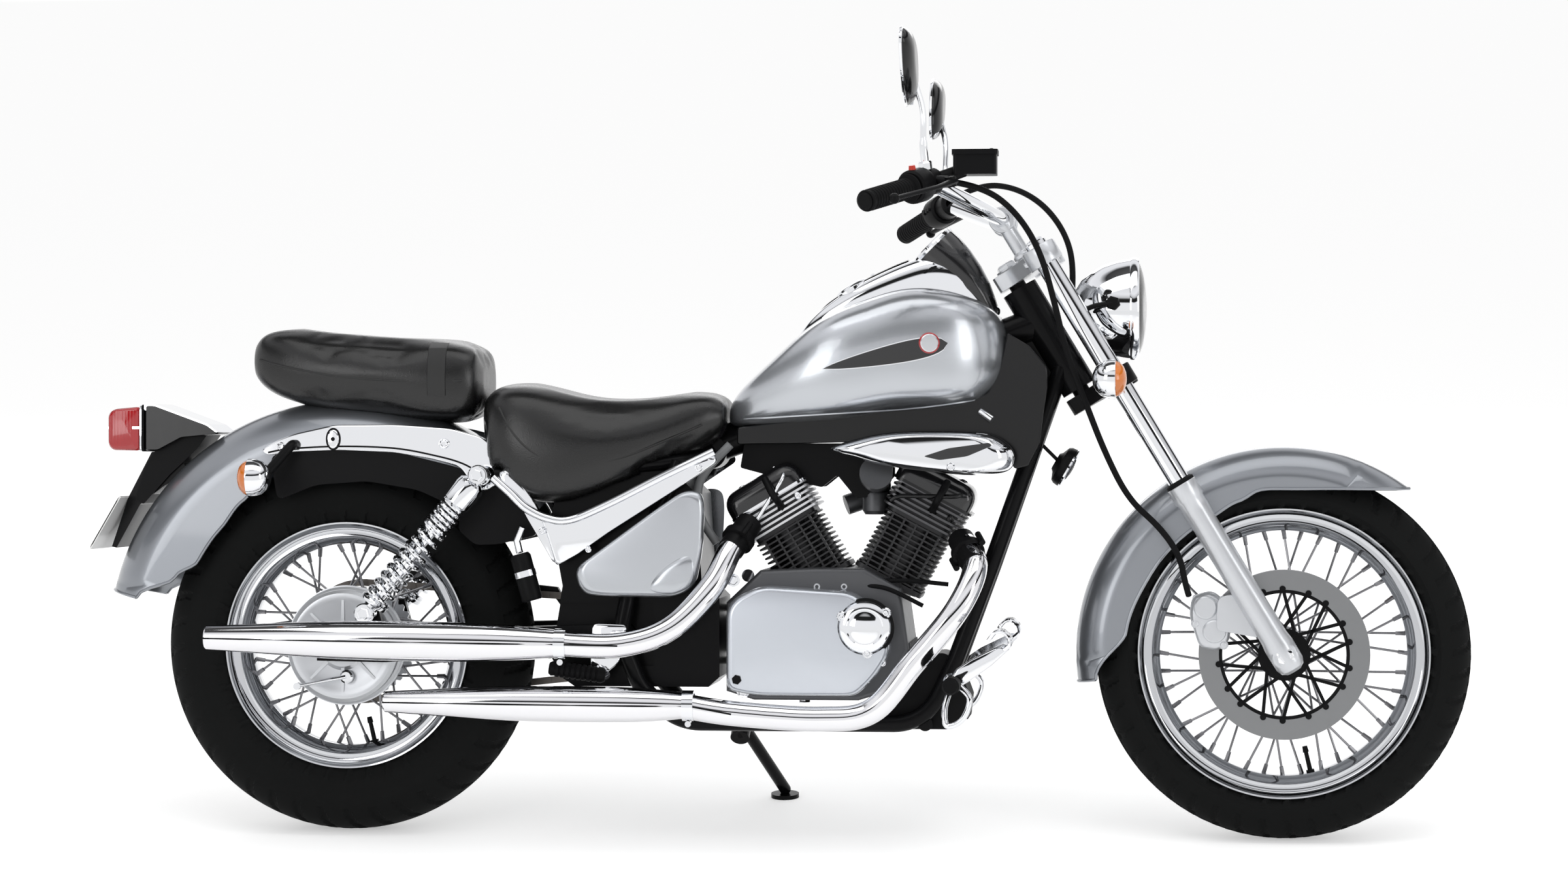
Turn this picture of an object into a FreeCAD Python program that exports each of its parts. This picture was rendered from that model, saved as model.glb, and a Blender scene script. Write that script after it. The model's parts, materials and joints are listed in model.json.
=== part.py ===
"""Cruiser motorcycle, a V-twin on wire wheels, leaning on its side stand.

Every piece is drawn on the upright bike: X forward from the rear axle, Y to the rider's
left, Z up from the road, in millimetres. One placement then leans the whole machine onto
its stand and sets the origin on the road below the middle of the machine.
"""
import FreeCAD, Part
import math
import os
import Sketcher

Vector = FreeCAD.Vector
Rotation = FreeCAD.Rotation
Placement = FreeCAD.Placement
ORIGIN = Vector(0, 0, 0)
AHEAD = Vector(1, 0, 0)
SIDEWAYS = Vector(0, 1, 0)
UP = Vector(0, 0, 1)

SIZES = {
    # Stance: axles, steering axis and the parked lean
    "wheelbase": 1539, "rake_angle": 31.1, "fork_offset": 60, "lean_angle": 8,
    "origin_ahead": 708.57, "origin_left": 152.85, "drawn_wheelbase": 1539,
    # Front wheel
    "front_tyre_radius": 302, "front_tyre_half": 55, "front_lip_radius": 236,
    "front_rim_half": 43, "front_hub_radius": 27, "front_flange_radius": 42,
    "front_flange_place": 33, "front_hub_half": 50, "front_axle_radius": 9,
    # Rear wheel
    "rear_tyre_radius": 308, "rear_tyre_half": 65, "rear_lip_radius": 205,
    "rear_rim_half": 50, "rear_hub_radius": 36, "rear_flange_radius": 60,
    "rear_flange_place": 36, "rear_hub_half": 60, "rear_axle_radius": 10, "drum_radius": 97,
    # What both wheels share
    "lip_height": 18, "rim_wall": 4, "well_depth": 14, "tyre_shoulder": 48, "tyre_foot": 2.5,
    "spoke_radius": 2.2, "spoke_count": 40, "spoke_sweep": 24, "spoke_well_place": 8,
    "flange_thickness": 8, "wheel_gap": 0.3, "axle_running_gap": 0.1,
    # Brakes
    "disc_radius": 137, "disc_inner_radius": 101, "disc_thickness": 5, "disc_place": 65,
    "disc_carrier_radius": 40, "disc_arm_count": 6, "disc_boss_radius": 24,
    "pad_clearance": 5, "caliper_reach": 26, "panel_radius": 92, "panel_thickness": 12,
    "panel_gap": 5, "panel_bevel": 5,
    # Fork
    "fork_spacing": 196, "stanchion_radius": 18, "stanchion_top": 775, "stanchion_foot": 200,
    "leg_radius": 22.5, "leg_top": 320, "leg_foot": -26, "leg_lug_radius": 26,
    "seal_wall": 3, "seal_height": 26, "lower_clamp_place": 517, "upper_clamp_place": 750,
    "clamp_thickness": 32, "clamp_wall": 11, "clamp_eye_radius": 24, "head_tube_radius": 30,
    "stem_radius": 14, "stem_gap": 3, "head_tube_gap": 5, "downtube_rise": 44,
    # Fenders
    "front_fender_radius": 335, "front_fender_wall": 3, "fender_boss": 4,
    "front_fender_crown": 52, "front_fender_front": 53, "front_fender_rear": 188,
    "front_fender_hem": 250, "rear_fender_radius": 405, "rear_fender_half": 95,
    "rear_fender_wall": 4, "rear_fender_hem": 276, "rear_fender_front": 37,
    "rear_fender_rear": 167, "rear_fender_round": 60,
    # Fender struts
    "strut_thickness": 10, "rack_hole_ahead": -9, "rack_hole_height": 649,
    "rack_hole_radius": 3.4, "strut_pin_radius": 8,
    # Frame
    "backbone_tube": 28, "rail_tube": 12, "cradle_tube": 14,
    "cross_tube": 12, "cradle_half": 88, "cradle_height": 188,
    # Swingarm
    "pivot_ahead": 470, "pivot_height": 330, "pivot_pin_radius": 9, "arm_half_width": 12,
    "arm_half_height": 22, "arm_place": 104, "pivot_tube": 20, "pivot_half": 134,
    "rear_axle_half": 132, "axle_spacer_radius": 18,
    # Rear shocks
    "shock_place": 140, "spring_radius": 23.5, "shock_top_ahead": 240,
    "shock_top_height": 590, "shock_foot_ahead": 52, "shock_foot_height": 365,
    "spring_wire": 6, "spring_coils": 13, "shock_eye_radius": 17, "shock_eye_half": 14,
    "damper_radius": 13,
    # Engine
    "crank_ahead": 845, "crank_height": 318, "case_half": 108, "rear_bank_angle": 31,
    "front_bank_angle": 28, "barrel_radius": 48, "fin_half_length": 66,
    "fin_half_width": 70, "fin_pitch": 11, "fin_thickness": 3.5, "fin_count": 14,
    "barrel_fins": 9, "barrel_fin_inset": 6, "fin_corner": 16, "barrel_start": 118,
    "head_cover_height": 38, "head_cover_round": 12, "cover_depth": 52,
    "left_cover_depth": 40, "regulator_half": 62, "foot_peg_radius": 14, "cover_round": 9, "clutch_cover_radius": 43,
    "intake_radius": 26, "air_cleaner_back": 106, "air_cleaner_face": 172,
    # Exhaust
    "upper_pipe_place": 215, "lower_pipe_place": 190, "silencer_radius": 31,
    "lower_silencer_radius": 28, "header_radius": 20,
    # Tank, console and speedometer
    "tank_half": 135, "tunnel_gap": 4, "tank_gap": 0.7, "dial_radius": 43, "dial_ahead": 968,
    "dial_height": 962,
    # Seats and what lies below them
    "seat_half": 150, "pillion_half": 118, "seat_gap": 0.8, "seat_pan_height": 642,
    "inner_half": 98, "tray_left": 56, "side_cover_place": 136, "side_cover_depth": 16,
    "side_cover_round": 5, "trim_place": 134, "trim_depth": 8, "trim_tube": 7,
    # Lamps and signals
    "lamp_ahead": 1298, "lamp_height": 862, "lamp_radius": 84, "lamp_depth": 100,
    "lamp_rim": 8, "lamp_wall": 8, "glass_bulge": 20, "signal_radius": 31,
    "signal_place": 180, "rear_signal_place": 190, "stalk_radius": 8,
    "tail_lamp_half": 62, "tail_lens_half": 59,
    # Handlebar and controls
    "bar_radius": 12.5, "grip_radius": 17, "bar_half": 445, "bar_bore_radius": 8.5,
    "bar_bore_depth": 40, "grip_length": 128, "riser_place": 50, "riser_radius": 12,
    "bar_clamp_half": 15, "bar_clamp_radius": 21,
    "bar_height": 836, "bar_lead": 34, "switch_radius": 27, "perch_radius": 21,
    "reservoir_inset": 204, "reservoir_reach": 150, "reservoir_foot": 1062,
    "reservoir_top": 1101,
    "mirror_place": 372, "mirror_height": 1222, "mirror_thickness": 22,
    "mirror_stem_radius": 5,
    # Side stand
    "stand_pivot_ahead": 640, "stand_pivot_height": 170, "stand_pivot_left": 124,
    "stand_foot_ahead": 700, "stand_foot_left": 252, "stand_radius": 10,
    "stand_eye_radius": 17, "stand_eye_half": 11, "stand_foot_radius": 24,
    "stand_foot_thickness": 7,
    # Drive
    "chain_place": 80, "sprocket_radius": 88, "sprocket_thickness": 6,
    "sprocket_hub_radius": 52, "drive_sprocket_radius": 36, "chain_depth": 12,
    "chain_width": 14, "chain_gap": 5,
    # Number plate
    "plate_half": 89, "plate_height": 100, "plate_thickness": 2, "plate_ahead": -371,
    "plate_top": 553, "plate_tilt": 30.4,
    # Fits and hoses
    "seat_clearance": 0.3, "cable_radius": 5, "hose_radius": 5,
}

doc = FreeCAD.newDocument("CruiserMotorcycle")
sheet = doc.addObject("Spreadsheet::Sheet", "Sizes")


def fill_sheet():
    """Write each driving size as a named cell."""
    for row, (name, value) in enumerate(SIZES.items(), start=1):
        sheet.set("A%d" % row, name.replace("_", " "))
        sheet.set("B%d" % row, str(value))
        sheet.setAlias("B%d" % row, name)
    doc.recompute()


fill_sheet()


# Lengths that stay bound to the sheet

class Length(float):
    """A number that also carries the expression that ties it to the sheet."""

    def __new__(cls, value, text):
        length = super().__new__(cls, value)
        length.text = text
        return length

    def __add__(self, other):
        return joined_length(self, "+", other, lambda a, b: a + b)

    def __radd__(self, other):
        return joined_length(other, "+", self, lambda a, b: a + b)

    def __sub__(self, other):
        return joined_length(self, "-", other, lambda a, b: a - b)

    def __rsub__(self, other):
        return joined_length(other, "-", self, lambda a, b: a - b)

    def __mul__(self, other):
        return joined_length(self, "*", other, lambda a, b: a * b)

    def __rmul__(self, other):
        return joined_length(other, "*", self, lambda a, b: a * b)

    def __truediv__(self, other):
        return joined_length(self, "/", other, lambda a, b: a / b)

    def __neg__(self):
        return Length(-float(self), "(0 - %s)" % self.text)


def expression(value):
    """Expression of a length, or the plain number."""
    return value.text if isinstance(value, Length) else "(%.6f)" % value


def joined_length(first, sign, second, work):
    """Result of a sum or product, with its expression."""
    for part in (first, second):
        if not isinstance(part, (int, float)):
            return NotImplemented
    text = "(%s %s %s)" % (expression(first), sign, expression(second))
    return Length(work(float(first), float(second)), text)


def size(name):
    """Value of one cell of the sheet, bound to that cell."""
    return Length(float(sheet.get(name)), "Sizes." + name)


def bind(thing, **sizes):
    """Set sizes of an object and bind those that come from the sheet."""
    for name, value in sizes.items():
        whole = isinstance(getattr(thing, name), int)
        setattr(thing, name, int(value) if whole else float(value))
        if isinstance(value, Length):
            thing.setExpression(name, value.text)


# Layout: steering axis, cylinder banks and what stretches with the wheelbase

RAKE = math.radians(size("rake_angle"))
STEER_UP = Vector(-math.sin(RAKE), 0, math.cos(RAKE))
STEER_AHEAD = Vector(math.cos(RAKE), 0, math.sin(RAKE))
FRONT_AXLE = Vector(size("wheelbase"), 0, size("front_tyre_radius"))
REAR_AXLE = Vector(0, 0, size("rear_tyre_radius"))
STEER_BASE = FRONT_AXLE - STEER_AHEAD * size("fork_offset")
FORK_HALF = size("fork_spacing") / 2


def stretch(ahead):
    """Place ahead of the rear axle, moved with the wheelbase."""
    if ahead <= 0:
        return ahead
    return ahead * (size("wheelbase") / size("drawn_wheelbase"))


def spot(ahead, left, height):
    """Point of the layout between the axles."""
    return Vector(stretch(ahead), left, height)


def layout(points):
    """Outline of (ahead, height) points, moved with the wheelbase."""
    return [(stretch(ahead), height) for ahead, height in points]


CRANK = spot(size("crank_ahead"), 0, size("crank_height"))


def steer_point(along, ahead, left):
    """Point at a distance up the steering axis, ahead of it and to the left."""
    return STEER_BASE + STEER_UP * along + STEER_AHEAD * ahead + SIDEWAYS * left


def bank_point(angle, along, ahead, left):
    """Point up a cylinder bank that leans back by angle degrees from the crank centre."""
    lean = math.radians(angle)
    up = Vector(-math.sin(lean), 0, math.cos(lean))
    front = Vector(math.cos(lean), 0, math.sin(lean))
    return CRANK + up * along + front * ahead + SIDEWAYS * left


# The parked machine leans to the left, with both tyres on the road

def crown_radius(end):
    """Radius of the round tread of a tyre, through both shoulders and the crown."""
    half = size(end + "_tyre_half")
    shoulder = size("tyre_shoulder")
    return (half * half + shoulder * shoulder) / (shoulder * 2)


def parked():
    """Placement of the leaning machine, its origin on the road below its middle."""
    lean = Rotation(AHEAD, -size("lean_angle"))
    sink = crown_radius("rear") * (1 - math.cos(math.radians(size("lean_angle"))))
    return Placement(Vector(-size("origin_ahead"), -size("origin_left"), sink), lean)


def road_height(left):
    """Height of the road at a distance left of the upright bike's middle plane."""
    lean = math.radians(size("lean_angle"))
    sink = crown_radius("rear") * (1 - math.cos(lean))
    return (left * math.sin(lean) - sink) / math.cos(lean)


PARKED = parked()
PIECES = []


def keep(label, thing):
    """Park a finished object or shape and list it as a sub-part of the machine."""
    if isinstance(thing, Part.Shape):
        shape = thing
        thing = doc.addObject("Part::Feature", label)
        thing.Shape = shape
    thing.Label = label
    thing.Placement = PARKED.multiply(thing.Placement)
    PIECES.append(thing)
    return thing


# Bound objects: sketched bodies, primitives and their booleans

def origin_part(body, role):
    """Plane or axis of a body's own origin."""
    return next(part for part in body.Origin.OriginFeatures if part.Role == role)


def sketch(body, role, name, corners):
    """Closed straight-sided sketch on a body's own plane, each corner bound to the sheet."""
    drawn = body.newObject("Sketcher::SketchObject", name)
    drawn.AttachmentSupport = (origin_part(body, role), [""])
    drawn.MapMode = "FlatFace"
    places = [Vector(x, y, 0) for x, y in corners]
    for start, end in zip(places, places[1:] + places[:1]):
        drawn.addGeometry(Part.LineSegment(start, end), False)
    count = len(corners)
    for line in range(count):
        after = (line + 1) % count
        drawn.addConstraint(Sketcher.Constraint("Coincident", line, 2, after, 1))
    for line, (x, y) in enumerate(corners):
        hold_corner(drawn, line, "DistanceX", x, -2)
        hold_corner(drawn, line, "DistanceY", y, -1)
    return drawn


def hold_corner(drawn, line, kind, value, axis):
    """Fix the start of a sketch line at a distance from the origin, or on an axis."""
    if float(value) == 0:
        drawn.addConstraint(Sketcher.Constraint("PointOnObject", line, 1, axis))
        return
    place = Sketcher.Constraint(kind, -1, 1, line, 1, float(value))
    number = drawn.addConstraint(place)
    if isinstance(value, Length):
        drawn.setExpression("Constraints[%d]" % number, value.text)


def revolved(name, corners, centre, axis=SIDEWAYS):
    """Body turned from (radius, along) corners about an axis through centre."""
    body = doc.addObject("PartDesign::Body", name)
    add_turn(body, name, corners)
    body.Placement = Placement(centre, Rotation(SIDEWAYS, axis))
    return body


def add_turn(body, name, corners):
    """Full revolution of (radius, along) corners about a body's own Y axis."""
    drawn = sketch(body, "XY_Plane", name + "_section", corners)
    turn = body.newObject("PartDesign::Revolution", name + "_turn")
    turn.Profile = drawn
    turn.ReferenceAxis = (drawn, ["V_Axis"])
    turn.Angle = 360
    doc.recompute()
    return turn


def add_pad(body, name, corners, depth):
    """Pad of an (ahead, height) outline to the left."""
    drawn = sketch(body, "XZ_Plane", name + "_outline", corners)
    pad = body.newObject("PartDesign::Pad", name + "_pad")
    pad.Profile = drawn
    pad.Reversed = True
    bind(pad, Length=depth)
    doc.recompute()
    return pad


def pressed(name, corners, left, depth):
    """Body with an (ahead, height) outline, from a distance left and depth thick."""
    body = doc.addObject("PartDesign::Body", name)
    add_pad(body, name, corners, depth)
    body.Placement = Placement(SIDEWAYS * left, Rotation())
    return body


def round_face(body, name, depth, radius):
    """Round the edges of a padded body's far face."""
    last = body.Tip
    edges = ["Edge%d" % number for number, edge in enumerate(last.Shape.Edges, start=1)
             if abs(edge.CenterOfMass.y - depth) < 0.01]
    rounded = body.newObject("PartDesign::Fillet", name + "_edges")
    rounded.Base = (last, edges)
    bind(rounded, Radius=radius)
    doc.recompute()
    return rounded


def bar(name, start, end, radius):
    """Round bar between two points."""
    run = end - start
    thing = doc.addObject("Part::Cylinder", name)
    bind(thing, Radius=radius, Height=run.Length)
    thing.Placement = Placement(start, Rotation(UP, run))
    return thing


def knob(name, centre, radius):
    """Ball about a point."""
    thing = doc.addObject("Part::Sphere", name)
    bind(thing, Radius=radius)
    thing.Placement = Placement(centre, Rotation())
    return thing


def pipe(name, points, radius, bend=None):
    """Round tube swept along straight runs and arcs."""
    path = plain(name + "_path", bent_path(points, bend))
    ring = doc.addObject("Part::Circle", name + "_ring")
    bind(ring, Radius=radius)
    ring.Placement = Placement(points[0], Rotation(UP, points[1] - points[0]))
    swept = doc.addObject("Part::Sweep", name)
    swept.Sections = [ring]
    swept.Spine = (path, ["Edge%d" % (k + 1) for k in range(len(path.Shape.Edges))])
    swept.Solid = True
    return swept


def plain(name, shape):
    """Object that holds a shape drawn with Part's own functions."""
    thing = doc.addObject("Part::Feature", name)
    thing.Shape = shape
    return thing


def fuse(name, things):
    """One object from touching objects."""
    thing = doc.addObject("Part::MultiFuse", name)
    thing.Shapes = things
    thing.Refine = True
    return thing


def cut(name, base, tool):
    """One object less another."""
    thing = doc.addObject("Part::Cut", name)
    thing.Base = base
    thing.Tool = tool
    return thing


def both_sides(name, thing):
    """An object with its mirror image on the bike's other side."""
    twin = doc.addObject("Part::Mirroring", name + "_twin")
    twin.Source = thing
    twin.Normal = SIDEWAYS
    pair_of = doc.addObject("Part::Compound", name)
    pair_of.Links = [thing, twin]
    return pair_of


# Shape helpers

def mirrored(shape):
    """The same shape on the other side of the bike."""
    return shape.mirror(ORIGIN, SIDEWAYS)


def pair(shape):
    """A shape and its mirror image, as separate solids."""
    return Part.makeCompound([shape, mirrored(shape)])


def fused(shapes):
    """One solid from touching shapes, without the seams between them."""
    return shapes[0].multiFuse(shapes[1:]).removeSplitter()


def biggest(shape):
    """The largest solid of a cut shape."""
    return max(shape.Solids, key=lambda solid: solid.Volume)


def rod(start, end, radius):
    """Round bar between two points."""
    run = end - start
    return Part.makeCylinder(radius, run.Length, start, run)


def cone(start, end, radius, end_radius):
    """Tapered round bar between two points."""
    run = end - start
    return Part.makeCone(radius, end_radius, run.Length, start, run)


def ball(centre, radius):
    """Sphere about a point."""
    return Part.makeSphere(radius, centre)


def bent_path(points, bend=None):
    """Straight runs joined by tangent arcs, as a wire."""
    edges = []
    start = points[0]
    for before, corner, after in zip(points, points[1:], points[2:]):
        inward, outward = corner - before, after - corner
        shorter = min(inward.Length, outward.Length)
        inward.normalize()
        outward.normalize()
        turn = inward.getAngle(outward)
        reach = 0.45 * shorter
        if bend:
            reach = min(reach, bend * math.tan(turn / 2))
        entry = corner - inward * reach
        leave = corner + outward * reach
        across = (outward - inward).normalize()
        radius = reach / math.tan(turn / 2)
        middle = corner + across * (radius / math.cos(turn / 2) - radius)
        edges.append(Part.LineSegment(start, entry).toShape())
        edges.append(Part.Arc(entry, middle, leave).toShape())
        start = leave
    edges.append(Part.LineSegment(start, points[-1]).toShape())
    return Part.Wire(edges)


def tube(points, radius, bend=None):
    """Solid round tube along a bent path."""
    path = bent_path(points, bend)
    ring = Part.Wire(Part.makeCircle(radius, points[0], points[1] - points[0]))
    return path.makePipeShell([ring], True, False)


def outline(points, left):
    """Closed straight-sided face from (ahead, height) points at one distance left."""
    corners = [Vector(x, left, z) for x, z in points]
    return Part.Face(Part.makePolygon(corners + [corners[0]]))


def slab(points, inner, outer):
    """Plate with an (ahead, height) outline between two distances left."""
    return outline(points, inner).extrude(Vector(0, outer - inner, 0))


def rounded_slab(points, inner, outer, radius):
    """Plate whose outer face has round edges."""
    block = slab(points, inner, outer)
    edges = [edge for edge in block.Edges if abs(edge.CenterOfMass.y - outer) < 0.01]
    return block.makeFillet(radius, edges)


def round_outline(points, left, shrink=1.0):
    """Closed smooth wire through (ahead, height) points, drawn in towards their middle."""
    middle_x = sum(x for x, _ in points) / len(points)
    middle_z = sum(z for _, z in points) / len(points)
    curve = Part.BSplineCurve()
    curve.interpolate([Vector(middle_x + (x - middle_x) * shrink, left,
                              middle_z + (z - middle_z) * shrink) for x, z in points],
                      PeriodicFlag=True)
    return Part.Wire(curve.toShape())


def swell(across, low, high, fullness, place):
    """Closed smooth section across the bike at one place ahead.

    fullness sets how square the section is, from 1 for an ellipse up.
    """
    middle, half_height = (low + high) / 2, (high - low) / 2
    points = []
    for step in range(16):
        angle = 2 * math.pi * (step + 0.5) / 16
        side, lift = math.cos(angle), math.sin(angle)
        wide = math.copysign(abs(side) ** (1 / fullness), side) * across
        rise = math.copysign(abs(lift) ** (1 / fullness), lift) * half_height
        points.append(Vector(place, wide, middle + rise))
    curve = Part.BSplineCurve()
    curve.interpolate(points, PeriodicFlag=True)
    return Part.Wire(curve.toShape())


def loft(sections):
    """Smooth solid through closed sections."""
    return Part.makeLoft(sections, True, False)


def spun(profile, centre, first=0.0, last=360.0):
    """Ring about an axle from (radius, left) points, between two angles from ahead."""
    corners = [centre + Vector(radius, left, 0) for radius, left in profile]
    face = Part.Face(Part.makePolygon(corners + [corners[0]]))
    face.rotate(centre, SIDEWAYS, -first)
    return face.revolve(centre, -SIDEWAYS, last - first)


def turned(profile, centre, axis):
    """Solid of revolution from (radius, along) points about an axis through centre."""
    side = SIDEWAYS if abs(axis.y) < 0.9 * axis.Length else AHEAD
    axis = Vector(axis).normalize()
    side = side.cross(axis).normalize()
    corners = [centre + side * radius + axis * along for radius, along in profile]
    face = Part.Face(Part.makePolygon(corners + [corners[0]]))
    return face.revolve(centre, axis, 360)


# Tyres

def make_tyre(end, centre):
    """Tyre with a round tread, full sidewalls and beads seated between the rim's lips."""
    radius, half = size(end + "_tyre_radius"), size(end + "_tyre_half")
    lip = size(end + "_lip_radius")
    bead = lip - size("lip_height") + size("wheel_gap")
    bead_half = size(end + "_rim_half") - size("rim_wall") - size("wheel_gap")
    foot = lip + size("tyre_foot")
    crown = crown_radius(end)
    right = [(bead, bead_half), (foot, bead_half), (radius - size("tyre_shoulder"), half)]
    for turn in (math.radians(45), math.radians(size("lean_angle"))):
        right.append((radius - crown * (1 - math.cos(turn)), crown * math.sin(turn)))
    corners = right + [(place, -across) for place, across in reversed(right)]
    keep(end + "_tyre", revolved(end + "_tyre", corners, centre))


# Wire wheels

def well_radius(end):
    """Radius of the drop in the middle of a rim, where the spokes end."""
    return size(end + "_lip_radius") - size("lip_height") - size("well_depth")


def rim_corners(end):
    """Drop-centre rim: lips, bead seats and well."""
    lip, half, wall = size(end + "_lip_radius"), size(end + "_rim_half"), size("rim_wall")
    seat, well = lip - size("lip_height"), well_radius(end)
    slope = half * 0.5
    return [(lip, half), (lip, half - wall), (seat, half - wall), (well, slope),
            (well, -slope), (seat, wall - half), (lip, wall - half), (lip, -half),
            (seat - wall, -half), (well - wall, -slope), (well - wall, slope),
            (seat - wall, half)]


def hub_corners(end):
    """Hub barrel with a flange for each side's spokes, bored for its axle."""
    half, barrel = size(end + "_hub_half"), size(end + "_hub_radius")
    flange, place = size(end + "_flange_radius"), size(end + "_flange_place")
    bore = size(end + "_axle_radius") + size("axle_running_gap")
    inner, outer = place - size("flange_thickness") / 2, place + size("flange_thickness") / 2
    return [(bore, -half), (barrel, -half), (barrel, -outer), (flange, -outer),
            (flange, -inner), (barrel, -inner), (barrel, inner), (flange, inner),
            (flange, outer), (barrel, outer), (barrel, half), (bore, half)]


def spokes(end, centre):
    """Laced wire spokes from both hub flanges to the rim's well."""
    flange = size(end + "_flange_radius") - size("flange_thickness") / 2
    place, well = size(end + "_flange_place"), well_radius(end)
    count = int(size("spoke_count"))
    wires = []
    for index in range(count):
        side = 1 if index % 2 else -1
        sweep = size("spoke_sweep") if index % 4 < 2 else -size("spoke_sweep")
        turn = 2 * math.pi * index / count
        foot = turn + math.radians(sweep)
        start = Vector(flange * math.cos(foot), side * place, flange * math.sin(foot))
        stop = Vector(well * math.cos(turn), side * size("spoke_well_place"),
                      well * math.sin(turn))
        wires.append(bar("%s_spoke_%d" % (end, index), centre + start, centre + stop,
                         size("spoke_radius")))
    return wires


def wheel_parts(end, centre):
    """Rim, hub and spokes of one wheel."""
    rim = revolved(end + "_rim_ring", rim_corners(end), centre)
    hub = revolved(end + "_hub", hub_corners(end), centre)
    return [rim, hub] + spokes(end, centre)


def make_front_wheel():
    keep("front_rim", fuse("front_rim", wheel_parts("front", FRONT_AXLE)))


def make_rear_wheel():
    """Rear wheel with its brake drum on the right and its sprocket on the left."""
    inner, half = size("rear_hub_radius") - 5, size("rear_hub_half")
    back = size("rear_flange_place") - size("flange_thickness") / 2
    drum = revolved("brake_drum", [(inner, -half), (size("drum_radius"), -half),
                                   (size("drum_radius"), -back), (inner, -back)], REAR_AXLE)
    near = size("chain_place") - size("sprocket_thickness") / 2
    far = size("chain_place") + size("sprocket_thickness") / 2
    bore = size("rear_axle_radius") + size("axle_running_gap")
    boss, teeth = size("sprocket_hub_radius"), size("sprocket_radius")
    sprocket = revolved("sprocket", [(bore, half - 2), (boss, half - 2), (boss, near),
                                     (teeth, near), (teeth, far), (bore, far)], REAR_AXLE)
    keep("rear_rim", fuse("rear_rim", wheel_parts("rear", REAR_AXLE) + [drum, sprocket]))


def make_brake_disc():
    """Disc ring on a spoked carrier, bolted to the right face of the front hub."""
    half = size("disc_thickness") / 2
    carrier, ring = size("disc_carrier_radius"), size("disc_inner_radius")
    bore = size("front_axle_radius") + size("axle_running_gap")
    hub_face = size("disc_place") - size("front_hub_half")
    body = doc.addObject("PartDesign::Body", "brake_disc")
    add_turn(body, "disc_boss", [(bore, -half), (carrier, -half), (carrier, half),
                                 (size("disc_boss_radius"), hub_face), (bore, hub_face)])
    foot, tip = carrier - 6, ring + 4
    arm = add_pad(body, "disc_arm", [(foot, -9), (tip, -6), (tip, 6), (foot, 9)], half * 2)
    arm.Midplane = True
    pattern = body.newObject("PartDesign::PolarPattern", "disc_arms")
    pattern.Originals = [arm]
    pattern.Axis = (origin_part(body, "Y_Axis"), [""])
    pattern.Angle = 360
    bind(pattern, Occurrences=size("disc_arm_count"))
    body.Tip = pattern
    doc.recompute()
    add_turn(body, "disc_ring", [(ring, -half), (size("disc_radius"), -half),
                                 (size("disc_radius"), half), (ring, half)])
    body.Placement = Placement(FRONT_AXLE - SIDEWAYS * size("disc_place"), Rotation())
    keep("brake_disc", body)


# Fork, clamps and what steers

def clamp_plate(place):
    """Bridge of one fork clamp, round behind the stem and square between the tubes."""
    half = size("clamp_thickness") / 2 - 2
    reach, eye = size("fork_offset") + 14, size("clamp_eye_radius")
    corners = [(-eye * 0.9, -eye * 0.4), (-eye * 0.9, eye * 0.4), (-eye * 0.4, eye * 0.9),
               (reach - 30, FORK_HALF), (reach, FORK_HALF), (reach, -FORK_HALF),
               (reach - 30, -FORK_HALF), (-eye * 0.4, -eye * 0.9)]
    points = [steer_point(place - half, ahead, left) for ahead, left in corners]
    face = Part.Face(Part.makePolygon(points + [points[0]]))
    return face.extrude(STEER_UP * (half * 2))


def fork_bar(name, low, high, radius, left):
    """Round bar in line with one fork tube."""
    start = steer_point(low, size("fork_offset"), left)
    return bar(name, start, steer_point(high, size("fork_offset"), left), radius)


def make_fork_upper():
    """Two stanchions held by the lower and upper clamps on the steering stem."""
    half = size("clamp_thickness") / 2
    wall = size("stanchion_radius") + size("clamp_wall")
    lower, upper = size("lower_clamp_place"), size("upper_clamp_place")
    parts = [plain("lower_bridge", clamp_plate(lower)), plain("upper_bridge", clamp_plate(upper))]
    for number, left in enumerate((-FORK_HALF, FORK_HALF)):
        name = "fork_tube_%d" % number
        parts.append(fork_bar(name, size("stanchion_foot"), size("stanchion_top"),
                              size("stanchion_radius"), left))
        parts.append(fork_bar(name + "_lower_eye", lower - half, lower + half, wall, left))
        parts.append(fork_bar(name + "_upper_eye", upper - half, upper + half, wall, left))
    parts.append(bar("stem", steer_point(lower, 0, 0), steer_point(upper + half + 10, 0, 0),
                     size("stem_radius")))
    arm = steer_point(lower + 8, size("fork_offset") + 8, 0)
    bowl = lamp_centre() - AHEAD * 45 - UP * (size("lamp_radius") - 9)
    parts.append(bar("lamp_arm", arm, bowl, 10))
    clear = lamp_bowl("lamp_bowl_clearance", size("seat_clearance"))
    keep("fork_upper", cut("fork_upper", fuse("fork_upper_parts", parts), clear))


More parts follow.
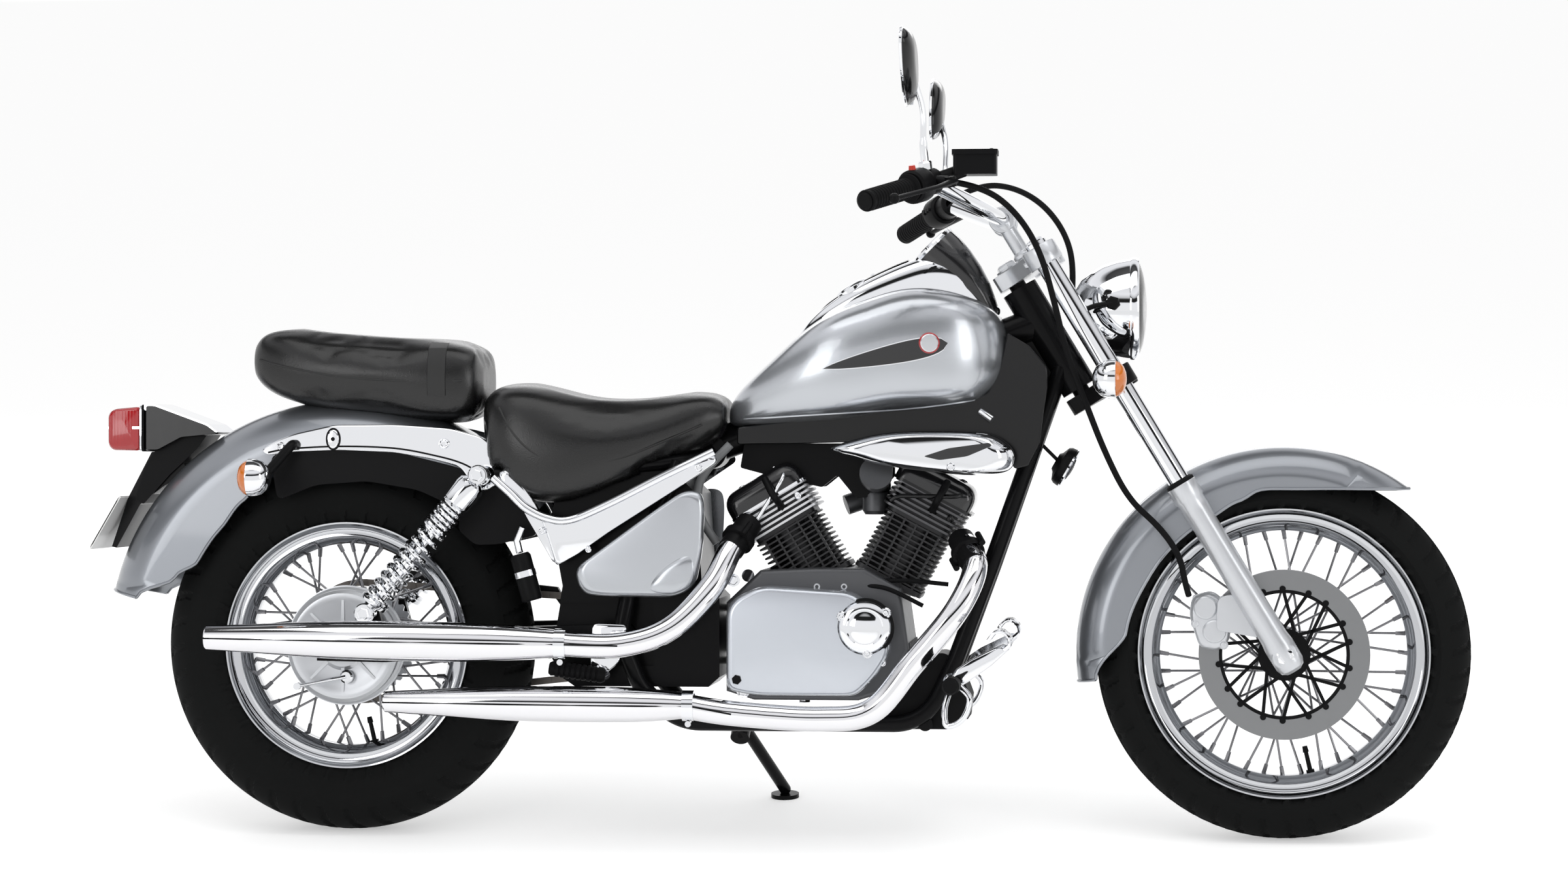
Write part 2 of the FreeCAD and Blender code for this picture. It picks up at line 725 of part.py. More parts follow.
def make_fork_lowers():
    """Fork legs with their seals, the axle and its lugs, and the brake's bracket."""
    gap = size("seat_clearance")
    legs, bores = [], []
    top = size("leg_top")
    for number, left in enumerate((-FORK_HALF, FORK_HALF)):
        name = "leg_%d" % number
        legs.append(fork_bar(name, size("leg_foot"), top, size("leg_radius"), left))
        legs.append(fork_bar(name + "_seal", top + 4 - size("seal_height"), top + 4,
                             size("leg_radius") + size("seal_wall"), left))
        legs.append(bar(name + "_lug", FRONT_AXLE + SIDEWAYS * (left - 20),
                        FRONT_AXLE + SIDEWAYS * (left + 20), size("leg_lug_radius")))
        bores.append(fork_bar(name + "_bore", size("stanchion_foot") - gap, top + 10,
                              size("stanchion_radius") + gap / 3, left))
    reach = FORK_HALF + size("leg_radius") + 4
    legs.append(bar("front_axle", FRONT_AXLE - SIDEWAYS * reach, FRONT_AXLE + SIDEWAYS * reach,
                    size("front_axle_radius")))
    legs.append(plain("caliper_bracket", caliper_bracket(0)))
    face = FORK_HALF - size("leg_radius") - size("fender_boss")
    for along in (255, 300):
        for side in (-1, 1):
            inner = steer_point(along, size("fork_offset"), side * face)
            legs.append(bar("fender_boss_%d_%d" % (along, side + 1), inner,
                            inner + SIDEWAYS * side * (size("fender_boss") + 4), 8))
    body = fuse("fork_lower_parts", legs)
    keep("fork_lowers", cut("fork_lowers", body, fuse("leg_bores", bores)))


def caliper_bracket(gap):
    """Tab on the right fork leg that carries the caliper, grown by a gap."""
    face = -FORK_HALF + size("leg_radius") - 8
    x, z = FRONT_AXLE.x, FRONT_AXLE.z
    corners = [(x - 107 - gap, z + 38 - gap), (x - 39, z + 28 - gap), (x - 39, z + 70 + gap),
               (x - 87, z + 98 + gap), (x - 107 - gap, z + 94 + gap)]
    return slab(corners, face - 10 - gap, face + gap)


def fender_profile(crown, half, wall, hem, crown_round):
    """Inverted U section of a fender, as (radius, left) points of outer then inner skin."""
    outer = fender_skin(crown, half, hem, crown_round)
    inner = fender_skin(crown - wall, half - wall, hem, crown_round)
    return outer + list(reversed(inner))


def fender_skin(radius, side, foot, crown_round):
    """One skin of a fender's section, from its right hem over the crown to its left."""
    steps = 6
    right = []
    for step in range(steps + 1):
        turn = math.radians(90 * step / steps)
        right.append((radius - crown_round * (1 - math.sin(turn)),
                      -side + crown_round * (1 - math.cos(turn))))
    return [(foot, -side)] + right + [(r, -y) for r, y in reversed(right)] + [(foot, side)]


def make_front_fender():
    """Deep front fender, its skirts cut low behind the fork and high ahead of it."""
    half = FORK_HALF - size("leg_radius") - size("fender_boss") - size("seat_clearance")
    profile = fender_profile(size("front_fender_radius"), half, size("front_fender_wall"),
                             size("front_fender_hem"), size("front_fender_crown"))
    shell = spun(profile, FRONT_AXLE, size("front_fender_front"), size("front_fender_rear"))
    x, z = FRONT_AXLE.x, FRONT_AXLE.z
    ahead = [(x - 60, z + 262), (x - 6, z + 274), (x + 93, z + 270), (x + 152, z + 267),
             (x + 260, z + 267), (x + 260, z), (x - 60, z)]
    keep("front_fender", shell.cut(slab(ahead, -200, 200)))


def lamp_centre():
    """Middle of the headlamp's rim."""
    return Vector(FRONT_AXLE.x + size("lamp_ahead") - size("drawn_wheelbase"), 0,
                  size("lamp_height"))


def lamp_bowl(name, grow):
    """Solid bowl of the headlamp, round at the back."""
    radius, depth = size("lamp_radius") + grow, size("lamp_depth") + grow
    corners = [(0, -depth), (radius * 0.35, depth * -0.97), (radius * 0.66, depth * -0.82),
               (radius * 0.87, depth * -0.55), (radius * 0.97, depth * -0.25), (radius, 0),
               (radius, size("lamp_rim") + grow), (0, size("lamp_rim") + grow)]
    return revolved(name, corners, lamp_centre(), AHEAD)


def make_headlight():
    """Headlamp bowl with its domed glass."""
    radius, depth, rim = size("lamp_radius"), size("lamp_depth"), size("lamp_rim")
    inner = radius - size("lamp_wall")
    hollow = revolved("lamp_hollow", [(0, depth * -0.6), (inner * 0.6, depth * -0.45),
                                      (inner, 0), (inner, rim + 1), (0, rim + 1)],
                      lamp_centre(), AHEAD)
    keep("headlight_shell", cut("headlight_shell", lamp_bowl("lamp_bowl", 0), hollow))
    start, bulge = rim + size("seat_clearance"), size("glass_bulge")
    edge = radius - 3
    glass = [(0, start), (edge, start), (edge, start + 3), (radius * 0.7, start + 3 + bulge * 0.3),
             (radius * 0.35, start + bulge * 0.6), (0, start + bulge * 0.7)]
    keep("headlight_lens", revolved("headlight_lens", glass, lamp_centre(), AHEAD))


def bar_points():
    """Centre line of the handlebar, from its middle to the left end."""
    middle = steer_point(size("bar_height"), size("bar_lead"), 0)
    half = size("bar_half")
    return [middle, middle + Vector(0, 78, 0), middle + Vector(-22, 160, 9),
            middle + Vector(-104, half - 160, 46), middle + Vector(-192, half, 6)]


def whole_bar():
    """Centre line of the handlebar from end to end."""
    points = bar_points()
    return [Vector(p.x, -p.y, p.z) for p in reversed(points[1:])] + points[1:]


def make_handlebar():
    """Handlebar bored at both ends, on its risers, with a rubber grip on each end."""
    half = size("clamp_thickness") / 2 + size("seat_clearance")
    parts = [pipe("bar", whole_bar(), size("bar_radius"), 90)]
    for number, left in enumerate((-size("riser_place"), size("riser_place"))):
        foot = steer_point(size("upper_clamp_place") + half, size("bar_lead"), left)
        centre = steer_point(size("bar_height"), size("bar_lead"), left)
        parts.append(bar("riser_%d" % number, foot, centre, size("riser_radius")))
        reach = SIDEWAYS * size("bar_clamp_half")
        parts.append(bar("bar_clamp_%d" % number, centre - reach, centre + reach,
                         size("bar_clamp_radius")))
    end, back, _, _ = bar_end()
    bore = bar("bar_bore", end - back, end + back * size("bar_bore_depth"),
               size("bar_bore_radius"))
    bores = both_sides("bar_bores", bore)
    keep("handlebar", cut("handlebar", fuse("handlebar_parts", parts), bores))
    sleeve = bar("grip_sleeve", end, end + back * size("grip_length"), size("grip_radius"))
    core = bar("grip_bore", end - back * 2, end + back * (size("grip_length") + 2),
               size("bar_radius") + size("seat_clearance"))
    keep("grips", both_sides("grips", cut("grip", sleeve, core)))


def bar_end():
    """Left bar end with its directions: inboard along the bar, ahead of it and up from it."""
    points = bar_points()
    end, before = points[-1], points[-2]
    back = (before - end).normalize()
    ahead = UP.cross(back).normalize()
    rise = back.cross(ahead).normalize()
    return end, back, ahead, rise


def bar_way():
    """The handlebar grown by a clearance, to be cut from what clamps it."""
    end, back, _, _ = bar_end()
    grown = size("bar_radius") + size("seat_clearance")
    stub = rod(end - back * 5, end + back * 5, grown)
    return tube(whole_bar(), grown, 90).fuse(stub).fuse(mirrored(stub))


def lever(start, elbow, tip):
    """Flat hand lever as a tapered blade with a ball end."""
    return [rod(start, elbow, 6), ball(elbow, 7), cone(elbow, tip, 6, 5), ball(tip, 9)]


def make_hand_controls():
    """Switch boxes, the brake reservoir and both hand levers, on the bar inside the grips."""
    end, back, ahead, _ = bar_end()
    place = end + back * (size("grip_length") + 3 + size("seat_clearance"))
    box = rod(place, place + back * 38, size("switch_radius"))
    perch_start = place + back * 42
    perch = rod(perch_start, perch_start + back * 26, size("perch_radius"))
    arm = rod(perch_start + back * 13 + ahead * 12, perch_start + back * 8 + ahead * 44, 9)
    pivot = perch_start + back * 6 + ahead * 46
    blade = lever(pivot, pivot - back * 60 + ahead * 10, pivot - back * 168 - ahead * 2)
    join = rod(place + back * 30, perch_start + back * 4, 20)
    core = bar_way()
    left_side = fused([box, perch, arm, join] + blade).cut(core)
    inner, outer = end.y - size("reservoir_inset"), end.y - size("reservoir_reach")
    low, high = size("reservoir_foot"), size("reservoir_top")
    corners = [(1016, low), (1016, high), (1088, high), (1088, low)]
    tank = slab(layout(corners), inner, outer)
    neck = rod(perch_start + back * 13, spot(1034, (inner + outer) / 2, low + 8), 11)
    right_side = fused([box, perch, arm, join, tank, neck] + blade).cut(core)
    keep("hand_controls", Part.makeCompound([left_side, mirrored(right_side)]))


def make_mirrors():
    """Long pointed mirrors on thin stems from the lever perches."""
    end, back, _, rise = bar_end()
    perch = end + back * (size("grip_length") + 53)
    foot = perch + rise * (size("perch_radius") + size("seat_clearance"))
    head = Vector(end.x + 4, size("mirror_place"), size("mirror_height"))
    stem = tube([foot, foot + rise * 40, head + Vector(20, -60, -62), head + Vector(3, -14, -4)],
                size("mirror_stem_radius"))
    shape = [(-78, -32), (-60, -54), (-8, -46), (52, -12), (84, 30), (66, 52), (14, 56),
             (-40, 40), (-72, 6)]
    curve = Part.BSplineCurve()
    curve.interpolate([head + Vector(-8, y, z) for y, z in shape], PeriodicFlag=True)
    thick = Vector(size("mirror_thickness"), 0, 0)
    blade = Part.Face(Part.Wire(curve.toShape())).extrude(thick)
    keep("mirrors", pair(fused([stem, blade])))


def make_front_signals():
    """Bullet turn signals on stalks from the lower clamp."""
    radius, gap = size("signal_radius"), size("seat_clearance")
    centre = FRONT_AXLE + Vector(-283, size("signal_place"), 442)
    corners = [(0, -20), (radius * 0.6, -16), (radius, -2), (radius, 10), (radius * 0.92, 22),
               (radius * 0.6, 30), (0, 33)]
    body = turned(corners, centre, AHEAD)
    wall = FORK_HALF + size("stanchion_radius") + size("clamp_wall")
    clamp = steer_point(size("lower_clamp_place"), size("fork_offset"), wall + gap)
    stalk = rod(Vector(clamp.x - 6, clamp.y, centre.z - 4), centre - Vector(0, 10, 2),
                size("stalk_radius"))
    guard = rod(steer_point(size("lower_clamp_place") - 40, size("fork_offset"), FORK_HALF),
                steer_point(size("lower_clamp_place") + 60, size("fork_offset"), FORK_HALF),
                size("stanchion_radius") + size("clamp_wall") + gap)
    keep("front_indicators", pair(fused([body, stalk]).cut(guard)))


def make_caliper():
    """Two-piston caliper astride the disc, behind the right fork leg."""
    x, z = FRONT_AXLE.x, FRONT_AXLE.z
    place, reach = size("disc_place"), size("caliper_reach")
    body = slab([(x - 152, z + 62), (x - 146, z + 96), (x - 112, z + 104), (x - 86, z + 78),
                 (x - 84, z + 22), (x - 104, z + 4), (x - 138, z + 10)], -place - reach,
                reach - 4 - place)
    gap = size("pad_clearance") + size("disc_thickness") / 2
    rim = size("disc_radius") + 8
    slot = spun([(20, -place - gap), (rim, -place - gap), (rim, gap - place), (20, gap - place)],
                FRONT_AXLE)
    leg = rod(steer_point(size("leg_foot"), size("fork_offset"), -FORK_HALF),
              steer_point(size("leg_top"), size("fork_offset"), -FORK_HALF),
              size("leg_radius") + size("seat_clearance"))
    bracket = caliper_bracket(size("seat_clearance"))
    keep("brake_caliper", biggest(body.cut(slot).cut(leg).cut(bracket)))


def make_hoses():
    """Brake hose down the right fork leg and the bundle of bar cables."""
    hose = [(-523, -262, 1052), (-477, -236, 1046), (-427, -205, 1010), (-389, -178, 950),
            (-367, -158, 870), (-349, -142, 790), (-317, -136, 706), (-287, -134, 628),
            (-249, -130, 552), (-199, -128, 508), (-167, -124, 462), (-159, -112, 418),
            (-153, -99, 398)]
    points = [Vector(FRONT_AXLE.x + x, y, z) for x, y, z in hose]
    keep("brake_hose", pipe("brake_hose", points, size("hose_radius")))
    bundle = [(-539, 225, 1064), (-499, 190, 1080), (-443, 140, 1072), (-391, 92, 1040),
              (-353, 56, 988), (-339, 34, 930), (-343, 24, 880)]
    points = [Vector(FRONT_AXLE.x + x, y, z) for x, y, z in bundle]
    cables = pipe("cable_bundle", points, size("cable_radius"))
    bowl = lamp_bowl("lamp_bowl_cable_side", 0)
    keep("control_cables", cut("control_cables", cables, bowl))


# Frame and what it carries

def head_ends():
    """Places up the steering axis where the head tube starts and ends."""
    half = size("clamp_thickness") / 2 + size("head_tube_gap")
    return size("lower_clamp_place") + half, size("upper_clamp_place") - half


def backbone_ends():
    """Front and rear end of the backbone tube."""
    lower, upper = head_ends()
    return steer_point((lower + upper) / 2 + 30, 0, 0), spot(605, 0, 636)


def rail_points(side):
    """Centre line of one seat rail, from the backbone to the shock mount."""
    return [spot(604, side * 30, 628), spot(560, side * 96, 612), spot(420, side * 112, 600),
            spot(262, side * 118, 590)]


def downtube_points(side):
    """Centre line of one downtube, from the steering head to the cradle."""
    lower, _ = head_ends()
    return [steer_point(lower + size("downtube_rise"), -8, side * 16),
            spot(1066, side * 52, 440), spot(1011, side * 74, 292),
            spot(962, side * size("cradle_half"), size("cradle_height"))]


def side_tube_points(side):
    """Centre line of one side tube, from the cradle past the swingarm pivot to the rail."""
    return [spot(560, side * size("cradle_half"), size("cradle_height")),
            spot(500, side * 120, 250),
            spot(size("pivot_ahead"), side * size("pivot_half"), size("pivot_height")),
            spot(486, side * 114, 420), spot(560, side * 96, 612)]


def pivot_centre():
    """Middle of the swingarm pivot."""
    return spot(size("pivot_ahead"), 0, size("pivot_height"))


def make_frame():
    """Twin cradle frame: head tube, backbone, downtubes, cradle and seat rails."""
    lower, upper = head_ends()
    head = rod(steer_point(lower, 0, 0), steer_point(upper, 0, 0), size("head_tube_radius"))
    parts = [head, rod(*backbone_ends(), size("backbone_tube"))]
    half, low = size("cradle_half"), size("cradle_height")
    for side in (-1, 1):
        parts.append(tube(downtube_points(side) + side_tube_points(side),
                          size("cradle_tube"), 80))
        parts.append(tube(rail_points(side), size("rail_tube"), 60))
        gusset = [steer_point(lower + 150, -10, side * 8), steer_point(lower + 30, -10, side * 8),
                  spot(1020, side * 8, 712), spot(1000, side * 8, 752)]
        face = Part.Face(Part.makePolygon(gusset + [gusset[0]]))
        parts.append(face.extrude(Vector(0, side * 6, 0)))
    parts.append(rod(spot(604, -34, 628), spot(604, 34, 628), size("backbone_tube")))
    for ahead in (962, 580):
        parts.append(rod(spot(ahead, -half, low), spot(ahead, half, low), size("cross_tube")))
    reach = SIDEWAYS * size("pivot_half")
    parts.append(rod(pivot_centre() - reach, pivot_centre() + reach, size("pivot_pin_radius")))
    stand = stand_frame()
    seat = size("stand_eye_half") + size("seat_clearance")
    parts.append(rod(stand["pivot"] - stand["axis"] * 32, stand["pivot"] - stand["axis"] * seat,
                     size("stand_eye_radius") - 1))
    parts.append(rod(stand["pivot"] - stand["axis"] * 25,
                     Vector(stand["pivot"].x - 2, half, low - 9), 9))
    bore = rod(steer_point(lower - 10, 0, 0), steer_point(upper + 10, 0, 0),
               size("stem_radius") + size("stem_gap"))
    keep("frame", fused(parts).cut(bore))


def frame_clearance():
    """Rails and backbone grown by a clearance, to be cut from what sits on them."""
    gap = size("seat_clearance")
    parts = [tube(rail_points(side), size("rail_tube") + gap, 60) for side in (-1, 1)]
    parts.append(rod(spot(604, -34, 628), spot(604, 34, 628), size("backbone_tube") + gap))
    parts.append(rod(*backbone_ends(), size("backbone_tube") + gap))
    return fused(parts)


def frame_side_clearance():
    """The frame's upright side tubes grown by a clearance."""
    grown = size("cradle_tube") + size("seat_clearance")
    return fused([tube(side_tube_points(side)[1:], grown, 80) for side in (-1, 1)])


def frame_head_clearance():
    """Head tube and downtubes grown by a clearance."""
    lower, upper = head_ends()
    gap = size("seat_clearance")
    parts = [rod(steer_point(lower - 1, 0, 0), steer_point(upper, 0, 0),
                 size("head_tube_radius") + gap)]
    parts += [tube(downtube_points(side), size("cradle_tube") + gap, 80) for side in (-1, 1)]
    return fused(parts)


def make_head_covers():
    """Black covers on both sides of the steering head and along the tank's lower edge."""
    shape = layout([(1094, 822), (1130, 800), (1158, 766), (1160, 736), (1152, 690), (1146, 640),
                    (1128, 606), (1106, 600), (1082, 636), (1040, 646), (900, 646), (760, 642),
                    (652, 640), (652, 658), (757, 670), (894, 688), (1010, 694), (1062, 712),
                    (1084, 770)])
    cover = rounded_slab(shape, 36, 58, 4)
    tank = tank_shape()
    gap = size("tank_gap")
    for shift in ((0, 0, 0), (gap, 0, -gap), (0, -gap, -gap)):
        cover = cover.cut(tank.translated(Vector(*shift)))
    keep("head_covers", pair(biggest(cover.cut(frame_head_clearance()).cut(frame_clearance()))))


def make_swingarm():
    """Two box arms from the pivot tube to the rear axle, with the chain guard."""
    pivot = pivot_centre()
    place, wide, tall = size("arm_place"), size("arm_half_width"), size("arm_half_height")
    cross = size("pivot_tube")
    parts = [rod(pivot - SIDEWAYS * place, pivot + SIDEWAYS * place, cross)]
    panel_face = size("rear_hub_half") + size("panel_gap") + size("panel_thickness")
    parts.append(rod(REAR_AXLE - SIDEWAYS * place,
                     REAR_AXLE - SIDEWAYS * (panel_face + size("seat_clearance")),
                     size("axle_spacer_radius")))
    z = REAR_AXLE.z
    shape = [(-34, z - tall), (-34, z + tall), (70, z + tall + 6), (pivot.x, pivot.z + cross - 2),
             (pivot.x, pivot.z - cross + 2), (80, z - tall - 2)]
    foot = Vector(size("shock_foot_ahead"), 0, size("shock_foot_height"))
    lug = [(foot.x - 20, z), (foot.x - 14, foot.z + 14), (foot.x + 14, foot.z + 14),
           (foot.x + 34, z)]
    for side in (-1, 1):
        parts.append(slab(shape, side * (place - wide), side * (place + wide)))
        parts.append(slab(lug, side * (place + wide - 14), side * (place + wide)))
        parts.append(rod(foot + SIDEWAYS * side * (place + wide - 6),
                         foot + SIDEWAYS * side * (size("shock_place") + 16),
                         size("strut_pin_radius")))
    reach = SIDEWAYS * size("rear_axle_half")
    parts.append(rod(REAR_AXLE - reach, REAR_AXLE + reach, size("rear_axle_radius")))
    guard = layout([(60, 408), (70, 428), (330, 400), (350, 366), (338, 366), (322, 388),
                    (72, 414)])
    parts.append(slab(guard, 94, 108))
    parts.append(slab(layout([(150, 330), (168, 330), (168, 410), (150, 410)]), 100, 108))
    bore = rod(pivot - SIDEWAYS * 160, pivot + SIDEWAYS * 160,
               size("pivot_pin_radius") + size("axle_running_gap"))
    keep("swingarm", fused(parts).cut(bore))


def shock_ends():
    """Lower and upper mount of the left shock."""
    foot = Vector(size("shock_foot_ahead"), size("shock_place"), size("shock_foot_height"))
    return foot, Vector(size("shock_top_ahead"), size("shock_place"), size("shock_top_height"))


def make_shocks():
    """Chrome rear shocks, a coil spring round each damper."""
    foot, top = shock_ends()
    axis = top - foot
    length = axis.Length
    radius, wire, eye = size("spring_radius"), size("spring_wire"), size("shock_eye_radius")
    rod_radius = size("damper_radius")
    start, stop = eye + 8, length - eye - 12
    pitch = (stop - start) / size("spring_coils")
    corners = [(0, eye - 4), (rod_radius, eye - 4), (radius, start - 4), (radius, start)]
    for coil in range(int(size("spring_coils"))):
        base = start + pitch * coil
        corners += [(radius - wire, base + pitch * 0.08), (radius - wire, base + pitch * 0.3),
                    (radius, base + pitch * 0.5), (radius, base + pitch * 0.8)]
    corners += [(radius, stop + 4), (rod_radius, length - eye + 4), (0, length - eye + 4)]
    body = revolved("spring", corners, foot, axis)
    half = SIDEWAYS * size("shock_eye_half")
    eyes = [bar("shock_eye_%d" % number, centre - half, centre + half, eye)
            for number, centre in enumerate((foot, top))]
    hole = size("strut_pin_radius") + size("axle_running_gap")
    pins = [bar("shock_hole_%d" % number, centre - half * 2, centre + half * 2, hole)
            for number, centre in enumerate((foot, top))]
    shock = cut("shock", fuse("shock_parts", [body] + eyes), fuse("shock_holes", pins))
    keep("rear_shocks", both_sides("rear_shocks", shock))


def make_rear_fender():
    """Wide rear fender with a bobbed tail, down to ahead of the tyre."""
    profile = fender_profile(size("rear_fender_radius"), size("rear_fender_half"),
                             size("rear_fender_wall"), size("rear_fender_hem"),
                             size("rear_fender_round"))
    shell = spun(profile, REAR_AXLE, size("rear_fender_front"), size("rear_fender_rear"))
    tail = [(-276, 422), (-391, 401), (-460, 380), (-460, 250), (-200, 250), (-200, 440)]
    keep("rear_fender", shell.cut(slab(tail, -200, 200)))


def fender_body(grow):
    """Solid filled outer form of the rear fender, grown by a clearance."""
    skin = fender_skin(size("rear_fender_radius") + grow, size("rear_fender_half") + grow, 200,
                       size("rear_fender_round") + grow)
    return spun(skin, REAR_AXLE, 20, 180)


STRUT = [(-131, 631), (-106, 646), (-73, 658), (-9, 672), (92, 673), (183, 667), (238, 652),
         (268, 630), (270, 568), (230, 564), (202, 604), (156, 616), (92, 627), (0, 631),
         (-82, 622), (-122, 618)]


def rack_place(left):
    """Centre of the tapped rack hole in a fender strut."""
    return Vector(size("rack_hole_ahead"), left, size("rack_hole_height"))


def make_struts():
    """Chrome fender struts along both sides, with the shocks' upper pins."""
    inner = size("rear_fender_half") + size("seat_clearance")
    strut = slab(STRUT, inner, inner + size("strut_thickness"))
    _, top = shock_ends()
    middle = Vector(top.x, 0, top.z)
    pin = rod(middle + SIDEWAYS * (inner + 4), middle + SIDEWAYS * (size("shock_place") + 18),
              size("strut_pin_radius"))
    hole = rod(rack_place(inner - 1), rack_place(inner + size("strut_thickness") + 1),
               size("rack_hole_radius"))
    rail = tube(rail_points(1), size("rail_tube") + size("axle_running_gap"), 60)
    keep("fender_struts", pair(biggest(fused([strut, pin]).cut(rail).cut(hole))))


def strut_clearance():
    """Both fender struts and the shocks' upper mounts, grown, to be cut from the saddle."""
    inner = size("rear_fender_half") - 2
    middle_x, middle_z = 80, 629
    grown = [(x + math.copysign(4, x - middle_x), z + math.copysign(5, z - middle_z))
             for x, z in STRUT]
    strut = slab(grown, inner, inner + size("strut_thickness") + 5)
    return strut, mirrored(strut)


LAMP_HOUSING = [(-206, 652), (-222, 662), (-231, 672), (-324, 706), (-338, 706), (-338, 629),
                (-318, 629), (-278, 640)]


def make_tail_lamp():
    """Tail lamp housing over the tail of the fender and its red lens."""
    half = size("tail_lamp_half")
    housing = slab(LAMP_HOUSING, -half, half)
    edges = [edge for edge in housing.Edges
             if abs(edge.tangentAt(edge.FirstParameter).y) > 0.99 and edge.CenterOfMass.z > 690]
    housing = housing.makeFillet(5, edges)
    keep("tail_lamp", biggest(housing.cut(fender_body(size("seat_clearance")))))
    back = size("seat_clearance") + 338
    lens = pressed("tail_lamp_lens", [(-back, 704), (-348, 704), (-396, 698), (-403, 690),
                                      (-403, 640), (-396, 631), (-348, 630), (-back, 630)],
                   -size("tail_lens_half"), size("tail_lens_half") * 2)
    round_face(lens, "tail_lens", size("tail_lens_half") * 2, 3)
    keep("tail_lamp_lens", lens)


def plate_turn():
    """Placement of the number plate, its top edge back and its face towards the rear."""
    top = Vector(size("plate_ahead"), -size("plate_half"), size("plate_top"))
    return Placement(top, Rotation(SIDEWAYS, 180 + size("plate_tilt")))


def plate_box(name, thick):
    """Flat box in the number plate's place."""
    box = doc.addObject("Part::Box", name)
    bind(box, Length=thick, Width=size("plate_half") * 2, Height=size("plate_height"))
    box.Placement = plate_turn()
    return box


def make_plate():
    """Blank number plate on a black bracket below the tail lamp."""
    bracket = slab([(-300, 631), (-332, 628), (-372, 552), (-400, 470), (-392, 468),
                    (-352, 540), (-318, 566), (-270, 600)], -40, 40)
    space = plate_box("plate_space", 60)
    doc.recompute()
    half = size("tail_lamp_half") + 2
    lamp = slab(LAMP_HOUSING, -half, half)
    bracket = bracket.cut(fender_body(size("seat_clearance"))).cut(space.Shape).cut(lamp)
    keep("plate_bracket", biggest(bracket))
    keep("number_plate", plate_box("number_plate", size("plate_thickness")))


def make_rear_signals():
    """Bullet turn signals on stalks from the fender struts."""
    radius = size("signal_radius")
    centre = Vector(-116, size("rear_signal_place"), 586)
    outer = size("rear_fender_half") + size("strut_thickness") + size("seat_clearance") * 2
    body = turned([(0, -33), (radius * 0.6, -30), (radius * 0.92, -22), (radius, -10),
                   (radius, 2), (radius * 0.6, 18), (0, 24)], centre, AHEAD)
    root = Vector(-72, outer, 640)
    stalk = tube([root, root + Vector(0, 28, 0), centre + Vector(0, -30, 4),
                  centre + Vector(0, -12, 0)], size("stalk_radius"))
    keep("rear_indicators", pair(fused([body, stalk])))


def seat_form(stations, widest, drawn):
    """Smooth seat through (ahead, half width, low, high, fullness) stations."""
    grow = widest / drawn
    return loft([swell(half * grow, low, high, full, stretch(place))
                 for place, half, low, high, full in stations])


def make_seats():
    """Rider's saddle and passenger pad, hollowed below for the rails and fender."""
    saddle = seat_form([(236, 84, 590, 712, 1.5), (262, 132, 578, 733, 2.0),
                        (330, 148, 542, 732, 2.2), (400, 148, 546, 715, 2.2),
                        (470, 140, 572, 709, 2.1), (550, 122, 608, 716, 2.0),
                        (605, 100, 638, 722, 1.9), (634, 84, 664, 710, 1.5)],
                       size("seat_half"), 150)
    inner = size("inner_half") + 4
    pan = Part.makeBox(stretch(560) - 200, 2 * inner, 400,
                       Vector(200, -inner, size("seat_pan_height") - 400))
    near, far = strut_clearance()
    saddle = saddle.cut(near).cut(far).cut(pan).cut(fender_body(size("seat_gap")))
    saddle = saddle.cut(pair(trim_strip(size("trim_tube") + size("seat_gap"))))
    keep("rider_seat", biggest(saddle.cut(frame_clearance()).cut(tank_shape())))
    pad = seat_form([(-153, 62, 752, 804, 1.6), (-128, 88, 728, 826, 2.0),
                     (-60, 104, 706, 824, 2.3), (20, 112, 700, 816, 2.4),
                     (110, 116, 690, 810, 2.4), (190, 114, 682, 806, 2.3),
                     (226, 96, 690, 798, 1.8)], size("pillion_half"), 118)
    keep("passenger_seat", biggest(pad.cut(fender_body(size("seat_gap")))))


TANK_STATIONS = [(637, 30, 672, 702, 1.3), (662, 66, 668, 737, 1.6), (706, 96, 672, 777, 1.8),
                 (757, 118, 676, 822, 1.9), (860, 135, 686, 876, 1.9), (955, 132, 696, 896, 1.9),
                 (1023, 112, 703, 884, 1.9), (1062, 86, 722, 866, 1.8), (1092, 40, 772, 818, 1.4)]


def tank_shape():
    """Outer form of the tank, before its tunnel."""
    grow = size("tank_half") / 135
    return loft([swell(half * grow, low, high, full, stretch(place))
                 for place, half, low, high, full in TANK_STATIONS])


def tank_tunnel():
    """Clear way for the backbone below the tank."""
    start, end = backbone_ends()
    radius = size("backbone_tube") + size("tunnel_gap")
    below = slab([(start.x, start.z), (end.x, end.z), (end.x, end.z - 260),
                  (start.x, start.z - 260)], -radius, radius)
    return rod(start, end, radius).fuse(below)


def console_shape():
    """Chrome console along the top of the tank, rising to the speedometer."""
    stations = [(16, 800, 826, 1.4, 755), (30, 806, 868, 1.8, 790), (38, 820, 900, 1.9, 850),
                (44, 840, 934, 1.9, 925), (46, 850, 936, 1.9, 980), (34, 846, 900, 1.8, 1050),
                (16, 850, 872, 1.5, 1080)]
    return loft([swell(half, low, high, full, stretch(place))
                 for half, low, high, full, place in stations])


def speedometer_shape():
    """Speedometer: a round face towards the rider on a pod that tapers to the front."""
    spine = [(0, 0, 1.0, 45), (16, -14, 1.0, 44), (38, -36, 0.94, 38), (62, -61, 0.84, 30),
             (84, -85, 0.66, 22), (101, -104, 0.4, 14), (108, -112, 0.16, 8)]
    rings = []
    face = spot(size("dial_ahead"), 0, size("dial_height"))
    for ahead, up, share, tilt in spine:
        turn = math.radians(tilt)
        normal = Vector(-math.cos(turn), 0, math.sin(turn))
        centre = face + Vector(ahead, 0, up)
        rings.append(Part.Wire(Part.makeCircle(size("dial_radius") * share, centre, normal)))
    return loft(rings)


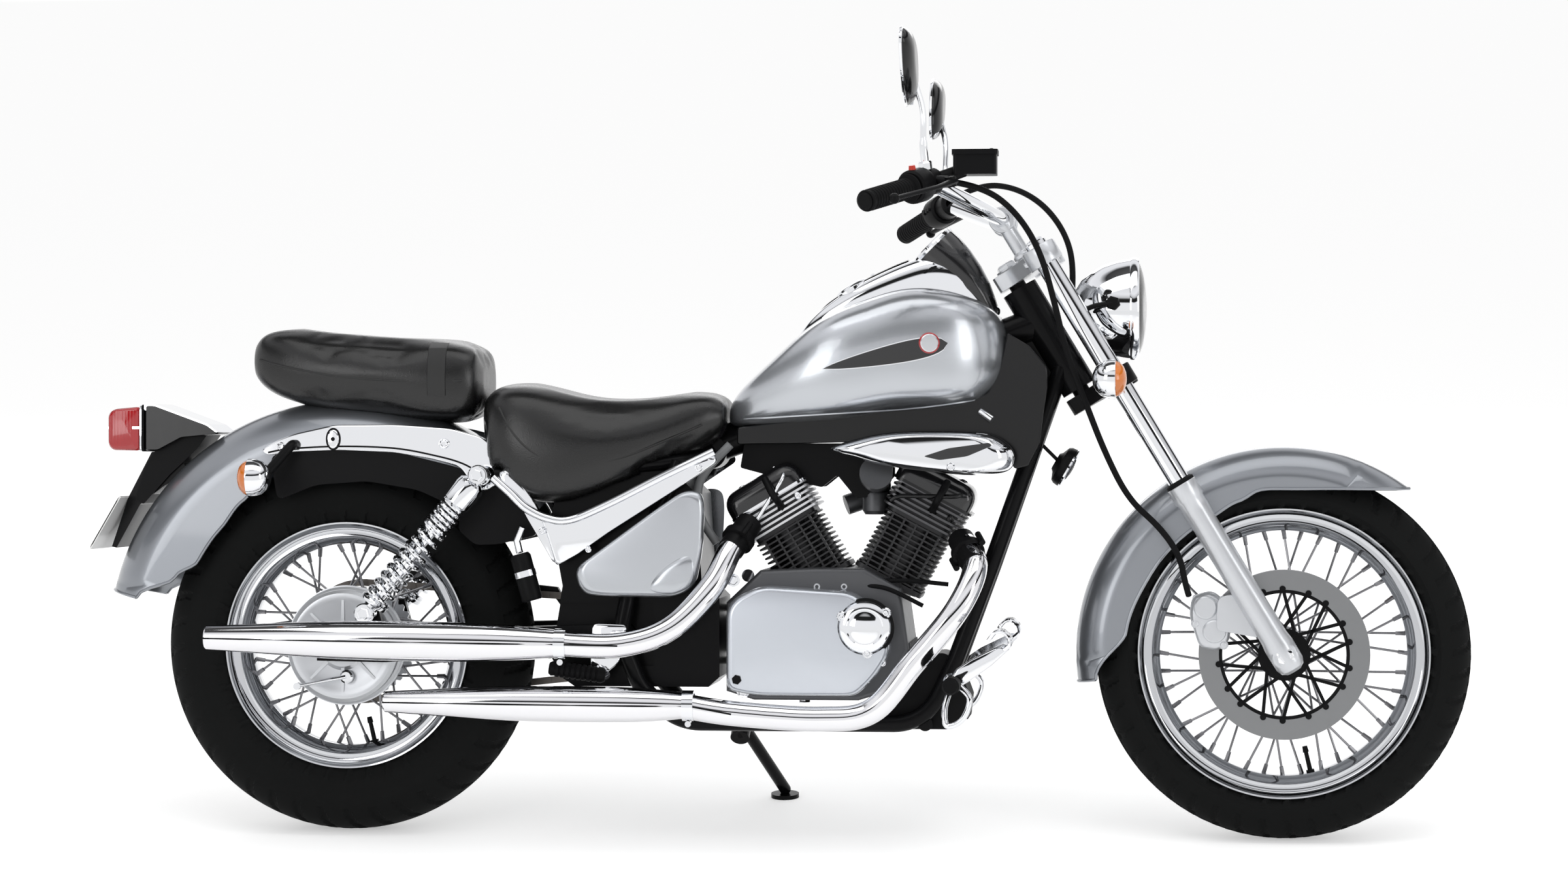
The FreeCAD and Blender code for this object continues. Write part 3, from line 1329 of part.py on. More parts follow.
def make_tank():
    """Fuel tank, the console on it and the speedometer in the console."""
    tank = tank_shape().cut(tank_tunnel())
    dial = speedometer_shape()
    keep("fuel_tank", biggest(tank))
    keep("tank_console", biggest(console_shape().cut(tank).cut(dial)))
    keep("speedometer", biggest(dial.cut(tank)))


def trim_strip(radius):
    """Round strip along the upper edges of the left trim, close below the saddle."""
    return tube([spot(296, 138, 560), spot(318, 142, 536), spot(354, 142, 520),
                 spot(388, 142, 517), spot(455, 140, 545), spot(624, 138, 628)], radius)


def make_side_covers():
    """Triangular side covers below the seat with a chrome V of trim round each."""
    place, depth = size("side_cover_place"), size("side_cover_depth")
    shape = layout([(397, 436), (409, 399), (440, 395), (556, 393), (592, 410), (607, 500),
                    (608, 541), (603, 564), (574, 566), (500, 512)])
    cover = pressed("side_cover", shape, place, depth)
    round_face(cover, "side_cover", depth, size("side_cover_round"))
    keep("side_covers", both_sides("side_covers", cover))
    place = size("trim_place")
    panel = slab(layout([(357, 486), (356, 515), (390, 512), (455, 539), (553, 587), (624, 624),
                         (630, 614), (569, 571), (501, 528), (403, 461), (365, 442)]),
                 place, place + size("trim_depth"))
    arm = slab(layout([(294, 562), (318, 520), (346, 470), (362, 444), (374, 452), (356, 506),
                       (336, 540), (304, 564)]), place, place + size("trim_depth"))
    keep("seat_trims", pair(fused([panel, arm, trim_strip(size("trim_tube"))])))


def make_battery_box():
    """Black electrics box between the frame's side tubes, with the tray below it."""
    half, top = size("inner_half"), size("seat_pan_height") - size("seat_clearance")
    box = slab(layout([(372, 400), (350, 520), (372, 600), (372, top), (520, top), (560, 590),
                       (590, 560), (600, 400)]), -half, half)
    tray = slab(layout([(366, 262), (352, 290), (352, 300), (372, 420), (598, 420), (628, 390),
                        (628, 262), (610, 246), (390, 246)]), -half, size("tray_left"))
    arm_gap = size("arm_place") - size("arm_half_width") - 2 * size("seat_clearance")
    pivot = pivot_centre()
    reach = SIDEWAYS * size("pivot_half")
    room = rod(pivot - reach, pivot + reach, size("pivot_tube") + 2)
    beside = slab(layout([(300, 280), (300, 382), (520, 382), (520, 280)]), -arm_gap - 60, -arm_gap)
    tray = tray.cut(room).cut(beside)
    face = size("side_cover_place") - size("seat_clearance")
    arms = [rod(spot(570, side * (half - 2), 480), spot(570, side * face, 480), 8)
            for side in (-1, 1)]
    shape = fused([box, tray] + arms)
    keep("battery_box", biggest(shape.cut(frame_clearance()).cut(frame_side_clearance())))


def make_canister():
    """Black vapour canister on a chrome bracket, ahead of the rear tyre."""
    top, foot = spot(303, -118, 462), spot(324, -118, 386)
    body = bar("canister_body", foot, top, 17)
    stay = pipe("canister_stay", [top - UP * 10, top + Vector(-2, -4, 30),
                                  top + Vector(8, -8, 58)], 6)
    keep("canister", fuse("canister", [body, stay]))


def make_regulator():
    """Low black box ahead of the engine, between the downtubes."""
    shape = layout([(920, 177), (898, 196), (900, 214), (914, 238), (936, 262), (956, 296),
                    (990, 302), (1008, 292), (1030, 230), (1026, 190), (1000, 177)])
    half = size("regulator_half")
    box = slab(shape, -half, half)
    covers = make_clear_space()
    keep("regulator", biggest(box.cut(frame_head_clearance()).cut(covers)))


# Engine

def drive_centre():
    """Centre of the gearbox sprocket, at the back of the crankcase."""
    return Vector(CRANK.x - 190, 0, CRANK.z + 6)


def case_outline(grow=0.0):
    """Side view of the crankcase, grown by a clearance at its front."""
    x, z = CRANK.x, CRANK.z
    return [(x - 205, z - 78), (x - 205, z + 66), (x - 150, z + 118), (x - 60, z + 122),
            (x + 20, z + 122), (x + 78 + grow, z + 90), (x + 92 + grow, z - 10),
            (x + 56 + grow, z - 78 - grow), (x + 10, z - 92 - grow), (x - 160, z - 92 - grow)]


def make_clear_space():
    """The crankcase and the cradle's front cross tube, grown by a clearance."""
    half, gap = size("case_half") + 1, size("seat_clearance")
    low = size("cradle_height")
    cross = rod(spot(962, -size("cradle_half"), low), spot(962, size("cradle_half"), low),
                size("cross_tube") + gap)
    return slab(case_outline(gap * 2), -half, half).fuse(cross)


def crankcase_shape():
    """Crankcase with its left side open for the gearbox sprocket and the chain."""
    half = size("case_half")
    block = slab(case_outline(), -half, half)
    edges = [edge for edge in block.Edges if abs(abs(edge.CenterOfMass.y) - half) < 0.1]
    block = block.makeFillet(8, edges)
    place, wide = size("chain_place"), size("chain_width") / 2
    front = drive_centre()
    reach = size("drive_sprocket_radius") + size("chain_depth") + 6
    inner = place - wide - 4
    notch = rod(front + SIDEWAYS * inner, front + SIDEWAYS * (half + 60), reach)
    run = Part.makeBox(200, half, 2 * reach, front + Vector(-200, inner, -reach))
    shaft = rod(front + SIDEWAYS * (inner - 26), front + SIDEWAYS * (place + 8), 13)
    gear = rod(front + SIDEWAYS * (place - 3), front + SIDEWAYS * (place + 3),
               size("drive_sprocket_radius"))
    return fused([block.cut(notch).cut(run), shaft, gear])


def bank(angle):
    """One finned cylinder with its head and head cover, leaning back by angle."""
    start, pitch = size("barrel_start"), size("fin_pitch")
    count = int(size("fin_count"))
    top = start + pitch * count
    parts = [rod(bank_point(angle, start, 0, 0), bank_point(angle, top + 2, 0, 0),
                 size("barrel_radius"))]
    for index in range(count):
        inset = size("barrel_fin_inset") if index < size("barrel_fins") else 0
        parts.append(fin(angle, start + 6 + pitch * index, size("fin_half_length") - inset,
                         size("fin_half_width") - inset, size("fin_thickness")))
    head = size("head_cover_height")
    block = fin(angle, top, size("fin_half_length") - 6, size("fin_half_width") - 8, head)
    up = (bank_point(angle, 1, 0, 0) - CRANK).normalize()
    edges = [edge for edge in block.Edges if (edge.CenterOfMass - CRANK).dot(up) > top + head - 0.5]
    parts.append(block.makeFillet(size("head_cover_round"), edges))
    return fused(parts)


def fin(angle, along, half_length, half_width, thick):
    """Rounded plate square to a cylinder's axis."""
    corners = [(-half_length, -half_width), (half_length, -half_width),
               (half_length, half_width), (-half_length, half_width)]
    points = [bank_point(angle, along, ahead, left) for ahead, left in corners]
    plate = Part.Face(Part.makePolygon(points + [points[0]]))
    rise = bank_point(angle, along + thick, 0, 0) - bank_point(angle, along, 0, 0)
    solid = plate.extrude(rise)
    edges = [edge for edge in solid.Edges if abs(edge.Length - thick) < 0.01]
    return solid.makeFillet(size("fin_corner"), edges)


def make_engine():
    """Crankcase, both cylinders, the side covers, the carburettor and its air cleaner."""
    case = crankcase_shape()
    clear = tank_shape()
    rear = biggest(bank(size("rear_bank_angle")).cut(case).cut(frame_clearance()))
    front = biggest(bank(-size("front_bank_angle")).cut(case).cut(rear))
    keep("crankcase", case)
    keep("rear_cylinder", biggest(rear.cut(clear)))
    keep("front_cylinder", biggest(front.cut(clear)))
    keep("engine_covers", engine_covers())
    carb = rod(spot(872, 30, 568), spot(884, 2 - size("air_cleaner_back"), 600),
               size("intake_radius"))
    carb = carb.cut(rear).cut(front).cut(frame_clearance()).cut(clear)
    keep("intake", biggest(carb))
    make_air_cleaner()


def engine_covers():
    """Clutch cover with its round cap on the right, sprocket cover on the left."""
    x, z = CRANK.x, CRANK.z
    half, depth, gap = size("case_half"), size("cover_depth"), size("seat_clearance")
    shape = [(x - 200, z - 70), (x - 200, z + 54), (x - 152, z + 92), (x + 3, z + 84),
             (x + 64, z - 6), (x + 34, z - 52), (x + 10, z - 78), (x - 150, z - 80)]
    cover = rounded_slab(shape, -half - gap, -half - depth, size("cover_round"))
    cap = rod(Vector(x + 25, 2 - half - depth, z + 29), Vector(x + 25, -half - depth - 9, z + 29),
              size("clutch_cover_radius"))
    shape = [(x - 190, z - 60), (x - 190, z + 50), (x - 130, z + 80), (x + 3, z + 84),
             (x + 64, z - 6), (x + 34, z - 60), (x - 150, z - 70)]
    left_cover = rounded_slab(shape, half + gap, half + size("left_cover_depth"),
                              size("cover_round"))
    return Part.makeCompound([fused([cover, cap]), left_cover])


def make_air_cleaner():
    """Long domed air cleaner cover between the cylinders' heads and the tank."""
    points = layout([(812, 633), (850, 648), (905, 659), (980, 662), (1062, 658), (1098, 640),
                     (1108, 618), (1096, 597), (1050, 590), (975, 596), (900, 606), (850, 620)])
    back, face = -size("air_cleaner_back"), -size("air_cleaner_face")
    depth = back - face
    rings = [round_outline(points, back), round_outline(points, back - depth * 0.55),
             round_outline(points, face + depth * 0.14, 0.96), round_outline(points, face, 0.86)]
    keep("air_cleaner_cover", Part.makeLoft(rings, True, True))


def silencer(rear, front_drop, radius, lengths):
    """Tapered silencer from its open end to the header, as (share of radius, along)."""
    corners = [(0, 0)] + [(radius * share, along) for share, along in lengths]
    corners.append((0, lengths[-1][1]))
    return turned(corners, rear, Vector(1, 0, -front_drop))


def make_exhausts():
    """Two right-hand silencers, one above the other, each with its header."""
    ports = bank(size("rear_bank_angle")).fuse(bank(-size("front_bank_angle")))
    left, header = -size("upper_pipe_place"), size("header_radius")
    body = silencer(Vector(-194, left, 328), 0.012, size("silencer_radius"),
                    [(0.62, 0), (0.74, 70), (1, 230), (1, 450), (0.7, stretch(391) + 194)])
    way = tube([spot(380, left, 321), spot(480, left + 4, 319), spot(560, -196, 345),
                spot(622, -164, 410), spot(650, -128, 470), spot(676, -84, 512)], header)
    keep("exhaust_upper", biggest(fused([body, way]).cut(ports)))
    left = -size("lower_pipe_place")
    body = silencer(Vector(94, left, 225), 0.006, size("lower_silencer_radius"),
                    [(0.6, 0), (0.72, 60), (1, 210), (1, 400), (0.7, stretch(594) - 94)])
    way = tube([spot(580, left, 222), spot(660, left, 210), spot(800, left, 202),
                spot(884, left, 216), spot(950, left, 292), spot(1018, -186, 376),
                spot(1046, -150, 446), spot(1020, -84, 486)], header)
    keep("exhaust_lower", biggest(fused([body, way]).cut(ports)))


def make_horn():
    """Round horn on a stay ahead of the downtubes."""
    centre = spot(1186, 0, 604)
    axis = Vector(0.86, 0, -0.5)
    body = turned([(0, -18), (20, -18), (32, -8), (34, 8), (26, 14), (0, 14)], centre, axis)
    stay = rod(centre - Vector(12, 0, -10), spot(1136, 0, 646), 6)
    bridge = rod(spot(1124, -14, 652), spot(1124, 14, 652), 7)
    shape = fused([body, stay, bridge]).cut(frame_head_clearance())
    keep("horn", biggest(shape))


def make_foot_controls():
    """Forward footrests on their stays, with the brake pedal and the shift lever."""
    stay = tube([spot(1004, 66, 264), spot(1006, 120, 262), spot(1010, 166, 260),
                 spot(1012, 190, 258)], 9)
    peg = rod(spot(1012, 186, 258), spot(1014, 300, 262), size("foot_peg_radius"))
    arm = slab(layout([(1004, 262), (1014, 280), (1040, 298), (1094, 324), (1104, 316),
                       (1074, 288), (1040, 264), (1020, 252)]), 168, 178)
    pad = slab(layout([(1096, 312), (1108, 320), (1106, 336), (1094, 348), (1078, 346),
                       (1066, 330), (1072, 326), (1082, 338), (1092, 340), (1098, 332),
                       (1098, 324), (1090, 318)]), 166, 226)
    loop = tube([spot(1008, 176, 252), spot(1000, 196, 222), spot(1004, 204, 194),
                 spot(1028, 206, 204), spot(1040, 204, 236), spot(1024, 196, 256)], 5)
    side = fused([stay, peg, arm, pad, loop])
    keep("foot_controls", pair(biggest(side.cut(frame_head_clearance()))))


def make_pillion_pegs():
    """Folded passenger footrests on triangular brackets."""
    bracket = slab(layout([(430, 352), (486, 350), (470, 286), (440, 262), (424, 270)]), 149, 156)
    peg = rod(spot(440, 152, 278), spot(452, 172, 268), 8)
    rest = rod(spot(452, 169, 268), spot(360, 174, 280), 12)
    pivot = pivot_centre()
    tie = rod(pivot + SIDEWAYS * size("pivot_half"), pivot + SIDEWAYS * 152, 12)
    shape = fused([bracket, peg, rest, tie]).cut(frame_side_clearance())
    keep("passenger_pegs", pair(biggest(shape)))


def make_brake_panel():
    """Fixed rear brake panel beside the drum, with its arm."""
    inner = size("rear_hub_half") + size("panel_gap")
    outer = inner + size("panel_thickness")
    bore = size("rear_axle_radius") + size("seat_clearance")
    radius = size("panel_radius")
    panel = revolved("panel_plate", [(bore, -outer), (30, -outer),
                                     (radius, size("panel_bevel") - outer), (radius, -inner),
                                     (bore, -inner)], REAR_AXLE)
    arm = pressed("panel_arm", [(-70, 238), (-80, 246), (-20, 262), (20, 266), (22, 254),
                                (-10, 250)], -outer - 5, 9)
    place, wide = size("arm_place"), size("arm_half_width")
    gap = size("seat_clearance")
    clear = Part.makeBox(700, 60, 80, Vector(-60, wide + gap - place - 60, REAR_AXLE.z - 40))
    keep("rear_brake_panel", cut("rear_brake_panel", fuse("panel_parts", [panel, arm]),
                                 plain("panel_clearance", clear)))


def make_chain():
    """Drive chain as one closed band round both sprockets."""
    small = size("drive_sprocket_radius") + size("seat_clearance")
    large = size("sprocket_radius") + size("chain_gap")
    depth, wide = size("chain_depth"), size("chain_width") / 2
    left = size("chain_place") - wide
    front = drive_centre()
    outer = belt_face(REAR_AXLE, large + depth, front, small + depth, left)
    ring = outer.cut(belt_face(REAR_AXLE, large, front, small, left))
    keep("chain", ring.extrude(Vector(0, 2 * wide, 0)))


def belt_face(first, first_radius, second, second_radius, left):
    """Face inside a belt that runs round two circles."""
    run = second - first
    angle = math.atan2(run.z, run.x)
    tilt = math.acos((first_radius - second_radius) / run.Length)

    def at(centre, radius, turn):
        return Vector(centre.x + radius * math.cos(turn), left, centre.z + radius * math.sin(turn))

    upper, lower = angle + tilt, angle - tilt
    edges = [
        Part.LineSegment(at(first, first_radius, upper), at(second, second_radius, upper)),
        Part.Arc(at(second, second_radius, upper), at(second, second_radius, angle),
                 at(second, second_radius, lower)),
        Part.LineSegment(at(second, second_radius, lower), at(first, first_radius, lower)),
        Part.Arc(at(first, first_radius, lower), at(first, first_radius, angle + math.pi),
                 at(first, first_radius, upper)),
    ]
    return Part.Face(Part.Wire([edge.toShape() for edge in edges]))


# Side stand

def stand_frame():
    """Pivot, foot and hinge axis of the side stand."""
    pivot = spot(size("stand_pivot_ahead"), size("stand_pivot_left"),
                 size("stand_pivot_height"))
    left = size("stand_foot_left")
    foot = spot(size("stand_foot_ahead"), left, road_height(left))
    down = (foot - pivot).normalize()
    folded = Vector(-0.98, 0.15, -0.10).normalize()
    axis = down.cross(folded).normalize()
    return {"pivot": pivot, "foot": foot, "axis": axis}


def make_side_stand():
    """Prop leg with its pivot eye and a flat foot on the road."""
    stand = stand_frame()
    pivot, foot, axis = stand["pivot"], stand["foot"], stand["axis"]
    lean = math.radians(size("lean_angle"))
    road_up = Vector(0, -math.sin(lean), math.cos(lean))
    thick, radius = size("stand_foot_thickness"), size("stand_radius")
    end = foot + road_up * (thick * 0.6 + radius)
    half = axis * size("stand_eye_half")
    parts = [bar("stand_eye", pivot - half, pivot + half, size("stand_eye_radius")),
             bar("stand_bar", pivot, end, radius), knob("stand_end", end, radius),
             bar("stand_pad", foot, foot + road_up * thick, size("stand_foot_radius"))]
    keep("stand_leg", fuse("stand_leg", parts))


def check_and_export():
    """Stop on any failed object or bad shape, then write each sub-part."""
    doc.recompute()
    for thing in doc.Objects:
        if "Invalid" in thing.State or "Error" in thing.State:
            raise RuntimeError("failed object: " + thing.Label)
    os.makedirs("parts", exist_ok=True)
    for piece in PIECES:
        shape = piece.Shape
        if shape.isNull() or not shape.isValid() or not shape.Solids:
            raise RuntimeError("bad shape: " + piece.Label)
        print(piece.Label, "solids", len(shape.Solids), "volume", round(shape.Volume / 1e3), "cc")
        shape.exportStep("parts/" + piece.Label + ".step")


make_tyre("front", FRONT_AXLE)
make_tyre("rear", REAR_AXLE)
make_front_wheel()
make_rear_wheel()
make_brake_disc()
make_fork_upper()
make_fork_lowers()
make_front_fender()
make_headlight()
make_handlebar()
make_hand_controls()
make_mirrors()
make_front_signals()
make_caliper()
make_hoses()
make_frame()
make_head_covers()
make_swingarm()
make_shocks()
make_rear_fender()
make_struts()
make_tail_lamp()
make_plate()
make_rear_signals()
make_seats()
make_tank()
make_side_covers()
make_battery_box()
make_canister()
make_regulator()
make_engine()
make_exhausts()
make_horn()
make_foot_controls()
make_pillion_pegs()
make_brake_panel()
make_chain()
make_side_stand()
check_and_export()
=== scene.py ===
"""Looks of a parked V-twin cruiser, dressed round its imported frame.

Shapes are drawn on the upright machine in millimetres: x ahead of the rear axle, y to the
rider's left, z up from the road. BIKE turns them into the leaning row frame, in metres.
"""

import json
import logging
import math
from dataclasses import dataclass
from enum import Enum
from typing import Callable, Sequence

import bmesh
import bpy
from mathutils import Matrix, Vector
from mathutils.bvhtree import BVHTree


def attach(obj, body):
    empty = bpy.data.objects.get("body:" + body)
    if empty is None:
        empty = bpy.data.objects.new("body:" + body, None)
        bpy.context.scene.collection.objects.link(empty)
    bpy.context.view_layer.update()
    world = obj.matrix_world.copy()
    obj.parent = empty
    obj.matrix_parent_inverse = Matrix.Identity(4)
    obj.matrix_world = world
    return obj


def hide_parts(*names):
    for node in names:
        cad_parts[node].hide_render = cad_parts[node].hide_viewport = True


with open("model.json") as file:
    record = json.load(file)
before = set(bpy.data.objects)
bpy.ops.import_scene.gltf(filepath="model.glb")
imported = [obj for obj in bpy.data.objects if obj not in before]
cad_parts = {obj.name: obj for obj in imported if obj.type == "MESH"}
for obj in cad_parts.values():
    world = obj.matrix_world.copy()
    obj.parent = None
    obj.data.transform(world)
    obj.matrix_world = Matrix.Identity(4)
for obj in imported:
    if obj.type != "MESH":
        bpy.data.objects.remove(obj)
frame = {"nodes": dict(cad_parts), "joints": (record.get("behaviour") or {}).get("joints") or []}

logging.basicConfig(level=logging.INFO, format="%(message)s")
LOG = logging.getLogger("cruiser")

MERGE_GAP = 2e-6  # metres
SMOOTH_ANGLE = math.radians(32)
BEVEL_ANGLE = math.radians(35)
BEVEL_STEPS = 2
CORNER_SHARE = 0.48  # of a run, the most that a rounded corner takes
NEARLY_PARALLEL = 0.98  # dot product of two unit vectors
AHEAD = Vector((1, 0, 0))
LEFT = Vector((0, 1, 0))
UP = Vector((0, 0, 1))

Point = Vector | tuple[float, float, float]
Pairs = Sequence[tuple[float, float]]


class Body(Enum):
    """Bodies of the frame that pieces ride on."""

    CHASSIS = "chassis"
    STEERING = "steering"
    FRONT_WHEEL = "front_wheel"
    REAR_WHEEL = "rear_wheel"
    STAND = "side_stand"


def joint(name: str) -> dict:
    """Joint of the frame with that name."""
    return next(entry for entry in frame["joints"] if entry["name"] == name)


@dataclass(frozen=True)
class Bike:
    """Where the upright machine's axes lie in the leaning row frame."""

    rear_radius: float = 308.0

    def matrix(self) -> Matrix:
        """Transform from millimetres on the upright machine to the row frame."""
        axle = joint("rear_axle")
        left = Vector(axle["axis"]).normalized()
        up = AHEAD.cross(left).normalized()
        turn = Matrix((AHEAD, left, up)).transposed().to_4x4()
        road = Vector(axle["pos_m"]) - up * (self.rear_radius / 1000)
        return Matrix.Translation(road) @ turn @ Matrix.Scale(0.001, 4)

    def back(self) -> Matrix:
        """Transform from the row frame to millimetres on the upright machine."""
        return self.matrix().inverted()


BIKE = Bike()
TO_ROW = BIKE.matrix()
TO_BIKE = BIKE.back()


@dataclass(frozen=True)
class Steering:
    """Fork geometry, worked out from the steering joint and the front axle."""

    offset: float = 60.0

    @property
    def up(self) -> Vector:
        """Direction of the steering axis on the upright machine."""
        return (TO_BIKE.to_3x3() @ Vector(joint("steering_head")["axis"])).normalized()

    @property
    def ahead(self) -> Vector:
        """Direction square to the steering axis, to the front."""
        return LEFT.cross(self.up)

    @property
    def axle(self) -> Vector:
        """Centre of the front axle."""
        return TO_BIKE @ Vector(joint("front_axle")["pos_m"])

    def at(self, along: float, ahead: float, left: float = 0.0) -> Vector:
        """Point up the steering axis, ahead of it and to the left.

        Args:
            along: Distance up the axis from the front axle's height.
            ahead: Distance ahead of the axis.
            left: Distance to the left.

        Returns:
            The point on the upright machine.
        """
        base = self.axle - self.ahead * self.offset
        return base + self.up * along + self.ahead * ahead + LEFT * left


STEER = Steering()
REAR_AXLE = Vector((0, 0, BIKE.rear_radius))
FRONT_AXLE = STEER.axle


# Paths and outlines


def smooth_path(points: Sequence[Point], per_run: int = 8, closed: bool = False) -> list[Vector]:
    """Smooth line through points.

    Args:
        points: Points that the line passes.
        per_run: Steps between two points.
        closed: True for a loop.

    Returns:
        Points along the line.
    """
    points = [Vector(point) for point in points]
    count = len(points)
    runs = count if closed else count - 1
    line: list[Vector] = []
    for run in range(runs):
        if closed:
            quad = [points[(run + shift) % count] for shift in (-1, 0, 1, 2)]
        else:
            quad = [points[min(max(run + shift, 0), count - 1)] for shift in (-1, 0, 1, 2)]
        for step in range(per_run):
            t = step / per_run
            line.append(0.5 * (2 * quad[1] + (quad[2] - quad[0]) * t
                               + (2 * quad[0] - 5 * quad[1] + 4 * quad[2] - quad[3]) * t ** 2
                               + (3 * quad[1] - quad[0] - 3 * quad[2] + quad[3]) * t ** 3))
    if not closed:
        line.append(points[-1])
    return line


def bent_path(points: Sequence[Point], bend: float, steps: int,
              closed: bool = False) -> list[Vector]:
    """Straight runs with rounded corners.

    Args:
        points: Ends and corners of the path.
        bend: Reach of each rounded corner along its runs.
        steps: Steps round a corner.
        closed: True for a loop.

    Returns:
        Points along the path.
    """
    points = [Vector(point) for point in points]
    count = len(points)
    line = [] if closed else [points[0]]
    for index in range(count) if closed else range(1, count - 1):
        before, corner, after = points[index - 1], points[index], points[(index + 1) % count]
        reach_in = min(bend, CORNER_SHARE * (corner - before).length)
        reach_out = min(bend, CORNER_SHARE * (after - corner).length)
        entry = corner + (before - corner).normalized() * reach_in
        leave = corner + (after - corner).normalized() * reach_out
        for step in range(steps + 1):
            t = step / steps
            line.append(entry * (1 - t) ** 2 + corner * 2 * t * (1 - t) + leave * t ** 2)
    if not closed:
        line.append(points[-1])
    return line


def side_view(points: Pairs, left: float = 0.0) -> list[Vector]:
    """Points (ahead, height) seen from the side, at one distance to the left."""
    return [Vector((x, left, z)) for x, z in points]


def front_view(points: Pairs, ahead: float) -> list[Vector]:
    """Points (left, height) seen from the front, at one distance ahead."""
    return [Vector((ahead, y, z)) for y, z in points]


def outward(turn: float) -> Vector:
    """Unit vector in the side view at a turn in radians, from straight ahead towards up."""
    return AHEAD * math.cos(turn) + UP * math.sin(turn)


def bent(points: Pairs, bend: float) -> list[tuple[float, float]]:
    """Closed outline as (ahead, height) pairs with rounded corners."""
    line = bent_path(side_view(points), bend, 5, closed=True)
    return [(point.x, point.z) for point in line]


def band(inner: float, outer: float, low: float, high: float) -> list[tuple[float, float]]:
    """Profile for turned(): square, from one radius to another."""
    return [(inner, low), (outer, low), (outer, high), (inner, high)]


def button(radius: float, low: float, shoulder: float, tip: float,
           high: float) -> list[tuple[float, float]]:
    """Profile for turned(): solid, straight up to its shoulder, then tapered to its tip."""
    return [(0, low), (radius, low), (radius, shoulder), (tip, high), (0, high)]


class Shape:
    """Mesh that is drawn on the upright machine."""

    def __init__(self) -> None:
        """Start with no points."""
        self.points: list[Vector] = []
        self.faces: list[tuple[int, ...]] = []

    def add(self, *others: "Shape") -> "Shape":
        """This shape with others added as loose parts."""
        for other in others:
            first = len(self.points)
            self.points += [point.copy() for point in other.points]
            self.faces += [tuple(first + corner for corner in face) for face in other.faces]
        return self

    def moved(self, matrix: Matrix) -> "Shape":
        """Copy of this shape, transformed."""
        copy = Shape()
        copy.points = [matrix @ point for point in self.points]
        copy.faces = list(self.faces)
        return copy

    def mirrored(self) -> "Shape":
        """Copy of this shape on the machine's other side."""
        copy = self.moved(Matrix.Scale(-1, 4, LEFT))
        copy.faces = [tuple(reversed(face)) for face in self.faces]
        return copy

    def both_sides(self) -> "Shape":
        """This shape with its mirror image."""
        return Shape().add(self, self.mirrored())

    def mesh(self, name: str, finish: "Finish | None" = None) -> bpy.types.Mesh:
        """Mesh in the row frame with its faces pointing outwards, and its finish if given."""
        mesh = bpy.data.meshes.new(name)
        mesh.from_pydata([TO_ROW @ point for point in self.points], [], self.faces)
        work = bmesh.new()
        work.from_mesh(mesh)
        bmesh.ops.remove_doubles(work, verts=work.verts, dist=MERGE_GAP)
        bmesh.ops.dissolve_degenerate(work, edges=work.edges, dist=MERGE_GAP)
        bmesh.ops.recalc_face_normals(work, faces=work.faces)
        work.to_mesh(mesh)
        work.free()
        if finish:
            mesh.materials.append(finish.material())
        return mesh


def skin(rings: Sequence[Sequence[Vector]], loop: bool = False, around: bool = True) -> Shape:
    """Surface across rings of equally many points.

    Args:
        rings: Rings of points, in order.
        loop: True if the last ring joins the first; otherwise both are closed.
        around: True if each ring is a closed line.

    Returns:
        The surface.
    """
    shape = Shape()
    width = len(rings[0])
    for ring in rings:
        shape.points += list(ring)
    for row in range(len(rings) if loop else len(rings) - 1):
        low, high = row * width, ((row + 1) % len(rings)) * width
        for column in range(width if around else width - 1):
            after = (column + 1) % width
            shape.faces.append((low + column, low + after, high + after, high + column))
    if not loop:
        shape.faces.append(tuple(reversed(range(width))))
        last = (len(rings) - 1) * width
        shape.faces.append(tuple(last + column for column in range(width)))
    return shape


def turned(profile: Pairs, centre: Point, axis: Vector, steps: int, closed: bool = False) -> Shape:
    """Solid of revolution.

    Args:
        profile: Points as (radius, distance along the axis).
        centre: Where distance along the axis is zero.
        axis: Direction of the axis.
        steps: Facets around.
        closed: True for a ring whose profile is a closed line.

    Returns:
        The solid.
    """
    centre, axis = Vector(centre), axis.normalized()
    side = axis.orthogonal().normalized()
    other = axis.cross(side)
    rings = []
    for step in range(steps):
        angle = 2 * math.pi * step / steps
        out = side * math.cos(angle) + other * math.sin(angle)
        rings.append([centre + out * radius + axis * along for radius, along in profile])
    shape = skin(rings, loop=True, around=closed)
    if not closed:
        width = len(profile)
        for place in (0, width - 1):
            if profile[place][0] > 0:
                shape.faces.append(tuple(ring * width + place for ring in range(steps)))
    return shape


def tube(path: Sequence[Vector], radius: float | Sequence[float], sides: int,
         flat: float = 1.0) -> Shape:
    """Tube along a path.

    Args:
        path: Centre line.
        radius: One radius, or one for each point.
        sides: Facets around.
        flat: Height of the section as a share of its width.

    Returns:
        The tube.
    """
    radii = [radius] * len(path) if isinstance(radius, (int, float)) else list(radius)
    rings = []
    run = (path[1] - path[0]).normalized()
    side = run.cross(UP if abs(run.dot(UP)) < NEARLY_PARALLEL else AHEAD).normalized()
    for index, point in enumerate(path):
        ahead = path[min(index + 1, len(path) - 1)] - path[max(index - 1, 0)]
        ahead.normalize()
        side = (side - ahead * side.dot(ahead)).normalized()
        lift = side.cross(ahead)
        rings.append([point + side * (radii[index] * math.cos(2 * math.pi * k / sides))
                      + lift * (flat * radii[index] * math.sin(2 * math.pi * k / sides))
                      for k in range(sides)])
    return skin(rings)


def rod(start: Point, end: Point, radius: float, end_radius: float | None = None,
        sides: int = 20) -> Shape:
    """Round bar, tapered if it has an end radius."""
    radii = [radius, radius if end_radius is None else end_radius]
    return tube([Vector(start), Vector(end)], radii, sides)


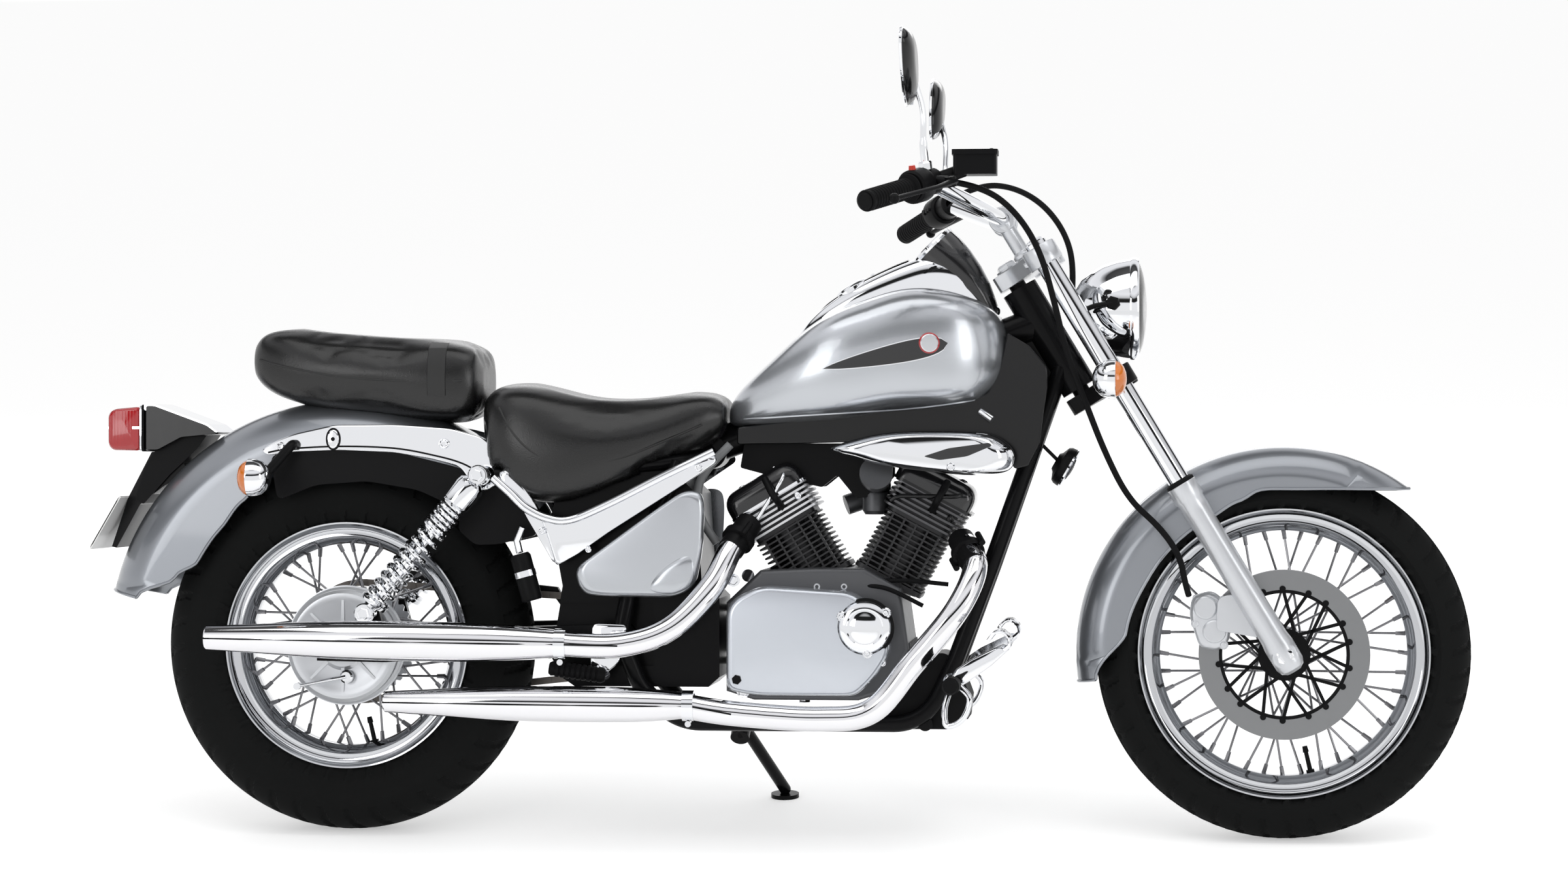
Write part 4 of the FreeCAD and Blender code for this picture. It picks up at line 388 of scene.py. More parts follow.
def ball(centre: Vector, radius: float, steps: int = 10) -> Shape:
    """Sphere about a point."""
    profile = [(radius * math.sin(math.pi * k / steps), -radius * math.cos(math.pi * k / steps))
               for k in range(steps + 1)]
    return turned(profile, centre, UP, 2 * steps)


def slab(line: Sequence[Vector], thick: Vector) -> Shape:
    """Flat plate with a closed outline, thickened along a vector."""
    return skin([list(line), [point + thick for point in line]])


def pillow(line: Sequence[Vector], rise: Vector, shoulder: float, steps: int = 5,
           foot: float = 0.0) -> Shape:
    """Plate with a closed outline whose face rounds off towards its edge.

    Args:
        line: Outline of the plate at its back.
        rise: From the back to the highest part of the face.
        shoulder: Share of the outline's reach that the rounding takes.
        steps: Steps of the rounding.
        foot: Share of the rise that stands straight up first.

    Returns:
        The plate.
    """
    middle = sum(line, Vector()) / len(line)
    rings = [list(line)]
    for step in range(steps + 1):
        turn = math.pi / 2 * step / steps
        shrink = 1 - shoulder * (1 - math.cos(turn))
        lift = foot + (1 - foot) * math.sin(turn)
        rings.append([middle + (point - middle) * shrink + rise * lift for point in line])
    return skin(rings)


def sheet(outline: Pairs, bend: float, left: float, thick: float) -> Shape:
    """Slab with rounded corners, drawn in side view and thickened to the left."""
    return slab(side_view(bent(outline, bend), left), LEFT * thick)


def puffed(outline: Pairs, bend: float, left: float, rise: float, shoulder: float, steps: int,
           foot: float) -> Shape:
    """Pillow with rounded corners, drawn in side view and raised to the left."""
    return pillow(side_view(bent(outline, bend), left), LEFT * rise, shoulder, steps, foot)


def bolt(centre: Point, axis: Vector, radius: float = 7.0, height: float = 5.0) -> Shape:
    """Hexagon bolt head on a washer."""
    washer = turned(band(0, radius * 1.35, -1, 1.2), centre, axis, 18)
    head = turned(button(radius, 1, height - 1, radius * 0.86, height), centre, axis, 6)
    return washer.add(head)


def dome_screw(centre: Point, axis: Vector, radius: float, height: float) -> Shape:
    """Round head with a hollow for a key."""
    inner = radius * 0.45
    profile = [(0, -1), (radius, -1), (radius, height * 0.35), (radius * 0.8, height * 0.85),
               (inner * 1.3, height), (inner, height * 0.9), (inner, height * 0.2),
               (0, height * 0.15)]
    return turned(profile, centre, axis, 20)


def dome_screws(places: Pairs, left: float, axis: Vector, radius: float, height: float) -> Shape:
    """Round heads at places in the side view."""
    return Shape().add(*[dome_screw(point, axis, radius, height)
                         for point in side_view(places, left)])


# Nodes, and repeats made with Geometry Nodes


def wired(tree: bpy.types.NodeTree, kind: str, inputs: dict, **settings: object) -> bpy.types.Node:
    """New node with its settings, and its inputs linked or set.

    Args:
        tree: Tree that it joins.
        kind: Type of the node.
        inputs: Socket to link from, or plain value, for each input by name or number.
        settings: Attributes of the node.

    Returns:
        The node.
    """
    node = tree.nodes.new(kind)
    for name, value in settings.items():
        setattr(node, name, value)
    for place, value in inputs.items():
        if isinstance(value, bpy.types.NodeSocket):
            tree.links.new(value, node.inputs[place])
        else:
            node.inputs[place].default_value = value
    return node


def sockets(tree: bpy.types.NodeTree, way: str, kinds: dict[str, str]) -> None:
    """Add named sockets on the tree's input or output side."""
    for label, kind in kinds.items():
        tree.interface.new_socket(label, in_out=way, socket_type="NodeSocket" + kind)


class Repeat:
    """Geometry Nodes trees that repeat a drawn part."""

    coil_steps: int = 28
    wire_sides: int = 10

    def __init__(self) -> None:
        """Build each tree once."""
        self.ring_tree = self._ring()
        self.row_tree = self._row()
        self.coil_tree = self._coil()

    @staticmethod
    def _tree(name: str, **kinds: str) -> tuple[bpy.types.NodeTree, bpy.types.NodeInputs]:
        """Empty tree with named inputs after its geometry, and the sockets that give them."""
        tree = bpy.data.node_groups.new(name, "GeometryNodeTree")
        sockets(tree, "INPUT", {"Geometry": "Geometry", **kinds})
        sockets(tree, "OUTPUT", {"Geometry": "Geometry"})
        return tree, tree.nodes.new("NodeGroupInput").outputs

    @staticmethod
    def _end(tree: bpy.types.NodeTree, last: bpy.types.Node,
             finish: bpy.types.NodeSocket) -> bpy.types.NodeTree:
        """Realize the instances, set the material and put the result out."""
        real = wired(tree, "GeometryNodeRealizeInstances", {0: last.outputs[0]})
        paint = wired(tree, "GeometryNodeSetMaterial",
                      {"Geometry": real.outputs[0], "Material": finish})
        wired(tree, "NodeGroupOutput", {0: paint.outputs[0]})
        return tree

    @staticmethod
    def _copies(tree: bpy.types.NodeTree, given: bpy.types.NodeInputs) -> tuple:
        """One instance of the part on each of Count points, with the point's number."""
        points = wired(tree, "GeometryNodePoints", {"Count": given["Count"]})
        place = wired(tree, "GeometryNodeInstanceOnPoints",
                      {"Points": points.outputs[0], "Instance": given["Geometry"]})
        return place.outputs[0], tree.nodes.new("GeometryNodeInputIndex").outputs[0]

    def _ring(self) -> bpy.types.NodeTree:
        """Tree that turns copies of the part about an axis."""
        tree, given = self._tree("Parts In A Ring", Count="Int", Step="Float", Axis="Vector",
                                 Centre="Vector", Finish="Material")
        copies, number = self._copies(tree, given)
        angle = wired(tree, "ShaderNodeMath", {0: number, 1: given["Step"]}, operation="MULTIPLY")
        about = wired(tree, "FunctionNodeAxisAngleToRotation",
                      {"Axis": given["Axis"], "Angle": angle.outputs[0]})
        turn = wired(tree, "GeometryNodeRotateInstances",
                     {"Instances": copies, "Rotation": about.outputs[0],
                      "Pivot Point": given["Centre"], "Local Space": False})
        return self._end(tree, turn, given["Finish"])

    def _row(self) -> bpy.types.NodeTree:
        """Tree that sets copies of the part in a straight row."""
        tree, given = self._tree("Parts In A Row", Count="Int", Step="Vector", Finish="Material")
        copies, number = self._copies(tree, given)
        shift = wired(tree, "ShaderNodeVectorMath", {0: given["Step"], "Scale": number},
                      operation="SCALE")
        move = wired(tree, "GeometryNodeTranslateInstances",
                     {"Instances": copies, "Translation": shift.outputs[0], "Local Space": False})
        return self._end(tree, move, given["Finish"])

    def _coil(self) -> bpy.types.NodeTree:
        """Tree that winds a wire into a spring along z and lays it on its axis."""
        tree, given = self._tree("Coil Spring", Turns="Float", Radius="Float", Length="Float",
                                 Wire="Float", Start="Vector", Axis="Vector", Finish="Material")
        line = wired(tree, "GeometryNodeCurveSpiral",
                     {"Resolution": self.coil_steps, "Rotations": given["Turns"],
                      "Start Radius": given["Radius"], "End Radius": given["Radius"],
                      "Height": given["Length"]})
        circle = wired(tree, "GeometryNodeCurvePrimitiveCircle",
                       {"Resolution": self.wire_sides, "Radius": given["Wire"]})
        wire = wired(tree, "GeometryNodeCurveToMesh",
                     {"Fill Caps": True, "Curve": line.outputs[0],
                      "Profile Curve": circle.outputs[0]})
        align = wired(tree, "FunctionNodeAlignRotationToVector", {"Vector": given["Axis"]},
                      axis="Z")
        lay = wired(tree, "GeometryNodeTransform",
                    {"Geometry": wire.outputs[0], "Translation": given["Start"],
                     "Rotation": align.outputs[0]})
        return self._end(tree, lay, given["Finish"])

    @staticmethod
    def _run(mesh: bpy.types.Mesh, tree: bpy.types.NodeTree, values: dict) -> bpy.types.Mesh:
        """Plain mesh that a tree makes of a mesh, with its inputs set by name."""
        holder = bpy.data.objects.new(mesh.name, mesh)
        bpy.context.scene.collection.objects.link(holder)
        modifier = holder.modifiers.new("Repeat", "NODES")
        modifier.node_group = tree
        for item in tree.interface.items_tree:
            if item.in_out == "INPUT" and item.name in values:
                modifier[item.identifier] = values[item.name]
        graph = bpy.context.evaluated_depsgraph_get()
        result = bpy.data.meshes.new_from_object(holder.evaluated_get(graph))
        bpy.data.objects.remove(holder)
        return result

    def ring(self, part: Shape, count: int, centre: Vector, axis: Vector,
             finish: bpy.types.Material, sweep: float = 2 * math.pi) -> bpy.types.Mesh:
        """Mesh of a part repeated about an axis on the upright machine."""
        direction = (TO_ROW.to_3x3() @ axis).normalized()
        return self._run(part.mesh("ring"), self.ring_tree,
                         {"Count": count, "Step": sweep / count, "Axis": direction,
                          "Centre": TO_ROW @ centre, "Finish": finish})

    def row(self, part: Shape, count: int, step: Vector,
            finish: bpy.types.Material) -> bpy.types.Mesh:
        """Mesh of a part repeated in a straight row on the upright machine."""
        return self._run(part.mesh("row"), self.row_tree,
                         {"Count": count, "Step": TO_ROW.to_3x3() @ step, "Finish": finish})

    def coil(self, start: Vector, end: Vector, radius: float, wire: float, turns: float,
             finish: bpy.types.Material) -> bpy.types.Mesh:
        """Mesh of a coil spring between two points on the upright machine."""
        return self._run(bpy.data.meshes.new("coil"), self.coil_tree,
                         {"Turns": turns, "Radius": radius / 1000, "Wire": wire / 1000,
                          "Length": (end - start).length / 1000, "Start": TO_ROW @ start,
                          "Axis": (TO_ROW.to_3x3() @ (end - start)).normalized(),
                          "Finish": finish})


REPEAT = Repeat()


# Publishing pieces


def join(meshes: Sequence[bpy.types.Mesh], name: str) -> bpy.types.Mesh:
    """One mesh of several, their materials kept."""
    work = bmesh.new()
    result = bpy.data.meshes.new(name)
    for mesh in meshes:
        shift = len(result.materials)
        for material in mesh.materials:
            result.materials.append(material)
        part = bmesh.new()
        part.from_mesh(mesh)
        for face in part.faces:
            face.material_index += shift
        part.to_mesh(mesh)
        part.free()
        work.from_mesh(mesh)
    work.to_mesh(result)
    work.free()
    return result


def publish(source: Shape | bpy.types.Mesh, name: str, body: Body, finish: "Finish",
            replaces: Sequence[str] = (), bevel: float = 0.0,
            smooth: float = SMOOTH_ANGLE) -> bpy.types.Object:
    """Put a finished piece into the scene on its body.

    Args:
        source: Drawn shape, or a mesh in the row frame.
        name: Name of the piece.
        body: Body that it moves with.
        finish: Its finish.
        replaces: CAD nodes that it stands for.
        bevel: Width of rounded edges in millimetres, or 0.
        smooth: Angle below which an edge is shaded smooth.

    Returns:
        The piece's object.
    """
    mesh = source.mesh(name) if isinstance(source, Shape) else source
    if not mesh.materials:
        mesh.materials.append(finish.material())
    for polygon in mesh.polygons:
        polygon.use_smooth = True
    mesh.set_sharp_from_angle(angle=smooth)
    piece = bpy.data.objects.new(name, mesh)
    bpy.context.scene.collection.objects.link(piece)
    if bevel:
        round_edges = piece.modifiers.new("Bevel", "BEVEL")
        round_edges.width = bevel / 1000
        round_edges.segments = BEVEL_STEPS
        round_edges.limit_method = "ANGLE"
        round_edges.angle_limit = BEVEL_ANGLE
    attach(piece, body.value)
    if replaces:
        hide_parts(*replaces)
    LOG.info("%s: %d faces", name, len(mesh.polygons))
    return piece


def publish_all(body: Body, *rows: tuple) -> None:
    """Publish rows of (source, name, finish), then the CAD nodes that the piece stands for."""
    for source, name, finish, *nodes in rows:
        publish(source, name, body, finish, nodes)


def dress(node: str, finish: "Finish") -> None:
    """Give a CAD node its finish, with its shape left as it is."""
    piece = frame["nodes"][node]
    piece.data.materials.clear()
    piece.data.materials.append(finish.material())


# Finishes


def grain_group() -> bpy.types.NodeTree:
    """Shader group that breaks up a finish: shade, roughness and fine height over a surface."""
    group = bpy.data.node_groups.new("Surface Grain", "ShaderNodeTree")
    sockets(group, "INPUT", {"Vector": "Vector", "Colour": "Color", "Worn Colour": "Color",
                             "Scale": "Float", "Wear": "Float", "Roughness": "Float",
                             "Spread": "Float"})
    sockets(group, "OUTPUT", {"Colour": "Color", "Roughness": "Float", "Height": "Float"})
    given = group.nodes.new("NodeGroupInput").outputs
    cloud = wired(group, "ShaderNodeTexNoise",
                  {"Detail": 6, "Vector": given["Vector"], "Scale": given["Scale"]}).outputs["Fac"]
    amount = wired(group, "ShaderNodeMath", {0: cloud, 1: given["Wear"]}, operation="MULTIPLY")
    mix = wired(group, "ShaderNodeMix", {"Factor": amount.outputs[0], "A": given["Colour"],
                                         "B": given["Worn Colour"]}, data_type="RGBA")
    swing = wired(group, "ShaderNodeMath", {0: cloud, 1: given["Spread"], 2: given["Roughness"]},
                  operation="MULTIPLY_ADD")
    wired(group, "NodeGroupOutput", {"Colour": mix.outputs["Result"],
                                     "Roughness": swing.outputs[0], "Height": cloud})
    return group


class Pattern(Enum):
    """Kinds of fine relief on a finish, where it has relief."""

    SMOOTH = "smooth"
    GRAINED = "grained"
    LEATHER = "leather"
    FLUTED = "fluted"


@dataclass(frozen=True)
class Finish:
    """One surface finish and the record's slot that it belongs to."""

    name: str
    slot: str
    colour: tuple[float, float, float]
    roughness: float
    metallic: float = 0.0
    coat: float = 0.0
    worn: tuple[float, float, float] | None = None
    wear: float = 0.15
    spread: float = 0.06
    scale: float = 40.0
    relief: float = 0.0
    pattern: Pattern = Pattern.SMOOTH
    specular: float = 0.5
    transmission: float = 0.0
    coat_roughness: float = 0.04
    bump_strength: float = 0.6

    def material(self) -> bpy.types.Material:
        """The finish's material, made once."""
        found = bpy.data.materials.get(self.name)
        return found if found else self._make()

    def _make(self) -> bpy.types.Material:
        """Build the material's nodes."""
        material = bpy.data.materials.new(self.name)
        material.use_nodes = True
        material.diffuse_color = (*self.colour, 1)
        tree = material.node_tree
        shader = tree.nodes["Principled BSDF"]
        for label, value in (("Metallic", self.metallic), ("Coat Weight", self.coat),
                             ("Coat Roughness", self.coat_roughness),
                             ("Specular IOR Level", self.specular),
                             ("Transmission Weight", self.transmission)):
            shader.inputs[label].default_value = value
        place = tree.nodes.new("ShaderNodeTexCoord").outputs["Object"]
        worn = self.worn or tuple(channel * 0.8 for channel in self.colour)
        group = bpy.data.node_groups.get("Surface Grain") or grain_group()
        grain = wired(tree, "ShaderNodeGroup", {
            "Vector": place, "Colour": (*self.colour, 1), "Worn Colour": (*worn, 1),
            "Scale": self.scale, "Wear": self.wear, "Spread": self.spread,
            "Roughness": self.roughness - self.spread / 2}, node_tree=group)
        tree.links.new(grain.outputs["Colour"], shader.inputs["Base Color"])
        tree.links.new(grain.outputs["Roughness"], shader.inputs["Roughness"])
        if self.relief:
            bump = wired(tree, "ShaderNodeBump", {
                "Strength": self.bump_strength, "Distance": self.relief,
                "Height": self._height(tree, place)})
            tree.links.new(bump.outputs["Normal"], shader.inputs["Normal"])
        return material

    def _height(self, tree: bpy.types.NodeTree,
                place: bpy.types.NodeSocket) -> bpy.types.NodeSocket:
        """Socket that puts out the height of the finish's relief."""
        if self.pattern is Pattern.LEATHER:
            return wired(tree, "ShaderNodeTexVoronoi", {"Scale": 620, "Vector": place},
                         feature="SMOOTH_F1").outputs["Distance"]
        if self.pattern is Pattern.FLUTED:
            return wired(tree, "ShaderNodeTexWave", {"Scale": 60, "Vector": place}).outputs["Fac"]
        return wired(tree, "ShaderNodeTexNoise",
                     {"Scale": self.scale * 12, "Vector": place}).outputs["Fac"]


class Paint:
    """Every finish of the machine."""

    SILVER = Finish("SilverBodyPaint", "silver_body_paint", (0.50, 0.52, 0.55), 0.26,
                    metallic=0.8, coat=1.0, wear=0.10, spread=0.04, scale=900)
    FENDER = Finish("FenderPaint", "fender_paint", (0.27, 0.285, 0.31), 0.30, metallic=0.75,
                    coat=0.9, wear=0.10, spread=0.04, scale=900)
    FRAME = Finish("BlackFramePaint", "black_frame_paint", (0.005, 0.005, 0.0055), 0.24,
                   specular=0.1)
    CHROME = Finish("BrightChrome", "chrome", (0.80, 0.81, 0.83), 0.04, metallic=1.0, wear=0.05,
                    spread=0.03, scale=20)
    PIPE = Finish("ExhaustChrome", "chrome", (0.80, 0.80, 0.82), 0.05, metallic=1.0, wear=0.08,
                  spread=0.04, worn=(0.74, 0.70, 0.66), scale=12)
    RIM = Finish("WheelChrome", "wheel_chrome", (0.56, 0.57, 0.59), 0.06, metallic=1.0,
                 spread=0.05, scale=30)
    SPOKE = Finish("SpokeSteel", "wheel_chrome", (0.20, 0.20, 0.21), 0.25, metallic=1.0)
    ALLOY = Finish("BrushedAlloy", "polished_alloy", (0.64, 0.655, 0.68), 0.30, metallic=0.6,
                   coat=0.2, spread=0.08, relief=0.00004, pattern=Pattern.GRAINED)
    COVER = Finish("CoverLacquer", "polished_alloy", (0.60, 0.63, 0.68), 0.24, metallic=0.75,
                   coat=0.6, spread=0.06)
    CAST = Finish("CastAlloy", "polished_alloy", (0.10, 0.102, 0.108), 0.42, metallic=0.6,
                  spread=0.1, relief=0.00012, pattern=Pattern.GRAINED, scale=60)
    FIN = Finish("FinEdges", "cylinder_alloy", (0.74, 0.75, 0.77), 0.34, metallic=0.45)
    FIN_DARK = Finish("DarkFinEdges", "cylinder_alloy", (0.10, 0.10, 0.105), 0.34, metallic=0.8)
    BARREL = Finish("BlackBarrel", "cylinder_alloy", (0.022, 0.022, 0.024), 0.42, metallic=0.3,
                    spread=0.1, relief=0.0001, pattern=Pattern.GRAINED)
    TYRE = Finish("TyreRubber", "tyre_rubber", (0.0075, 0.008, 0.008), 0.72, spread=0.12,
                  worn=(0.016, 0.016, 0.016), wear=0.3, relief=0.00008, pattern=Pattern.GRAINED,
                  specular=0.06)
    DISC = Finish("BrakeDiscSteel", "disc_steel", (0.25, 0.255, 0.26), 0.30, metallic=0.9,
                  spread=0.1, relief=0.00003, pattern=Pattern.GRAINED)
    CHAIN = Finish("ChainSteel", "chain_steel", (0.16, 0.15, 0.14), 0.38, metallic=0.9,
                   worn=(0.07, 0.055, 0.045), wear=0.6)
    BLACK = Finish("SatinBlackMetal", "black_metal", (0.007, 0.007, 0.0075), 0.38, specular=0.08)
    GLOSS_METAL = Finish("GlossBlackMetal", "black_metal", (0.005, 0.005, 0.0055), 0.16,
                         specular=0.35)
    GLOSS = Finish("BlackPlastic", "black_dial", (0.009, 0.009, 0.010), 0.18, coat=0.4)
    DIAL = Finish("DialFace", "black_dial", (0.02, 0.02, 0.022), 0.5)
    MARKS = Finish("DialMarks", "black_dial", (0.75, 0.75, 0.72), 0.5)
    NEEDLE = Finish("RedNeedle", "black_dial", (0.6, 0.03, 0.01), 0.4)
    RUBBER = Finish("BlackRubber", "rubber", (0.007, 0.007, 0.0075), 0.6, spread=0.1,
                    relief=0.00008, pattern=Pattern.GRAINED, specular=0.08)
    LEATHER = Finish("SeatLeather", "seat_leather", (0.006, 0.006, 0.006), 0.27, spread=0.06,
                     relief=0.00025, pattern=Pattern.LEATHER, specular=0.5)
    PIPING = Finish("SeatPiping", "seat_leather", (0.01, 0.01, 0.01), 0.5)
    RED_LENS = Finish("RedLens", "red_lens", (0.42, 0.008, 0.012), 0.16, coat=0.8,
                      relief=0.0002, pattern=Pattern.FLUTED)
    AMBER = Finish("AmberLens", "chrome", (0.72, 0.19, 0.015), 0.16, coat=0.8, relief=0.0002,
                   pattern=Pattern.FLUTED)
    BOSS = Finish("BadgeBoss", "chrome", (0.62, 0.63, 0.65), 0.24, metallic=1.0)
    HOSE = Finish("GreyHose", "rubber", (0.17, 0.175, 0.18), 0.45)
    GLASS = Finish("LampGlass", "lamp_glass", (0.95, 0.96, 0.97), 0.03, transmission=1.0,
                   wear=0.0, spread=0.0)
    BOWL = Finish("LampReflector", "chrome", (0.9, 0.9, 0.91), 0.08, metallic=1.0)
    PLATE = Finish("BlankPlate", "plate_white", (0.88, 0.88, 0.87), 0.35, coat=0.2)


# Wheels


@dataclass
class Tyre:
    """Pneumatic tyre with a cut tread."""

    name: str
    body: Body
    centre: Vector
    radius: float
    half: float
    lip: float
    rim_half: float
    pitch_count: int
    around: int = 576
    wall_steps: int = 9
    crown_steps: int = 32
    shoulder_drop: float = 48.0
    groove: float = 4.5
    slant: float = 0.62
    bars: tuple[float, float, float] = (0.30, 0.90, 0.26)
    notches: tuple[float, float, float] = (0.07, 0.24, 0.42)
    channel: tuple[float, float] = (0.255, 0.30)

    def outline(self) -> list[tuple[float, float]]:
        """Outer profile from one bead over the tread to the other, as (radius, left)."""
        crown = (self.half ** 2 + self.shoulder_drop ** 2) / (2 * self.shoulder_drop)
        limit = math.asin(self.half / crown)
        foot, shoulder = self.lip + 2.5, self.radius - self.shoulder_drop
        bead = self.rim_half - 4
        side = []
        for step in range(self.wall_steps):
            t = step / self.wall_steps
            reach = foot + (shoulder - foot) * t
            swell = bead + (self.half - bead) * (1 - (1 - t) ** 2.2)
            rib = 0.9 if step in (2, 3, 7) else 0.0
            side.append((reach, swell + rib))
        tread = []
        for step in range(self.crown_steps + 1):
            angle = -limit + 2 * limit * step / self.crown_steps
            tread.append((self.radius - crown * (1 - math.cos(angle)), crown * math.sin(angle)))
        left = [(r, -y) for r, y in side]
        return left + tread + [(r, y) for r, y in reversed(side)]

    def depth(self, turn: float, left: float) -> float:
        """How deep the tread is cut at a turn and a distance left.

        Bars and notches are (inner share, outer share, part of the pitch that is cut).
        """
        share = abs(left) / self.half
        phase = (turn * self.pitch_count / (2 * math.pi)) % 1.0
        if left < 0:
            phase = (phase + 0.5) % 1.0
        low, high, cut = self.bars
        if low < share < high and (phase + self.slant * share) % 1.0 < cut:
            return self.groove
        low, high, cut = self.notches
        if low < share < high and (phase * 2) % 1.0 < cut:
            return 0.8 * self.groove
        return self.groove if self.channel[0] < share < self.channel[1] else 0.0

    def build(self) -> None:
        """Make the tyre and let it stand for its CAD node."""
        profile = self.outline()
        rings = []
        for step in range(self.around):
            turn = 2 * math.pi * step / self.around
            out = outward(turn)
            ring = [self.centre + out * (r - self.depth(turn, y)) + LEFT * y for r, y in profile]
            bead = self.lip - 17.5
            ring.append(self.centre + out * bead + LEFT * (self.rim_half - 15))
            ring.append(self.centre + out * bead - LEFT * (self.rim_half - 15))
            rings.append(ring)
        publish(skin(rings, loop=True), self.name, self.body, Paint.TYRE, [self.name],
                smooth=math.radians(28))


@dataclass
class WireWheel:
    """Rim, spokes with nipples and hub of a wire wheel."""

    name: str
    body: Body
    centre: Vector
    lip: float
    rim_half: float
    hub_radius: float
    hub_half: float
    flange: float
    flange_place: float
    bore: float
    lip_height: float = 18.0
    spoke: float = 2.0
    groups: int = 10
    lean: float = 50.0

    def rim(self) -> Shape:
        """Drop-centre rim with rolled lips."""
        lip, half = self.lip, self.rim_half
        side = [(1.5, 3.5), (0, 1.5), (1.5, 0), (4, 0.3), (6, 2.5), (10, 7), (14, 9.5), (20, 10),
                (24, 9), (26, 11), (29, 17)]
        bed = [(7, 8), (12, 12.5), (self.lip_height, 13)]
        right = [(lip - down, inward - half) for down, inward in side]
        right_bed = [(lip - down, inward - half) for down, inward in bed]
        well, flat = lip - self.lip_height - 14, half * 0.4
        profile = right + [(well - 5, -flat), (well - 6, 0), (well - 5, flat)]
        profile += [(r, -y) for r, y in reversed(right)] + [(r, -y) for r, y in right_bed]
        profile += [(well, flat), (well, -flat)] + list(reversed(right_bed))
        return turned(profile, self.centre, LEFT, 144, closed=True)

    def spoke_group(self) -> Shape:
        """Two crossing spokes of each flange, with their nipples and heads."""
        well = self.lip - self.lip_height - 16
        group = Shape()
        pitch = 2 * math.pi / (self.groups * 4)
        for index in range(4):
            side = 1 if index % 2 else -1
            sweep = math.radians(self.lean if index < 2 else -self.lean)
            angle = index * pitch
            foot = angle + sweep
            reach = self.flange - 5
            inner = self.centre + Vector((reach * math.cos(foot), side * (self.flange_place + 4),
                                          reach * math.sin(foot)))
            outer = self.centre + Vector((well * math.cos(angle), side * 8, well * math.sin(angle)))
            run = (outer - inner).normalized()
            group.add(rod(inner, outer, self.spoke, sides=8))
            group.add(rod(outer - run * 18, outer + run * 1, 3.6, 4.2, sides=6))
            group.add(rod(inner - LEFT * side * 7, inner + LEFT * side * 1.5, 3.6, sides=8))
        return group

    def hub(self) -> Shape:
        """Hub with waisted barrel, flanges and bearing covers."""
        half, barrel, flange, place = (self.hub_half, self.hub_radius, self.flange,
                                       self.flange_place)
        profile = [(self.bore, -half), (barrel - 6, -half), (barrel - 5, -half + 2),
                   (barrel, -place - 6), (flange - 1, -place - 4), (flange, -place - 3),
                   (flange, 3 - place), (flange - 1, 4 - place), (barrel + 2, 6 - place),
                   (barrel - 4, 16 - place), (barrel - 4, place - 16), (barrel + 2, place - 6),
                   (flange - 1, place - 4), (flange, place - 3), (flange, place + 3),
                   (flange - 1, place + 4), (barrel, place + 6), (barrel - 5, half - 2),
                   (barrel - 6, half), (self.bore, half)]
        return turned(profile, self.centre, LEFT, 72, closed=True)

    def valve(self) -> Shape:
        """Valve stem with its nut and cap."""
        turn = math.radians(-77)
        out = outward(turn)
        foot = self.centre + out * (self.lip - self.lip_height - 18)
        return rod(foot, foot - out * 34, 4, 3.5).add(rod(foot - out * 34, foot - out * 44, 5, 4),
                                                      rod(foot, foot - out * 5, 7.5, sides=6))

    def build(self) -> None:
        """Make the rim with everything that is fixed to it."""
        rim = self.rim().mesh(self.name, Paint.RIM)
        hub = Shape().add(self.hub(), *self.extras()).mesh("hub", Paint.ALLOY)
        spokes = REPEAT.ring(self.spoke_group(), self.groups, self.centre, LEFT,
                             Paint.SPOKE.material())
        publish_all(
            self.body,
            (join([rim, hub, spokes], self.name), self.name, Paint.RIM, self.name),
            (self.valve(), self.name + "_valve", Paint.BLACK))

    def extras(self) -> list[Shape]:
        """What else turns with the hub."""
        return []


@dataclass
class DrumWheel(WireWheel):
    """Rear wheel with a brake drum on its right and a sprocket on its left."""

    drum: float = 97.0
    sprocket: float = 88.0
    chain_place: float = 80.0
    teeth: int = 38

    def extras(self) -> list[Shape]:
        """Ribbed drum, and the toothed sprocket on its carrier."""
        place, half = self.flange_place, self.hub_half
        profile = [(self.hub_radius - 5, -half), (self.drum - 4, -half), (self.drum, -half + 4),
                   (self.drum, -place - 4), (self.drum - 6, -place), (self.drum - 24, -place + 8),
                   (self.hub_radius - 5, -place + 10)]
        drum = turned(profile, self.centre, LEFT, 72, closed=True)
        ribs = [turned([(self.drum - 2, y - 1.6), (self.drum + 2, y - 1), (self.drum + 2, y + 1),
                        (self.drum - 2, y + 1.6)], self.centre, LEFT, 72, closed=True)
                for y in (-half + 9, -half + 15)]
        carrier = turned([(self.bore, half - 3), (58, half - 3), (62, half + 2),
                          (52, self.chain_place - 4), (self.bore, self.chain_place - 4)],
                         self.centre, LEFT, 48, closed=True)
        return [drum, carrier, self.gear(), *ribs,
                *[bolt(self.centre + Vector((38 * math.cos(a), self.chain_place + 3,
                                             38 * math.sin(a))), LEFT, 6)
                  for a in (0.2, 1.25, 2.3, 3.35, 4.4, 5.45)]]

    def gear(self) -> Shape:
        """Toothed sprocket plate."""
        line = []
        for step in range(self.teeth * 6):
            turn = 2 * math.pi * step / (self.teeth * 6)
            tooth = (step % 6) / 6
            reach = self.sprocket + (4.2 if 0.15 < tooth < 0.55 else 0.5 if tooth < 0.7 else -1.5)
            line.append(self.centre + Vector((reach * math.cos(turn), self.chain_place - 3,
                                              reach * math.sin(turn))))
        return slab(line, LEFT * 6)


